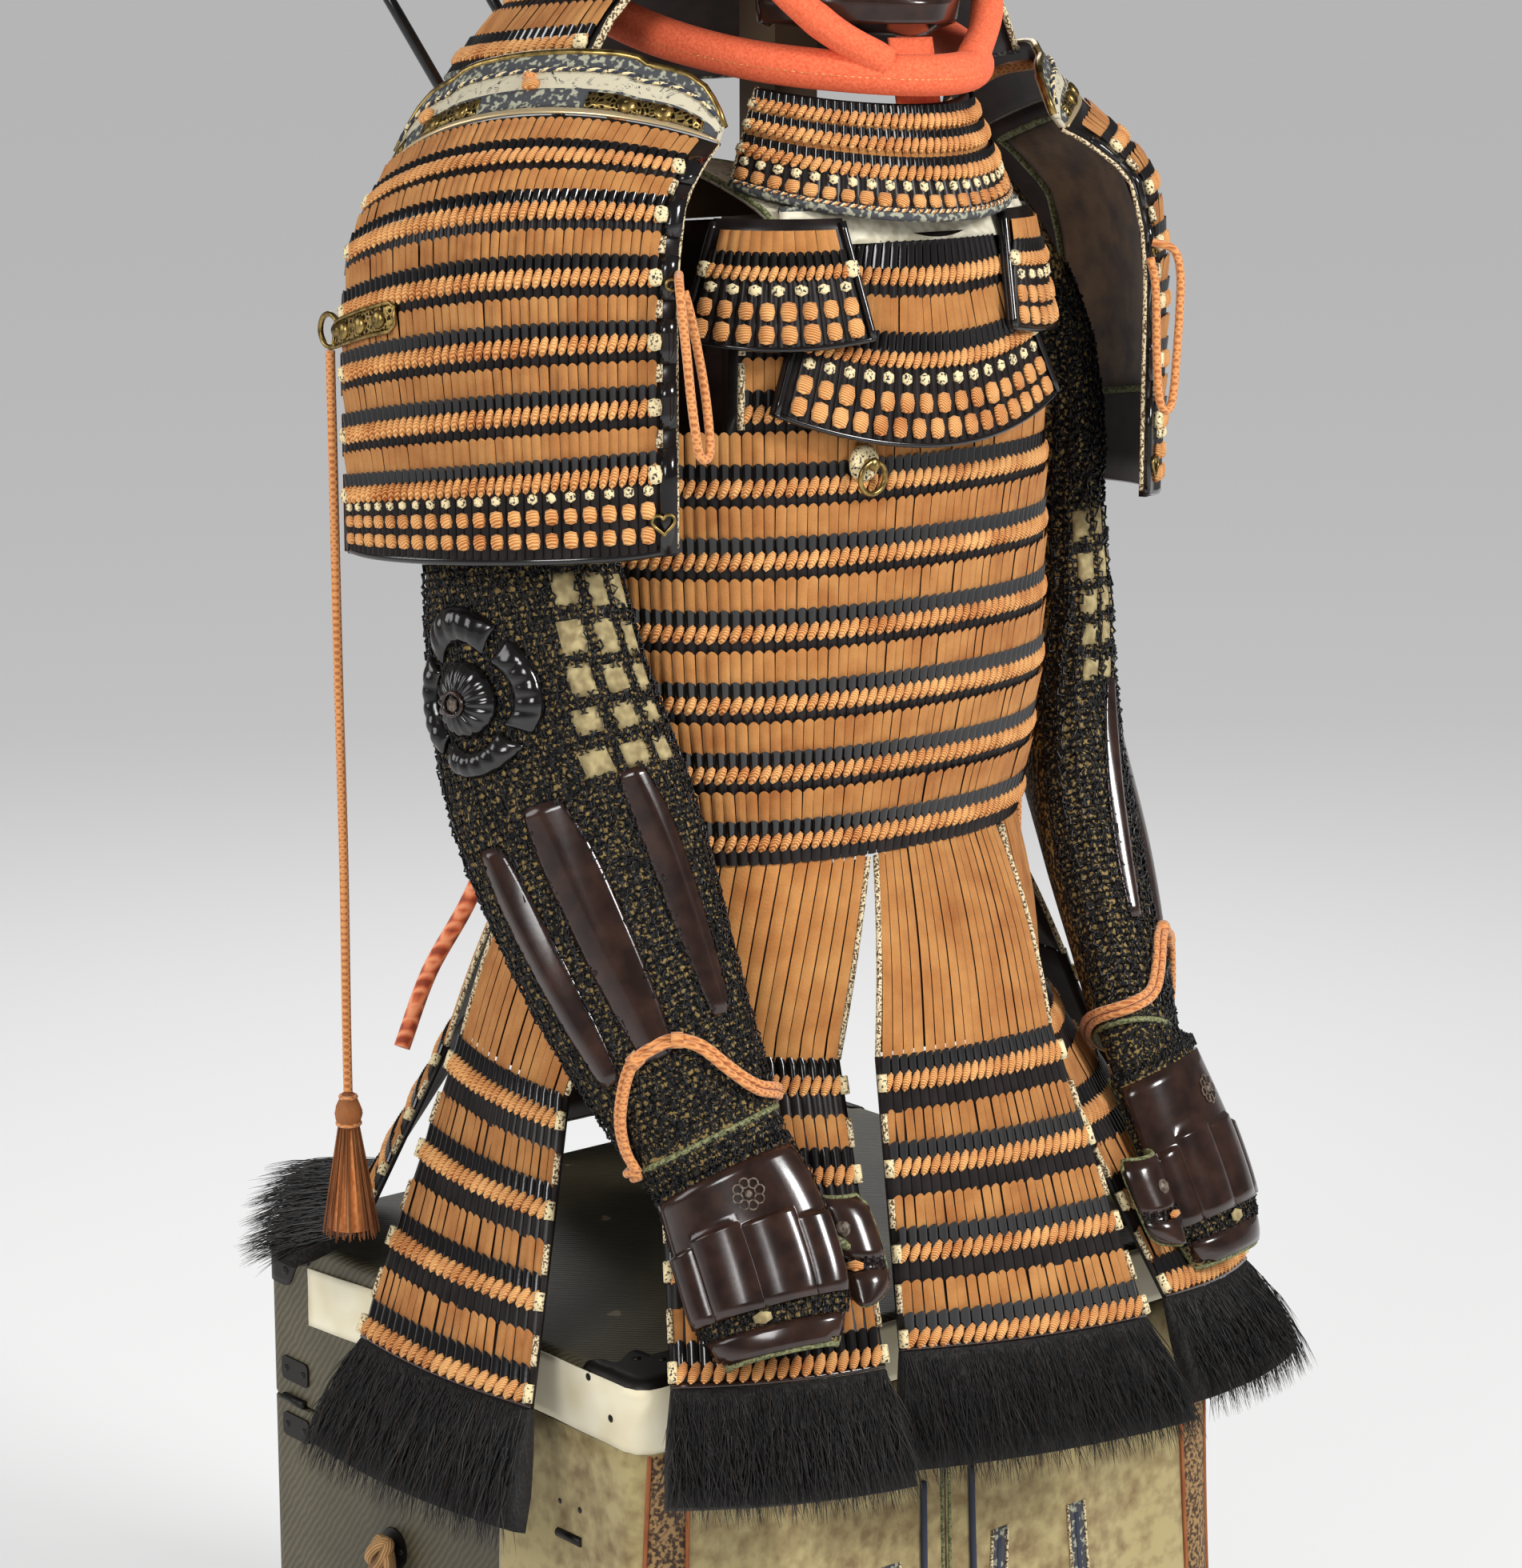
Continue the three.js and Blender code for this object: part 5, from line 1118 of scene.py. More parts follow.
def platePieces(name, surface):
    low, tall = shoulderRises[12] + 0.8, shoulderRises[13] - shoulderRises[12] - 2.5

    def crest(u):
        return float(np.interp(abs(2 * u - 1), plate["places"], plate["heights"]))

    def at(u, t, out):
        return surface(u, low + t * crest(u) * tall, out)

    us = span(0, 1, 40)
    parts = [gridWall(name + "Plate", at, us, span(0, 1, 6), 1.4, 3.6, look["leather"], insideMaterial=look["inside"])]

    def strip(key, u0, u1, t0, t1, out, material, bow=0.0):
        cells = max(2, round((u1 - u0) * 40))

        def rise(u, t, o):
            return at(u, t, o + bow * 4 * (t - t0) * (t1 - t) / (t1 - t0) ** 2)

        return gridWall(name + key, rise, span(u0, u1, cells), span(t0, t1, 3), out, -1.2, material)

    parts.append(strip("Base", 0.004, 0.996, 0.0, 0.10, 2.2, look["paleGilt"], 1.6))
    parts.append(strip("Low", 0.01, 0.99, 0.11, 0.42, 1.9, look["leatherDark"]))
    parts.append(strip("High", 0.01, 0.99, 0.76, 0.97, 1.9, look["leatherDark"]))
    for u0, u1 in ((0.16, 0.36), (0.66, 0.95), (0.02, 0.07)):
        parts.append(strip("Pierced", u0, u1, 0.12, 0.38, 3.0, look["pierced"], 0.4))
        middle = (u0 + u1) / 2
        if u1 - u0 > 0.1:
            for du in (-0.045, 0.045):
                parts.append(domeOn(name + "Dome", at, middle + du, 0.25, 3.2, 6.2, 2.6))
    rim = [at(u, 1.0, 0.2) for u in us]
    parts.append(tube(name + "Rim", rim, 2.7, look["gilt"], 10))
    for shift in (0.0, math.pi):
        twist = [at(u, 0.73 + 0.012 * math.sin(150 * u + shift), 2.9 + 0.9 * math.cos(150 * u + shift))
                 for u in span(0.03, 0.97, 170)]
        parts.append(tube(name + "Twist", twist, 1.1, look["cream"] if shift else look["twistDark"], 5))
    parts.append(knotsAt(name + "Knots", lambda u, v, o: surface(u, v, o), [(0.5, low + 0.5 * tall),
                                                                           (0.16, low + 0.42 * tall)],
                         13.0, 8.5, 3.4, look["rope"], depth=7.0))
    return parts


def domeOn(name, surface, u, v, out, radius, high, ridges=16):
    place, right, up, outward, _ = spotOn(surface, u - 0.01, u + 0.01, v - 0.01, v + 0.01, out)

    def at(turn, r, o):
        wave = 0.4 * math.cos(turn * ridges) * r
        lift = high * math.sqrt(max(0.0, 1 - r * r)) + wave + o
        return place + radius * r * (math.cos(turn) * right + math.sin(turn) * up) + outward * lift

    turns = span(0, 2 * math.pi, 2 * ridges)[:-1]
    return gridWall(name, at, turns, [0.03, 0.35, 0.7, 0.9, 1.0], 0.0, 0.8, look["gilt"], loop=True)


def sideRingPieces(name, surface, sign):
    middle = float(np.interp(6.45, range(14), shoulderRises))

    def at(u, t, out):
        end = min(1.0, (u + 0.012) / 0.02, (0.272 - u) / 0.012)
        return surface(u, middle + (t - 0.5) * 19 * max(0.35, end) ** 0.5, out)

    us = span(-0.01, 0.27, 16)
    route = [at(u, 0.0, 7.5) for u in us] + [at(u, 1.0, 7.5) for u in reversed(us)]
    parts = [
        gridWall(name + "Plate", at, us, span(0, 1, 4), 7.2, -4.4, look["pierced"]),
        tube(name + "Border", route, 1.4, look["gilt"], 6, closed=True),
    ]
    for u in (0.05, 0.13, 0.21):
        parts.append(domeOn(name + "Dome", at, u, 0.5, 7.4, 6.4, 3.4))
    place = np.array((-320.5 * sign, 36, 1237))
    turns = [2 * math.pi * k / 32 for k in range(32)]
    parts.append(tube(name + "Ring", [place + 11 * np.array((0, math.cos(t), math.sin(t))) for t in turns], 2.0,
                      look["gilt"], 10, closed=True))
    stud = [np.array((-321 * sign, 18, 1238)), place + np.array((0, -9, 1))]
    parts.append(tube(name + "Stud", stud, lambda t: 3.4 + 1.8 * t, look["gilt"], 12))
    return parts


for side, sign in (("right", 1), ("left", -1)):
    surface = shoulderPoint if side == "right" else mirrorOf(shoulderPoint)
    piece = joinObjects(f"sode_{side}_look", shoulderPieces(f"sode{side.title()}", surface, 200))
    finishPiece(piece, [f"sode_{side}"])
    piece = joinObjects(f"sode_top_{side}_look", platePieces(f"plate{side.title()}", surface))
    finishPiece(piece, [f"sode_top_{side}"])
    piece = joinObjects(f"side_ring_{side}_look", sideRingPieces(f"ring{side.title()}", surface, sign))
    finishPiece(piece, [f"side_ring_{side}"])
print("stage: shoulder guards")


# Sleeves: cloth covered with mail, with small windows of silk
sleeve = {
    "wall": 2.5, "power": 2.2, "mail": (-34, 214, 1.6, 9.85), "pitch": {"right": 5.5, "left": 6.6},
    "rings": [
        (-166, -46, 1312, 50, 32, -85), (-192, -48, 1276, 58, 36, -84), (-223, -52, 1220, 64, 34, -82),
        (-240, -56, 1150, 68, 34, -80), (-240, -62, 1086, 74, 35, -76), (-240, -80, 1010, 80, 37, -70),
        (-236, -97, 952, 82, 39, -62), (-229, -121, 894, 79, 38, -54), (-221, -152, 826, 70, 36, -46),
        (-211, -183, 764, 60, 32, -43), (-200, -210, 712, 51, 28, -42),
    ],
    "windows": [(turn + drift, place + 0.04 * k) for drift, place in
                ((0, 4.3), (3, 4.72), (6, 5.12), (10, 5.58), (15, 6.1)) for k, turn in enumerate((45, 21, -3))],
    "elbow": (112, 5.1, 49.3, 1.0),
    "splints": {"outer": (128, 6.6, 9.0), "middle": (92, 6.35, 8.95), "inner": (44, 6.3, 8.8)},
}
leftElbow = {"back": 26, "out": 11, "top": 1230, "low": 690}


def readSmooth(table, place):
    last = len(table) - 1
    low = min(int(place), last - 1)
    t = place - low
    p0, p1, p2, p3 = (table[min(max(low + k, 0), last)] for k in (-1, 0, 1, 2))
    return 0.5 * (2 * p1 + (p2 - p0) * t + (2 * p0 - 5 * p1 + 4 * p2 - p3) * t * t + (3 * p1 - p0 - 3 * p2 + p3) * t ** 3)


sleeveRings = np.array(sleeve["rings"], float)
sleeveFrames = {}


def sleeveFrame(place):
    key = round(place, 4)
    if key not in sleeveFrames:
        ring = readSmooth(sleeveRings, key)
        along = unit(readSmooth(sleeveRings, min(10, key + 0.05))[:3] - readSmooth(sleeveRings, max(0, key - 0.05))[:3])
        wide = np.array((math.cos(math.radians(ring[5])), math.sin(math.radians(ring[5])), 0))
        wide = unit(wide - along * np.dot(wide, along))
        sleeveFrames[key] = ring, wide, np.cross(along, wide)
    return sleeveFrames[key]


def sleeveRight(turn, place, out):
    ring, wide, flat = sleeveFrame(place)
    c, s = math.cos(math.radians(turn)), math.sin(math.radians(turn))
    power = 2 / sleeve["power"]
    return (ring[:3] + wide * (ring[3] + out) * math.copysign(abs(c) ** power, c)
            + flat * (ring[4] + out) * math.copysign(abs(s) ** power, s))


def sleeveLeft(turn, place, out):
    point = sleeveRight(turn, place, out) * np.array((-1, 1, 1))
    share = (leftElbow["top"] - point[2]) / (leftElbow["top"] - leftElbow["low"])
    bend = math.sin(math.pi * min(1, max(0, share))) ** 2
    return point + np.array((leftElbow["out"] * bend, leftElbow["back"] * bend, 0))


sleeveSurfaces = {"right": sleeveRight, "left": sleeveLeft}


# A link of mail: a small bent ring
def linkElement():
    points, faces = [], []
    for k in range(4):
        turn = math.pi * k / 2 + 0.4
        centre = np.array((0.42 * math.cos(turn), 0.42 * math.sin(turn), 0.05 * math.cos(2 * turn)))
        away = np.array((math.cos(turn), math.sin(turn), 0))
        for s in range(3):
            angle = 2 * math.pi * s / 3
            points.append(centre + 0.11 * (math.cos(angle) * away + math.sin(angle) * np.array((0, 0, 1.0))))
        for s in range(3):
            a, b = k * 3 + s, k * 3 + (s + 1) % 3
            faces.append((b, a, (a + 3) % 12, (b + 3) % 12))
    return makeObject("linkElement", np.array(points), faces, look["mail"])


elements["link"] = linkElement()


def linkSpot(surface, u, v, du, dv, out, size, tilt, spin):
    place, right, up, outward, _ = spotOn(surface, u - du, u + du, v - dv, v + dv, out)
    leaned = right * math.cos(tilt) + outward * math.sin(tilt)
    facing = outward * math.cos(tilt) - right * math.sin(tilt)
    one = leaned * math.cos(spin) + up * math.sin(spin)
    return place, one, np.cross(facing, one), facing, (size, size, size)


def mailSpots(surface, area, pitch, hidden, seed, out=0.9):
    rng = random.Random(seed)
    u0, u1, v0, v1 = area
    middle = (u0 + u1) / 2
    spots, v, k = [], v0, 0
    while v < v1:
        tall = np.linalg.norm(surface(middle, v + 0.02, 2) - surface(middle, v, 2)) / 0.02
        us = evenSteps(surface, u0, u1, v, pitch)
        for i in range(len(us) - 1):
            u = us[i] + (us[i + 1] - us[i]) * (0.5 * (k % 2) + rng.uniform(-0.1, 0.1))
            if not hidden(u, v):
                tilt = (0.65 if (i + k) % 2 else -0.65) + rng.gauss(0, 0.2)
                spots.append(linkSpot(surface, u, v, (us[i + 1] - us[i]) / 2, 0.04, out + rng.uniform(-0.3, 0.6),
                                      pitch * 1.42, tilt, rng.uniform(-0.7, 0.7)))
        v += pitch * 0.86 / tall
        k += 1
    return spots


def underPlate(turn, place):
    middleTurn, middlePlace, swing, reach = sleeve["elbow"]
    if math.hypot((turn - middleTurn) / swing, (place - middlePlace) / reach) < 0.3:
        return True
    for at, start, end in sleeve["splints"].values():
        if abs(turn - at) < 9 and start + 0.1 < place < end - 0.1:
            return True
    return any(abs(turn - t) < 8.0 and abs(place - p) < 0.145 for t, p in sleeve["windows"])


def sleevePieces(name, side, seed):
    surface = sleeveSurfaces[side]
    parts = [gridWall(name + "Cloth", surface, span(0, 360, 44)[:-1], span(0, 10, 36), 0.0, sleeve["wall"],
                      look["mailCloth"], loop=True, insideMaterial=look["lining"])]
    rng = random.Random(seed)
    for k, (turn, place) in enumerate(sleeve["windows"]):
        wide, tall = 8.6 + rng.uniform(-0.8, 0.8), 0.155 + rng.uniform(-0.012, 0.012)

        def puffed(u, v, turn=turn, place=place, wide=wide, tall=tall):
            return 0.9 + 1.5 * (1 - ((u - turn) / wide) ** 2) * (1 - ((v - place) / tall) ** 2)

        parts.append(gridWall(f"{name}Window{k}", surface, span(turn - wide, turn + wide, 4),
                              span(place - tall, place + tall, 4), puffed, -0.2, look["silkWindow"]))
    spots = mailSpots(surface, sleeve["mail"], sleeve["pitch"][side], underPlate, seed)
    parts.append(layElements(name + "Mail", elements["link"], spots, look["mail"], 0.12, seed))
    hem = [surface(turn, 9.97, -0.4) for turn in span(0, 360, 40)[:-1]]
    parts.append(tube(name + "Hem", hem, 2.3, look["olivePiping"], 8, closed=True))
    return parts


# Elbow guard: a fluted dome with a worn button, and four fluted crescents round it
def elbowPieces(name, surface):
    middleTurn, middlePlace, swing, reach = sleeve["elbow"]

    def disc(angle, r, out):
        a = math.radians(angle)
        return surface(middleTurn + swing * r * math.sin(a), middlePlace + reach * r * math.cos(a), out)

    def dome(angle, r):
        share = r / 0.36
        flute = 1.3 * abs(math.cos(math.radians(angle) * 9)) * min(1, 2 * share)
        return 2.0 + 11 * math.sqrt(max(0.0, 1 - share * share)) * (0.9 + 0.1 * flute) + flute * 0.5

    parts = [gridWall(name + "Dome", disc, span(0, 360, 72)[:-1], [0.012, 0.08, 0.14, 0.2, 0.25, 0.3, 0.335, 0.355],
                      dome, -1.2, look["head"], loop=True)]
    ring = [disc(angle, 0.11, 13.4) for angle in span(0, 360, 24)[:-1]]
    parts.append(tube(name + "Ring", ring, 1.4, look["brown"], 8, closed=True))
    place, right, up, outward, _ = spotOn(surface, middleTurn - 1, middleTurn + 1, middlePlace - 0.02,
                                          middlePlace + 0.02, 13.4)
    parts.append(layElements(name + "Button", elements["bead"], [(place, right, up, outward, (11, 11, 4.4))],
                             look["wornBrown"], 0.0, 1))
    for k in range(4):
        def arc(angle, r, out, k=k):
            bow = 0.05 * (1 - (angle / 40) ** 2)
            return disc(angle + 90 * k, r + bow, out)

        def crescent(angle, r):
            across = max(0.0, 1 - ((r - 0.6) / 0.15) ** 2)
            ends = max(0.0, 1 - (angle / 40) ** 4)
            return 1.9 + 7.5 * math.sqrt(across) * math.sqrt(ends) * (0.86 + 0.14 * abs(math.cos(angle * 0.24)))

        parts.append(gridWall(f"{name}Crescent{k}", arc, span(-39, 39, 40), span(0.455, 0.745, 8), crescent, -1.2,
                              look["head"]))
    return parts


# Splints: long ridged plates, stitched down along both edges
def splintPieces(name, surface, spec):
    turn, start, end = spec

    def at(x, y, out):
        return surface(turn + math.degrees((0.22 - 0.08 * abs(y) ** 3) * x), start + (end - start) * (y + 1) / 2, out)

    def ridge(x, y):
        return 1.9 + 5.2 * (1 - abs(x) ** 1.25) * (1 - 0.5 * y * y)

    parts = [gridWall(name + "Plate", at, span(-1, 1, 10), span(-1, 1, 22), ridge, -1.2, look["brown"])]
    spots = []
    for x in (-1, 1):
        for y in span(-0.96, 0.96, 26):
            place, right, up, outward, _ = spotOn(at, x - 0.05, x + 0.05, y - 0.01, y + 0.01, 2.6)
            spots.append((place, right, up, outward, (4.6, 1.0, 1.0)))
    parts.append(layElements(name + "Stitches", elements["bead"], spots, look["iron"], 0.1, 4))
    return parts


wristCord = {"diameter": 5.4, "apart": 2.8, "route": [
    (150, 9.95), (146, 9.6), (132, 9.3), (112, 8.98), (100, 8.86), (84, 8.84), (70, 9.0), (56, 9.35), (40, 9.62),
    (10, 9.78), (-40, 9.8), (-90, 9.85), (-140, 9.9), (-190, 9.95), (-206, 9.98),
]}


# The wrist cord is one doubled strand round the sleeve, with two wraps where it is tied up
def wristPieces(name, side):
    surface = sleeveSurfaces[side]
    middle = smoothRoute([surface(turn, place, 5.6) for turn, place in wristCord["route"]], 4)
    strands = ([], [])
    for i, point in enumerate(middle):
        along = unit(middle[min(i + 1, len(middle) - 1)] - middle[max(i - 1, 0)])
        centre = readSmooth(sleeveRings, 9.4)[:3] * np.array((1 if side == "right" else -1, 1, 1))
        across = unit(np.cross(along, unit(point - centre)))
        strands[0].append(point + across * wristCord["apart"])
        strands[1].append(point - across * wristCord["apart"])
    bend = unit(strands[0][-1] - strands[0][-2])
    turnBack = [middle[-1] + bend * 2.2]
    route = strands[0] + turnBack + strands[1][::-1]
    parts = [tube(name + "Strand", route, wristCord["diameter"] / 2, look["cordSilk"], 10)]
    for k in (15, 21):
        along = unit(middle[k + 1] - middle[k - 1])
        parts.append(tube(name + "Wrap", [middle[k] - along * 4, middle[k] + along * 4], 5.6, look["cordSilk"], 12))
    return parts, route


for side in ("right", "left"):
    surface = sleeveSurfaces[side]
    piece = joinObjects(f"sleeve_{side}_look", sleevePieces(f"sleeve{side.title()}", side, 300))
    finishPiece(piece, [f"sleeve_{side}"])
    piece = joinObjects(f"elbow_guard_{side}_look", elbowPieces(f"elbow{side.title()}", surface))
    finishPiece(piece, [f"elbow_guard_{side}"])
    for key, spec in sleeve["splints"].items():
        piece = joinObjects(f"splint_{key}_{side}_look", splintPieces(f"splint{key.title()}{side.title()}", surface, spec))
        finishPiece(piece, [f"splint_{key}_{side}"])
    parts, route = wristPieces(f"wrist{side.title()}", side)
    piece = finishPiece(parts[0], [f"wrist_cord_{side}"])
    wraps = joinObjects(f"wrist_wraps_{side}_look", parts[1:])
    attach(wraps, "root")
print("stage: sleeves")


# Hand guards
hands = {
    "right": {"faces": -46, "thumb": -128, "flower": (-14, 0.85), "rings": [
        (-196, -219, 696, 47, 28), (-194, -238, 668, 51, 26), (-195, -256, 640, 52, 24), (-198, -274, 610, 50, 22),
        (-203, -290, 584, 38, 18)]},
    "left": {"faces": 14, "thumb": 84, "flower": (-18, 0.85), "rings": [
        (204, -217, 696, 46, 28), (212, -236, 656, 50, 26), (219, -252, 620, 52, 24), (223, -266, 588, 50, 22),
        (226, -279, 558, 38, 18)]},
}
fingers = {"edges": [-84, -42, 0, 42, 84], "knuckles": [1.55, 1.35, 1.25, 1.4], "end": 3.02, "strip": 3.36, "rise": 4.2}


def handSurface(hand):
    rings = np.array(hand["rings"], float)
    face = np.array((math.sin(math.radians(hand["faces"])), -math.cos(math.radians(hand["faces"])), 0.2))

    def at(turn, place, out):
        place = min(4.0, max(0.0, place))
        ring = readSmooth(rings, place)
        along = unit(readSmooth(rings, min(4, place + 0.1))[:3] - readSmooth(rings, max(0, place - 0.1))[:3])
        facing = unit(face - along * np.dot(face, along))
        side = np.cross(along, facing)
        s, c = math.sin(math.radians(turn)), math.cos(math.radians(turn))
        return ring[:3] + side * (ring[3] + out) * s + facing * (ring[4] + out) * c

    return at


def handPieces(name, hand, seed):
    surface = handSurface(hand)

    def relief(turn, place):
        k = min(3, max(0, int((turn + 84) // 42)))
        share = (turn - fingers["edges"][k]) / 42
        if place < fingers["knuckles"][k] or not 0 < share < 1:
            return 2.2 + 0.9 * math.cos(math.radians(turn))
        end = min(1.0, (place - fingers["knuckles"][k]) / 0.10 + 0.35)
        return 2.6 + fingers["rise"] * math.sin(math.pi * share) ** 0.55 * end

    knuckles = sorted(k + d for k in fingers["knuckles"] for d in (-0.01, 0.01, 0.07))
    rows = sorted(set(span(0.28, fingers["end"], 14) + knuckles))
    turns = sorted(set(span(-84, 84, 40) + [edge + d for edge in fingers["edges"][1:4] for d in (-0.6, 0.6)]))
    cloth = gridWall(name + "Cloth", surface, span(-100, 100, 26), span(0, 4, 18), -0.2, 3.0, look["mailCloth"],
                     insideMaterial=look["lining"])
    parts = [cloth, gridWall(name + "Plate", surface, turns, rows, relief, -0.2, look["brown"])]

    def tipKeep(i, j):
        return not (j == 3 and (i < 2 or i > 13))

    parts.append(gridWall(name + "Tip", surface, span(-78, 78, 16), span(fingers["strip"], 3.97, 4),
                          lambda t, p: 2.0 + 1.6 * math.sin(math.pi * (p - 3.3) / 0.72), -0.2, look["brown"],
                          keep=tipKeep))
    spots = mailSpots(surface, (-96, 96, fingers["end"] + 0.03, fingers["strip"]), 4.4, lambda u, v: False, seed, 1.4)
    spots += mailSpots(surface, (-97, 97, 0.02, 0.26), 4.4, lambda u, v: False, seed, 1.4)
    spots += mailSpots(surface, (-99, -86, 0.3, 3.0), 4.4, lambda u, v: False, seed, 1.0)
    spots += mailSpots(surface, (86, 99, 0.3, 3.0), 4.4, lambda u, v: False, seed, 1.0)
    parts.append(layElements(name + "Mail", elements["link"], spots, look["mail"], 0.12, seed))
    hem = [surface(-100, p, -1.4) for p in span(0, 3.9, 14)] + [surface(t, 4.0, -1.4) for t in span(-94, 94, 14)]
    hem += [surface(100, p, -1.4) for p in span(3.9, 0, 14)]
    parts.append(tube(name + "Hem", hem, 2.2, look["olivePiping"], 8))
    parts.append(knotsAt(name + "Oval", surface, [(4, 3.2)], 15, 0.26, 3.0, look["silkWindow"], "bead", 5))
    turn, place = hand["flower"]
    base, right, up, outward, _ = spotOn(surface, turn - 2, turn + 2, place - 0.02, place + 0.02, 3.4)
    for k in range(8):
        angle = math.pi * k / 4
        middle = base + 7.6 * (math.cos(angle) * right + math.sin(angle) * up)
        loop = [middle + 3.3 * (math.cos(t) * right + math.sin(t) * up) for t in span(0, 2 * math.pi, 10)[:-1]]
        parts.append(tube(name + "Petal", loop, 0.7, look["wornBrown"], 5, closed=True))
    parts.append(domeAt(name + "FlowerHeart", base, right, up, outward, 2.8, 2.2, look["wornBrown"]))
    sleeveEnd = sleeveSurfaces["right" if hand["faces"] < 0 else "left"]
    rim = [sleeveEnd(turn, 9.93, -0.6) for turn in span(0, 360, 180)]

    def flap(turn, t, out):
        foot = surface(turn, 0.06, 0.6 + out)
        near = min(rim, key=lambda p: float(np.linalg.norm(p - foot)))
        lean = foot + (near - foot) * t
        return lean + unit(foot - surface(turn, 0.06, -8)) * (out * t + 1.6 * t * (1 - t))

    parts.append(gridWall(name + "Flap", flap, span(-88, 88, 20), span(0, 1, 4), 0.0, 1.2, look["mailCloth"]))
    spots = mailSpots(flap, (-88, 88, 0.04, 0.98), 4.8, lambda u, v: False, seed, 0.8)
    parts.append(layElements(name + "FlapMail", elements["link"], spots, look["mail"], 0.12, seed + 3))
    return parts


def domeAt(name, place, right, up, outward, radius, high, material):
    def at(turn, r, o):
        return place + radius * r * (math.cos(turn) * right + math.sin(turn) * up) \
            + outward * (high * math.sqrt(max(0.0, 1 - r * r)) + o)

    return gridWall(name, at, span(0, 2 * math.pi, 12)[:-1], [0.02, 0.4, 0.8, 1.0], 0.0, 0.7, material, loop=True)


def thumbPieces(name, hand, seed):
    surface = handSurface(hand)
    face = unit(np.array((math.sin(math.radians(hand["faces"])), -math.cos(math.radians(hand["faces"])), 0.1)))
    side = np.array((math.cos(math.radians(hand["faces"])), math.sin(math.radians(hand["faces"])), 0))

    def at(turn, v, out):
        narrow = math.sqrt(max(0.02, 1 - (max(0.0, v - 0.8) / 0.22) ** 2)) * math.sqrt(min(1.0, 0.62 + 4 * v))
        width = 21 * (1 - 0.25 * v * v) * narrow
        base = surface(hand["thumb"], 1.2 + 1.9 * v, 21 + 5 * v)
        s, c = math.sin(math.radians(turn)), math.cos(math.radians(turn))
        return base + side * (width + out) * s + face * (16 + out) * c

    def swell(turn, v):
        return 0.6 + (1.6 if v < 0.58 or v > 0.7 else 0.0) * math.cos(math.radians(turn))

    rows = [0, 0.1, 0.2, 0.35, 0.5, 0.575, 0.585, 0.695, 0.705, 0.8, 0.87, 0.93, 0.97, 1.0]
    shell = gridWall(name + "Shell", at, span(-80, 80, 16), rows, swell, 3.0, look["brown"],
                     insideMaterial=look["lining"])
    spots = mailSpots(at, (-70, 70, 0.6, 0.69), 4.2, lambda u, v: False, seed, 1.2)
    hem = [at(-81, v, -1.2) for v in span(0, 0.96, 12)] + [at(t, 1.0, -1.2) for t in span(-70, 70, 8)]
    hem += [at(81, v, -1.2) for v in span(0.96, 0, 12)] + [at(t, 0, -1.2) for t in span(70, -70, 8)]
    base, right, up, outward, _ = spotOn(at, -3, 3, 0.28, 0.3, 2.6)
    edge = surface(98 * (1 if hand["thumb"] > 0 else -1), 2.0, -1.5)
    root = surface(hand["thumb"], 2.15, 23.5) + face * 14
    parts = [
        shell, layElements(name + "Mail", elements["link"], spots, look["mail"], 0.12, seed),
        tube(name + "Hem", hem, 2.0, look["olivePiping"], 8, closed=True),
        knotsAt(name + "Knot", at, [(0, 0.64)], 14, 0.1, 3.0, look["rope"], "bead", 5),
        domeAt(name + "Boss", base, right, up, outward, 5.6, 2.2, look["wornBrown"]),
        tube(name + "Tie", [root, (root + edge) / 2, edge + (root - edge) * 0.1], 3.2, look["olivePiping"], 8),
    ]
    return parts


for side, hand in hands.items():
    piece = joinObjects(f"hand_guard_{side}_look", handPieces(f"hand{side.title()}", hand, 400))
    finishPiece(piece, [f"hand_guard_{side}"])
    piece = joinObjects(f"thumb_guard_{side}_look", thumbPieces(f"thumb{side.title()}", hand, 410))
    finishPiece(piece, [f"thumb_guard_{side}"])
print("stage: hand guards")


# Tassels: a bound head and a skirt of fine silk
tassel = {"x": 317.5, "y": 39, "top": 711.7, "head": 25, "drop": 104, "strands": 150}


def strandElement():
    points, faces = [], []
    for r, (x, y, wide) in enumerate(((0, 0, 0.5), (0.02, -0.35, 0.5), (0.05, -0.7, 0.45), (0.02, -1, 0.25))):
        for s in range(3):
            turn = 2 * math.pi * s / 3
            points.append((x + wide * math.cos(turn), y, wide * math.sin(turn)))
        if r:
            for s in range(3):
                a, b = (r - 1) * 3 + s, (r - 1) * 3 + (s + 1) % 3
                faces.append((a, b, b + 3, a + 3))
    return makeObject("strandElement", np.array(points), faces, look["tassel"])


elements["strand"] = strandElement()


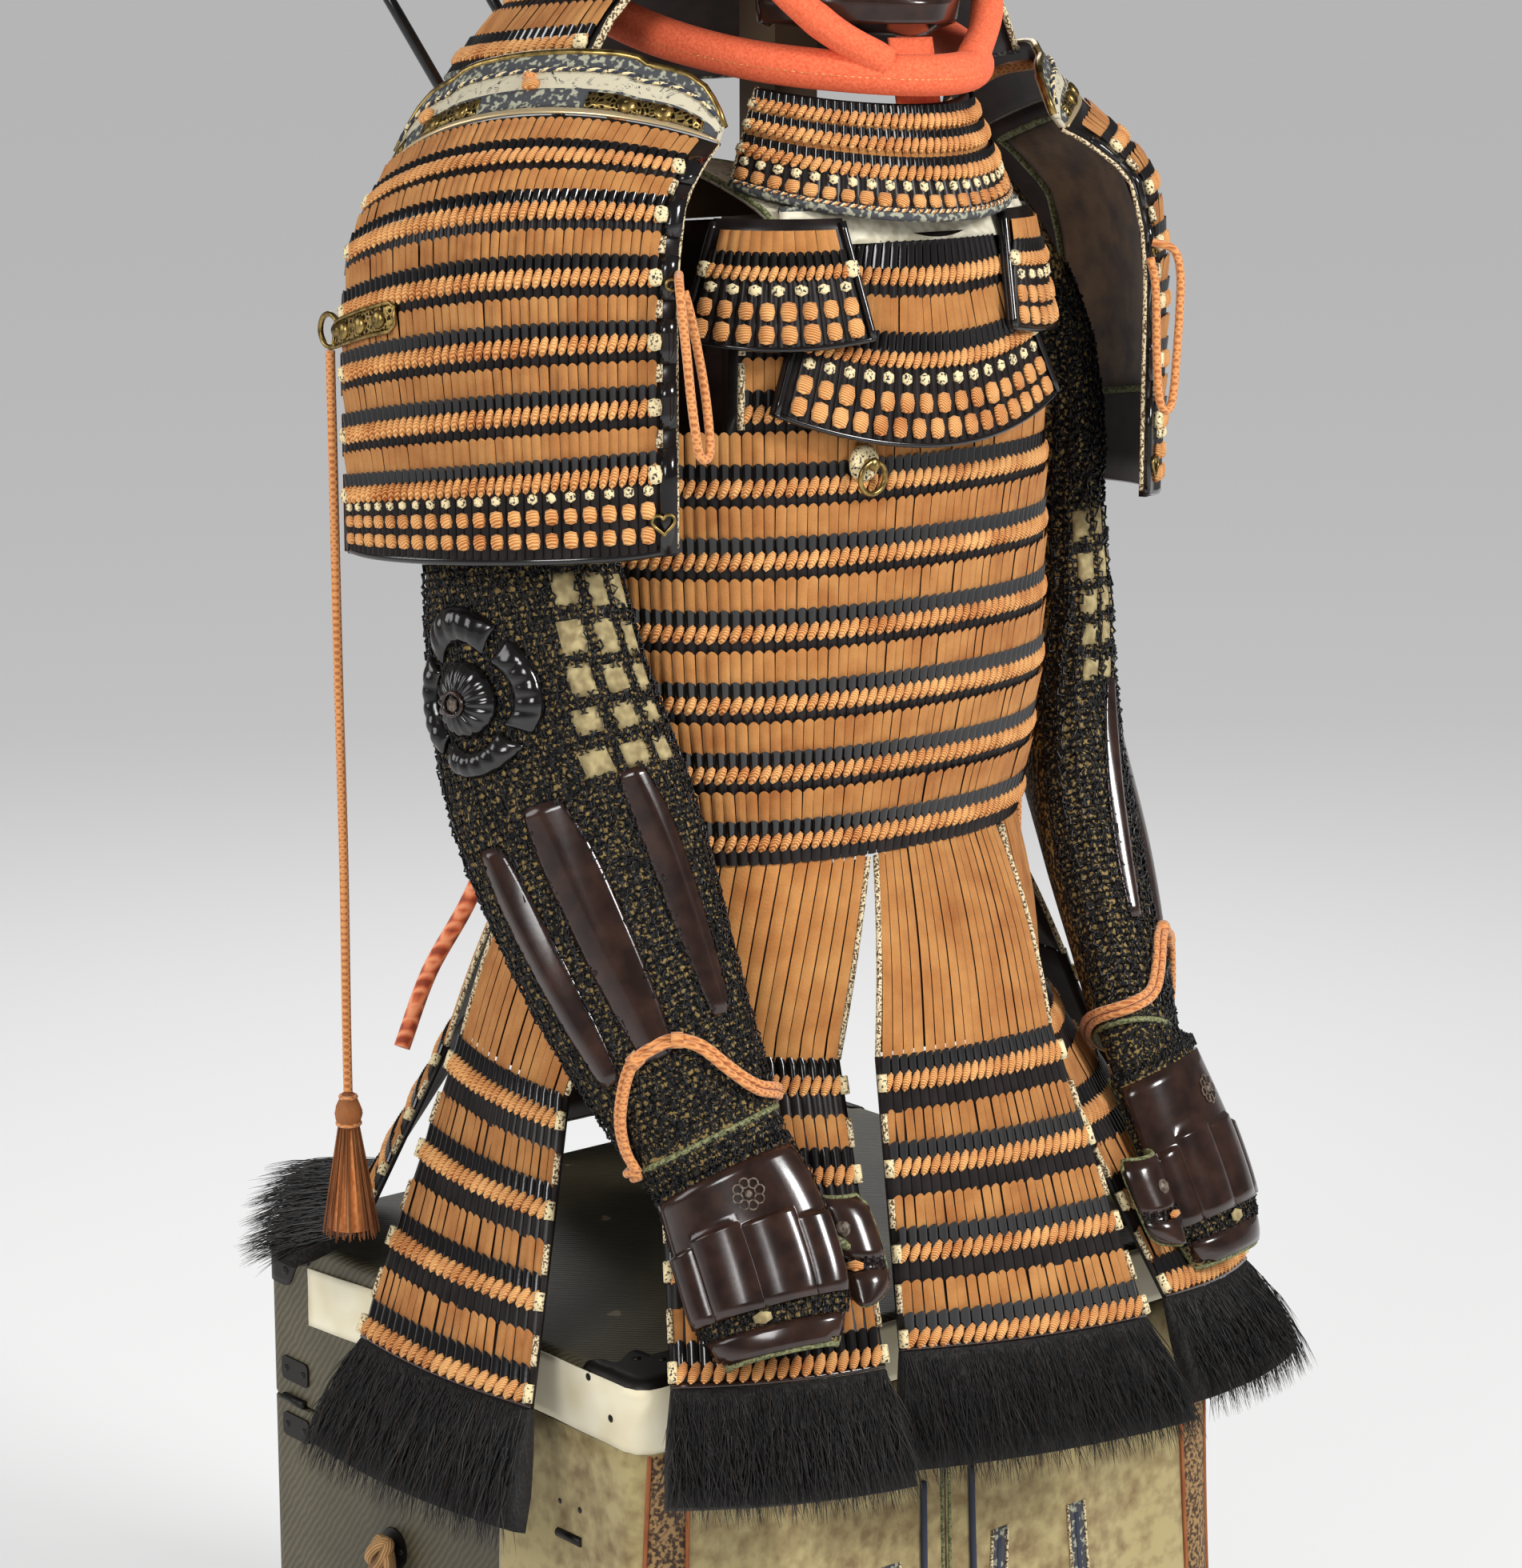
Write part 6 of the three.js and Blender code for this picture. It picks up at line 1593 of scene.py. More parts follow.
def tasselPieces(name, sign, seed):
    x, y, top = tassel["x"] * sign, tassel["y"], tassel["top"]
    profile = [(1, 0), (4, 1), (5.5, 4), (8.4, 10), (9.6, 16), (8.2, 21), (7.0, 25), (3, 26)]
    outline = smoothRoute([(r, 0, -drop) for r, drop in profile], 2)

    def at(turn, k, out):
        r, _, drop = outline[int(k)]
        ripple = 0.35 * math.cos(turn * 9 + drop * 0.5)
        return np.array((x + (r + ripple + out) * math.cos(turn), y + (r + ripple + out) * math.sin(turn), top + drop))

    parts = [gridWall(name + "Head", at, span(0, 2 * math.pi, 27)[:-1], list(range(len(outline))), 0.0, 0.8,
                      look["tassel"], loop=True)]
    for drop, radius in ((3.5, 5.4), (22.5, 7.8)):
        loop = [np.array((x + radius * math.cos(t), y + radius * math.sin(t), top - drop)) for t in span(0, 2 * math.pi, 16)[:-1]]
        parts.append(tube(name + "Binding", loop, 1.6, look["cordSilk"], 6, closed=True))
    rng = random.Random(seed)
    spots = []
    for k in range(tassel["strands"]):
        turn, share = rng.uniform(0, 2 * math.pi), math.sqrt(rng.random())
        away = np.array((math.cos(turn), math.sin(turn), 0))
        root = np.array((x, y, top - 23.5)) + away * 7.2 * share
        tip = np.array((x, y, top - tassel["drop"] + rng.uniform(0, 5))) + away * 21 * share
        down = unit(tip - root)
        right = unit(np.cross(down, away + np.array((0.001, 0, 0))))
        length = float(np.linalg.norm(tip - root))
        spots.append((root, right, -down, np.cross(right, -down), (1.3, length, 1.3)))
    parts.append(layElements(name + "Skirt", elements["strand"], spots, look["tassel"], 0.0, seed))
    core = [np.array((x, y, top - 24)), np.array((x, y, top - 60)), np.array((x, y, top - tassel["drop"] + 7))]
    parts.append(tube(name + "Core", core, lambda t: 5.5 + 10.5 * t, look["tassel"], 20))
    return parts


for side, sign in (("right", -1), ("left", 1)):
    piece = joinObjects(f"tassel_{side}_look", tasselPieces(f"tassel{side.title()}", sign, 500))
    finishPiece(piece, [f"tassel_{side}"])


# Ring on the cuirass front
def frontRingPieces():
    face = douPoint(-20, 1140, 7.0)
    place = np.array((face[0], face[1] - 4.0, face[2] + 10))
    right, up, outward = np.array((1.0, 0, 0)), np.array((0, 0, 1.0)), np.array((0, -1.0, 0))
    ring = [np.array((face[0], face[1] - 10.5 - 0.1 * 11 * math.sin(t), face[2] + 1)) + 11 * (math.cos(t) * right
            + math.sin(t) * up) for t in span(0, 2 * math.pi, 32)[:-1]]
    return [
        tube("washer", [place + outward * d for d in (-2.6, 0.4, 1.6)], lambda t: 13 - 4 * t, look["cream"], 24),
        tube("stud", [place - outward, place + outward * 8], 3.6, look["gilt"], 14),
        domeAt("studHead", place + outward * 8, right, up, outward, 4.8, 2.4, look["gilt"]),
        tube("ring", ring, 1.9, look["gilt"], 10, closed=True),
    ]


finishPiece(joinObjects("front_ring_look", frontRingPieces()), ["front_ring"])
print("stage: tassels and rings")


# Helmet: a ridged bowl of sixteen plates, with a gilt ring at the crown and a brow plate
helmet = {
    "x": 0, "y": -62, "rim": 1524, "a": 116, "b": 138, "high": 128, "wall": 4, "ridges": 16,
    "neck": [(1406, 1.7, 68), (1434, 1.56, 69), (1464, 1.36, 70), (1496, 1.16, 72), (1523.7, 1, 74)],
    "row": {"pitch": 8.2, "body": 9, "rope": 10.5, "head": 9.5, "over": 3, "step": 47.5},
}


def helmetPoint(turn, lift, out):
    c, s = math.cos(math.radians(lift)), math.sin(math.radians(lift))
    t = math.radians(turn)
    return np.array((helmet["x"] + (helmet["a"] + out) * c * math.sin(t),
                     helmet["y"] - (helmet["b"] + out) * c * math.cos(t), helmet["rim"] + (helmet["high"] + out) * s))


def helmetPieces():
    gore = 360 / helmet["ridges"]
    turns = sorted(set(k * gore + d for k in range(helmet["ridges"]) for d in (-1.6, -0.7, 0, 0.7, 1.6, 6, 11.25, 16.5)))

    def ridged(turn, lift):
        off = abs((turn + gore / 2) % gore - gore / 2)
        crest = 3.0 if off < 0.2 else 2.1 if off < 1 else 0.3
        swell = 1.2 * math.sin(math.pi * off / gore) ** 2
        return crest * min(1, lift / 8) * min(1, (86 - lift) / 14) + swell + 0.2

    parts = [gridWall("helmetBowl", helmetPoint, turns, span(0, 82, 13), ridged, helmet["wall"], look["head"],
                      loop=True, insideMaterial=look["inside"])]
    rivets = []
    for k in range(helmet["ridges"]):
        for lift in (5, 12, 19):
            for off in (6.5, 16):
                place, right, up, outward, _ = spotOn(helmetPoint, k * gore + off - 1, k * gore + off + 1, lift - 0.5,
                                                      lift + 0.5, 1.6)
                rivets.append((place, right, up, outward, (4.2, 4.2, 4.2)))
    parts.append(layElements("helmetRivets", elements["bead"], rivets, look["head"], 0.0, 1))
    rim = [helmetPoint(turn, 0.5, 1.2) for turn in span(0, 360, 72)[:-1]]
    parts.append(tube("helmetRim", rim, 3.2, look["gilt"], 8, closed=True))
    top = helmet["rim"] + helmet["high"]
    for k, (radius, low, high) in enumerate(((25, -6, 0), (21, -1, 4), (15, 2, 8), (9, 4, 9))):
        def collar(turn, r, out, radius=radius, low=low, high=high):
            petal = 1 + 0.07 * abs(math.sin(math.radians(turn) * 8))
            reach = (5 + (radius - 5) * r) * (petal if r > 0.8 else 1)
            t = math.radians(turn)
            return np.array((helmet["x"] + reach * math.sin(t), helmet["y"] - reach * math.cos(t),
                             top + high + (low - high) * r ** 2.4 + out))

        parts.append(gridWall(f"crownRing{k}", collar, span(0, 360, 48)[:-1], [0, 0.3, 0.6, 0.8, 0.92, 1.0], 0.4, 1.4,
                              look["gilt"] if k % 2 == 0 else look["head"], loop=True))

    def brow(turn, t, out):
        reach = t * 42 * math.cos(math.radians(turn) * 1.3)
        return helmetPoint(turn, 0, reach - 2 * (1 - t)) + np.array((0, 0, 9 - 15 * t - 3 * t * t + out))

    parts.append(gridWall("browPlate", brow, span(-58, 58, 40), span(0, 1, 6), 1.0, 2.4, look["leather"],
                          insideMaterial=look["brown"]))
    parts.append(tube("browRim", [brow(turn, 1.0, -0.6) for turn in span(-58, 58, 40)], 2.6, look["gilt"], 8))
    stitches = [(turn, 0.82) for turn in span(-48, 48, 30)]
    parts.append(knotsAt("browStitches", brow, stitches, 4.0, 0.05, 1.6, look["cream"], "bead", 2.0))
    return parts


neckTable = np.array(helmet["neck"], float)
neckRises = np.concatenate(([0], np.cumsum(np.hypot(np.diff(neckTable[:, 0]), np.diff(neckTable[:, 1]) * 127))))


def neckPoint(u, v, out):
    z, r, front = (float(np.interp(v, neckRises, neckTable[:, k])) for k in range(3))
    turn = math.radians(front + (360 - 2 * front) * u)
    share = (r - 1) / 0.7
    a = helmet["a"] + (205 - helmet["a"]) * share + out
    b = helmet["b"] + (202 - helmet["b"]) * share + out
    y = helmet["y"] + (-6 - helmet["y"]) * share
    return np.array((a * math.sin(turn), y - b * math.cos(turn), z + 26.4 * math.cos(turn) * (r - 1)))


def neckPieces():
    high = float(neckRises[-1]) - 1
    tops = [float(v) for v in span(0, high, 12)]
    parts = [gridWall("neckShell", neckPoint, span(0, 1, 60), tops, 0.6, 2.8, look["body"],
                      insideMaterial=look["inside"])]
    step = helmet["row"]["step"]
    for k in range(3):
        parts += lacedLame(f"neck{k}", neckPoint, 0.012, 0.988, 3 + k * step, True, 600 + k,
                           min(high, 3 + (k + 1) * step + 3), row=helmet["row"])
        ends = [(0.018, 3 + k * step + 14), (0.982, 3 + k * step + 14)]
        parts.append(knotsAt(f"neckEnds{k}", neckPoint, ends, 10, 11, 5.6, look["cream"]))
    for u in (0.002, 0.998):
        parts.append(edgeBraid("neckSide", [neckPoint(u, v, 1) for v in span(2, high, 14)], 2.8))
    hem = [neckPoint(u, 1.0, 1) for u in span(0, 1, 60)]
    parts.append(tube("neckHem", hem, 3.2, look["leatherDark"], 8))
    return parts


finishPiece(joinObjects("helmet_look", helmetPieces()), ["helmet"])
finishPiece(joinObjects("neck_guard_look", neckPieces()), ["neck_guard"])


# Half mask: a plain calm chin, cheeks and nose
mask = {
    "z": [1428, 1436, 1450, 1464, 1472, 1480, 1500, 1521], "out": [-16, 0, 2, 1, 1, 1, 0, -3],
    "nose": [0, 0, 0, 0, 3, 14, 17, 8], "mouth": [0, 0, 0, -5, -1, 0, 0, 0], "chin": [6, 6, 6, 1, 0, 0, 0, 0],
    "lift": [10, 0, 0, 0, 0, 0, 0, 0],
    "peg": [(60, -138, 1462), (84, -148, 1462), (95, -152, 1463)],
}


def maskPoint(turn, z, out):
    t = math.radians(turn)
    out_, nose, mouth, chin, lift = (float(np.interp(z, mask["z"], mask[key]))
                                     for key in ("out", "nose", "mouth", "chin", "lift"))
    reach = out_ + out + nose * math.exp(-(t / 0.16) ** 2) + mouth * math.exp(-(t / 0.35) ** 2)
    reach += chin * math.exp(-(t / 0.3) ** 2)
    return np.array(((80 + reach) * math.sin(t), -98 - (94 + reach) * math.cos(t), z + lift * (1 - math.cos(t))))


def maskPieces():
    def relief(turn, z):
        t = abs(turn)
        crease = 1.4 * math.exp(-((t - 24 - (1500 - z) * 0.35) / 2.6) ** 2) * (1 if 1455 < z < 1508 else 0)
        lip = 3.0 * math.exp(-((z - 1470.5) / 2.8) ** 2) + 3.0 * math.exp(-((z - 1457) / 3.0) ** 2)
        wing = 3.2 * math.exp(-((t - 12) / 4.5) ** 2) * math.exp(-((z - 1482) / 7) ** 2)
        return crease + lip * math.exp(-(t / 22) ** 4) + wing

    heights = sorted(set([float(z) for z in mask["z"]] + span(1430, 1519, 30)))
    edge = [maskPoint(t, 1521, -1.5) for t in span(-78, 78, 40)]
    parts = [
        gridWall("maskShell", maskPoint, span(-78, 78, 52), heights, relief, 3.0, look["brown"],
                 insideMaterial=look["inside"]),
        # A dark line in the mouth crease between the lip ridges: painted shade of the mouth
        tube("maskLips", [maskPoint(t, 1463.5, 0.6) for t in span(-19, 19, 18)], 1.5, look["twistDark"], 6),
        tube("maskEdge", edge, 2.2, look["brown"], 8),
    ]
    for sign in (-1, 1):
        route = smoothRoute([(p[0] * sign, p[1], p[2]) for p in mask["peg"]], 4)
        parts.append(tube("maskPeg", route, 4, look["gilt"], 12))
        parts.append(tube("maskSide", [maskPoint(78 * sign, z, -1.5) for z in span(1431, 1519, 12)], 2.2,
                          look["brown"], 8))
    return parts


finishPiece(joinObjects("mask_look", maskPieces()), ["mask"])


# Padded chin cord
chinCord = {
    "wide": 27, "cheekWide": 21.6, "under": [
        (-120.9, 40, 1462), (-124.6, -8, 1444), (-116, -66, 1426), (-94, -126, 1413), (-58, -176, 1406),
        (-14, -206, 1403), (32, -202, 1405), (76, -158, 1412), (108, -96, 1424), (122, -30, 1438), (120.9, 36, 1458)],
    "cheek": [(-97, -134, 1508), (-96, -150, 1470), (-72, -176, 1436), (-34, -202, 1408)],
}


def puffy(name, route, wide, seed):
    rng = random.Random(seed)
    knots = [rng.uniform(-0.045, 0.05) for _ in range(12)]

    def radius(t):
        place = t * 11
        low = min(10, int(place))
        share = place - low
        ends = math.sqrt(max(0.03, 1 - max(0.0, 1 - min(t, 1 - t) / 0.035) ** 2))
        return wide / 2 * (1 + knots[low] + (knots[low + 1] - knots[low]) * share) * ends

    return tube(name, smoothRoute(route, 10), radius, look["coralCloth"], 20)


def chinPieces():
    parts = [puffy("chinUnder", chinCord["under"], chinCord["wide"], 1)]
    for sign in (1, -1):
        cheek = [(p[0] * sign, p[1], p[2]) for p in chinCord["cheek"]]
        parts.append(puffy("chinCheek", cheek, chinCord["cheekWide"], 2 + sign))
    route = smoothRoute(chinCord["under"], 13)
    spots = []
    for i in range(6, len(route) - 6):
        along = unit(route[i + 1] - route[i - 1])
        away = unit(np.array((route[i][0], route[i][1] + 60, -26.0)))
        away = unit(away - along * np.dot(away, along))
        spots.append((route[i] + away * 13.5, along, np.cross(away, along), away, (3.2, 0.8, 0.6)))
    parts.append(layElements("chinStitches", elements["bead"], spots, look["rope"], 0.1, 7))
    return parts


piece = finishPiece(joinObjects("chin_cord_look", chinPieces()), ["chin_cord"])
print("stage: helmet and mask")


# Throat guard: three small laced lames under the mask, over a rolled leather edge
throat = {"low": 1312, "tall": 72, "rope": [23, 41, 56.5], "pitch": 6.4}


def throatPoint(turn, v, out):
    t = math.radians(turn)
    reach = 117 - 29 * v / throat["tall"] + out
    rise = (28 - 14 * v / throat["tall"]) * (1 - math.cos(t))
    return np.array((reach * math.sin(t), -104 - reach * math.cos(t), throat["low"] + v + rise))


def throatPieces():
    low, high = -75.5, 75.5

    def stepped(turn, v):
        tops = (38, 54.5, throat["tall"])
        start = 0 if v < tops[0] else tops[0] if v < tops[1] else tops[1]
        return 0.6 + 2.2 * max(0.0, (v - start) / (40 if start == 0 else 17))

    rows = [0, 8, 20, 37.9, 38.1, 46, 54.4, 54.6, 62, 72]
    us = evenSteps(throatPoint, low, high, 30, throat["pitch"])
    parts = [
        gridWall("throatShell", throatPoint, span(-76, 76, 40), rows, stepped, 2.4, look["body"],
                 insideMaterial=look["inside"]),
        ribs("throatBody", throatPoint, us, 3, 25, look["body"], bulge=1.4, outLow=2.2, outTop=3.0, steps=3),
        crossKnots("throatKnots", throatPoint, low, high, 5, 14, 12.6, 3.6, look["rope"], 0.8),
        crossKnots("throatCream", throatPoint, low, high, 15.5, 22.5, 12.6, 4.0, look["cream"], 0.62, "bead"),
    ]
    for k, rope in enumerate(throat["rope"]):
        parts.append(ropeRow(f"throatRope{k}", throatPoint, us, rope, rope + 9, 4.6, look["rope"], seed=k))
        parts.append(ribs(f"throatHeads{k}", throatPoint, us, rope + 7.5, rope + 15, look["head"], bulge=2.3,
                          outLow=2.8, outTop=4.4, steps=3, tip=0.16, width=0.92))
        if k:
            parts.append(ribs(f"throatLaces{k}", throatPoint, us, rope - 4, rope + 1, look["lace"], bulge=1.0,
                              outLow=1.5, outTop=3.0, steps=1, seed=k))
        ends = [(low + 1, rope + 4.5), (high - 1, rope + 4.5)]
        parts.append(knotsAt(f"throatEnds{k}", throatPoint, ends, 9, 9, 5, look["cream"], "bead"))
    roll = [throatPoint(t, -0.5, 1.2) for t in span(-76, 76, 44)]
    parts.append(tube("throatRoll", roll, 3.6, look["leatherDark"], 10))
    for key, shift in (("cream", 0.0), ("twistDark", 2.1), ("rope", 4.2)):
        twist = [throatPoint(t, 3.2 + 0.9 * math.sin(2.3 * t + shift), 4.6 + 0.9 * math.cos(2.3 * t + shift))
                 for t in span(-75, 75, 190)]
        parts.append(tube("throatTwist", twist, 0.85, look[key], 5))
    for turn in (-76, 76):
        parts.append(edgeBraid("throatSide", [throatPoint(turn, v, 0.6) for v in span(0, 72, 10)], 2.2))

    def hanger(x, v, out):
        return np.array((x, -180 - 10.5 * v - out, 1427 - 50 * v))

    parts.append(gridWall("throatHanger", hanger, span(-19, 19, 6), span(0, 1, 6), 1.2, 1.2, look["coralCloth"]))
    return parts


finishPiece(joinObjects("throat_guard_look", throatPieces()), ["throat_guard"])


# Gorget: a leather collar with a fan-shaped laced piece in front and one at each side
gorget = {
    "front": {"azimuth": -4, "x": -4, "y": -200, "top": (1300, 74), "low": (1160, 122), "lowOut": 24, "sag": 26},
    "right": {"azimuth": -40, "x": -112, "y": -177.2, "top": (1312, 42), "low": (1228, 64), "lowOut": 18, "sag": 6},
    "left": {"azimuth": 36, "x": 108, "y": -180, "top": (1312, 42), "low": (1228, 64), "lowOut": 18, "sag": 6},
}


def pendantSurface(spec):
    tall = spec["top"][0] - spec["low"][0]
    c, s = math.cos(math.radians(spec["azimuth"])), math.sin(math.radians(spec["azimuth"]))

    def at(u, h, out):
        v = 1 - h / tall
        half = spec["top"][1] + (spec["low"][1] - spec["top"][1]) * v
        reach = spec["lowOut"] * v - 0.24 * half * u * u + out
        return np.array((spec["x"] + half * u * c + reach * s, spec["y"] + half * u * s - reach * c,
                         spec["low"][0] + h + spec["sag"] * v * u * u))

    return at, tall


def pendantPieces(key, spec, seed):
    surface, tall = pendantSurface(spec)
    big = key == "front"
    levels = sorted(set(span(0, tall, 20 if big else 12)))
    us = evenSteps(surface, -0.93, 0.93, 10, 7.6)
    tops = evenSteps(surface, -0.86, 0.86, tall - 20, 6.6)
    parts = [gridWall(key + "Shell", surface, span(-1, 1, 24), levels, 0.8, 2.8, look["body"],
                      insideMaterial=look["inside"])]
    bands = (5, 19.5, 21.5, 36, 40, 49, 52, 62, 76) if big else (4, 17, 19, 31.5, 35, 42.5, 45, 54, 64)
    parts += [
        ribs(key + "Body", surface, us, 1.5, bands[6] + 1, look["body"], bulge=1.5, outLow=1.6, outTop=3.4, steps=8),
        crossKnots(key + "KnotsA", surface, -0.95, 0.95, bands[0], bands[1], 14.6, 3.8, look["rope"], seed=seed),
        crossKnots(key + "KnotsB", surface, -0.95, 0.95, bands[2], bands[3], 14.6, 4.2, look["rope"], seed=seed + 1),
        crossKnots(key + "KnotsC", surface, -0.95, 0.95, bands[4], bands[5], 14.6, 4.4, look["cream"], 0.66, "bead"),
        ropeRow(key + "Rope", surface, us, bands[6], bands[7], 5.2, look["rope"], seed=seed),
        ribs(key + "Heads", surface, us, bands[7] - 1.5, bands[8], look["head"], bulge=2.5, outLow=3.2, outTop=5.0,
             steps=3, tip=0.14, width=0.92),
    ]
    parts.append(knotsAt(key + "Ends", surface, [(u, bands[6] + 5) for u in (-0.95, 0.95)], 10, 11, 5.4, look["cream"]))
    if big:
        parts += [
            ribs(key + "Laces", surface, evenSteps(surface, -0.84, 0.84, 86, 6.4), 73, 100, look["lace"], bulge=1.6,
                 outLow=3.0, outTop=3.4, steps=4, tip=0.1, width=1.0, seed=seed, uneven=0.9),
            ribs(key + "TopBody", surface, tops, 98, 108, look["body"], bulge=1.4, outLow=3.2, outTop=3.8, steps=1),
            ropeRow(key + "TopRope", surface, tops, 106, 118, 5.0, look["rope"], seed=seed + 2),
            ribs(key + "TopHeads", surface, tops, 117, 136, look["head"], bulge=2.5, outLow=3.2, outTop=4.8, steps=3,
                 tip=0.12, width=0.9),
        ]
        for u in (-0.875, 0.875):
            parts.append(edgeBraid(key + "Braid", [surface(u, h, 4.4) for h in span(74, 98, 5)], 3.2))
    else:
        parts.append(ribs(key + "Laces", surface, evenSteps(surface, -0.86, 0.86, 70, 7.4), 61, 77, look["lace"],
                          bulge=1.6, outLow=3.0, outTop=3.0, steps=3, width=1.0, seed=seed, uneven=0.6))
    for u in (-0.985, 0.985):
        parts.append(tube(key + "Side", [surface(u, h, 2.2) for h in span(1, tall - 2, 14)], 2.6, look["head"], 8))
    parts.append(tube(key + "Hem", [surface(u, 1.2, 1.6) for u in span(-1, 1, 30)], 2.0, look["head"], 8))
    return parts


def collarPoint(turn, t, out):
    base = douPoint(turn, 1300, 24 - 12 * t + out)
    return np.array((base[0], base[1], 1295 + 22 * t))


gorgetParts = [
    gridWall("collar", collarPoint, span(-40, 40, 36), span(0, 1, 4), 0.4, 3.6, look["collar"],
             insideMaterial=look["brown"]),
    tube("collarEdge", [collarPoint(t, 1.0, -1.6) for t in span(-40, 40, 36)], 2.6, look["leatherDark"], 8),
]
for k, (key, spec) in enumerate(gorget.items()):
    gorgetParts += pendantPieces(key, spec, 700 + 10 * k)
finishPiece(joinObjects("gorget_look", gorgetParts), ["gorget"])
print("stage: throat and collar")


# Storage chest: body and lid with a seam, iron corners, clasps and rope handles
case = {
    "corner": 16, "bevel": 7, "lidLow": 431, "neck": 3, "handle": {"high": 352, "half": 62, "drop": 78, "wide": 13},
    "clasp": [((446, 464), 1), ((402, 420), 1)],
}


def planPoint(corner, s, inset):
    round_ = max(0.6, case["corner"] - inset)
    across, along = chest["width"] / 2 - inset, chest["depth"] / 2 - inset
    bend = case["corner"] * math.pi / 4
    turn = math.radians(45 + 45 * max(-1, min(1, s / bend)))
    x = across - round_ + round_ * math.cos(turn)
    y = along - round_ + round_ * math.sin(turn)
    if s > bend:
        x -= s - bend
    if s < -bend:
        y -= -s - bend
    return x * corner[0], y * corner[1]


# Height t runs up the side, round the lid's bevel and in over the top
def lidPoint(corner, s, t, out):
    bevel = case["bevel"]
    edge = chest["height"] - bevel
    quarter = bevel * math.pi / 2
    if t < 0:
        inset, z = -out, edge + t
    elif t < quarter:
        turn = t / bevel
        inset, z = bevel - (bevel + out) * math.cos(turn), edge + (bevel + out) * math.sin(turn)
    else:
        inset, z = bevel + t - quarter, chest["height"] + out
    x, y = planPoint(corner, s, inset)
    return np.array((x, y, z))


def boxShell(name, levels, material):
    plan = []
    for corner, step in (((1, 1), 1), ((-1, 1), -1), ((-1, -1), 1), ((1, -1), -1)):
        for s in [step * v for v in (-12.57, -7.5, -2.5, 2.5, 7.5, 12.57)]:
            plan.append((corner, s))
    rings = [[(*planPoint(corner, s, inset), z) for corner, s in plan] for inset, z in levels]
    count = len(plan)
    points = [p for ring in rings for p in ring]
    faces = [tuple(reversed(range(count))), tuple(range(len(points) - count, len(points)))]
    for r in range(len(rings) - 1):
        for i in range(count):
            j = (i + 1) % count
            faces.append((r * count + i, r * count + j, (r + 1) * count + j, (r + 1) * count + i))
    return makeObject(name, points, faces, material, smooth=False)


def cornerPlate(name, corner, low, high, deep):
    def trimmed(s, t, out):
        share = abs(s) / 58
        notch = 0.36 + 0.64 / (1 + math.exp((share - 0.62) * 22))
        end = math.sqrt(max(0.0, 1 - max(0.0, (share - 0.88) / 0.12) ** 2)) * 0.5 + 0.5
        place = low + (high - low) * t
        reach = place * notch * end if deep else place
        return lidPoint(corner, s, reach, out)

    us = span(-58, 58, 40)
    parts = [gridWall(name, trimmed, us, span(0, 1, 16), 1.3, 0.2, look["iron"])]
    for s, t in ((-50, 0.42), (50, 0.42), (-26, 0.14), (26, 0.14), (-24, 0.86), (24, 0.86)):
        place, right, up, outward, _ = spotOn(trimmed, s - 1, s + 1, t - 0.01, t + 0.01, 1.3)
        parts.append(domeAt(name + "Rivet", place, right, up, outward, 3.4, 1.6, look["iron"]))
    return parts


def sidePlate(name, x, y, z, wide, tall, round_=4):
    sign = 1 if x > 0 else -1
    profile = []
    for cy, cz, start in ((1, 1, 0), (-1, 1, 90), (-1, -1, 180), (1, -1, 270)):
        for k in range(4):
            turn = math.radians(start + 30 * k)
            profile.append((y + cy * (wide / 2 - round_) + round_ * math.cos(turn),
                            z + cz * (tall / 2 - round_) + round_ * math.sin(turn)))
    count = len(profile)
    points = [(x, *p) for p in profile] + [(x + 1.8 * sign, *p) for p in profile]
    front, back = tuple(range(count, 2 * count)), tuple(reversed(range(count)))
    faces = [front, back] + [(i, (i + 1) % count, (i + 1) % count + count, i + count) for i in range(count)]
    if sign < 0:
        faces = [tuple(reversed(face)) for face in faces]
    parts = [makeObject(name, points, faces, look["iron"], smooth=False)]
    for dy in (-wide / 2 + 6, wide / 2 - 6):
        parts.append(domeAt(name + "Rivet", np.array((x + 1.8 * sign, y + dy, z)), np.array((0, 1.0 * sign, 0)),
                            np.array((0, 0, 1.0)), np.array((1.0 * sign, 0, 0)), 2.6, 1.2, look["iron"]))
    return parts


def ropeHandle(name, sign):
    spec = case["handle"]
    x = sign * (chest["width"] / 2 + 10)
    high, half, drop = spec["high"], spec["half"], spec["drop"]
    route = smoothRoute([(x, half, high), (x + 2 * sign, half * 0.86, high - drop * 0.6), (x + 3 * sign, half * 0.4, high - drop),
                         (x + 3 * sign, -half * 0.4, high - drop), (x + 2 * sign, -half * 0.86, high - drop * 0.6),
                         (x, -half, high)], 14)
    parts = []
    for shift in (0, 2.1, 4.2):
        strand = []
        for i, point in enumerate(route):
            turn = i * 0.62 + shift
            strand.append(point + 3.4 * np.array((math.cos(turn), math.sin(turn), 0.5 * math.sin(turn))))
        parts.append(tube(name + "Strand", strand, 3.5, look["handle"], 8))
    for y in (half, -half):
        for k in range(3):
            loop = [np.array((x + sign * (1 + 1.5 * k) + 5 * math.cos(t) * 0.6, y + (13 - 2 * k) * math.cos(t + k),
                              high + 4 * k - 3 + (15 - 3 * k) * math.sin(t))) for t in span(0, 2 * math.pi, 22)[:-1]]
            parts.append(tube(name + "Knot", loop, 4.6, look["handle"], 8, closed=True))
        parts += sidePlate(name + "Plate", sign * chest["width"] / 2, y, high + 4, 30, 30, 14)
    return parts


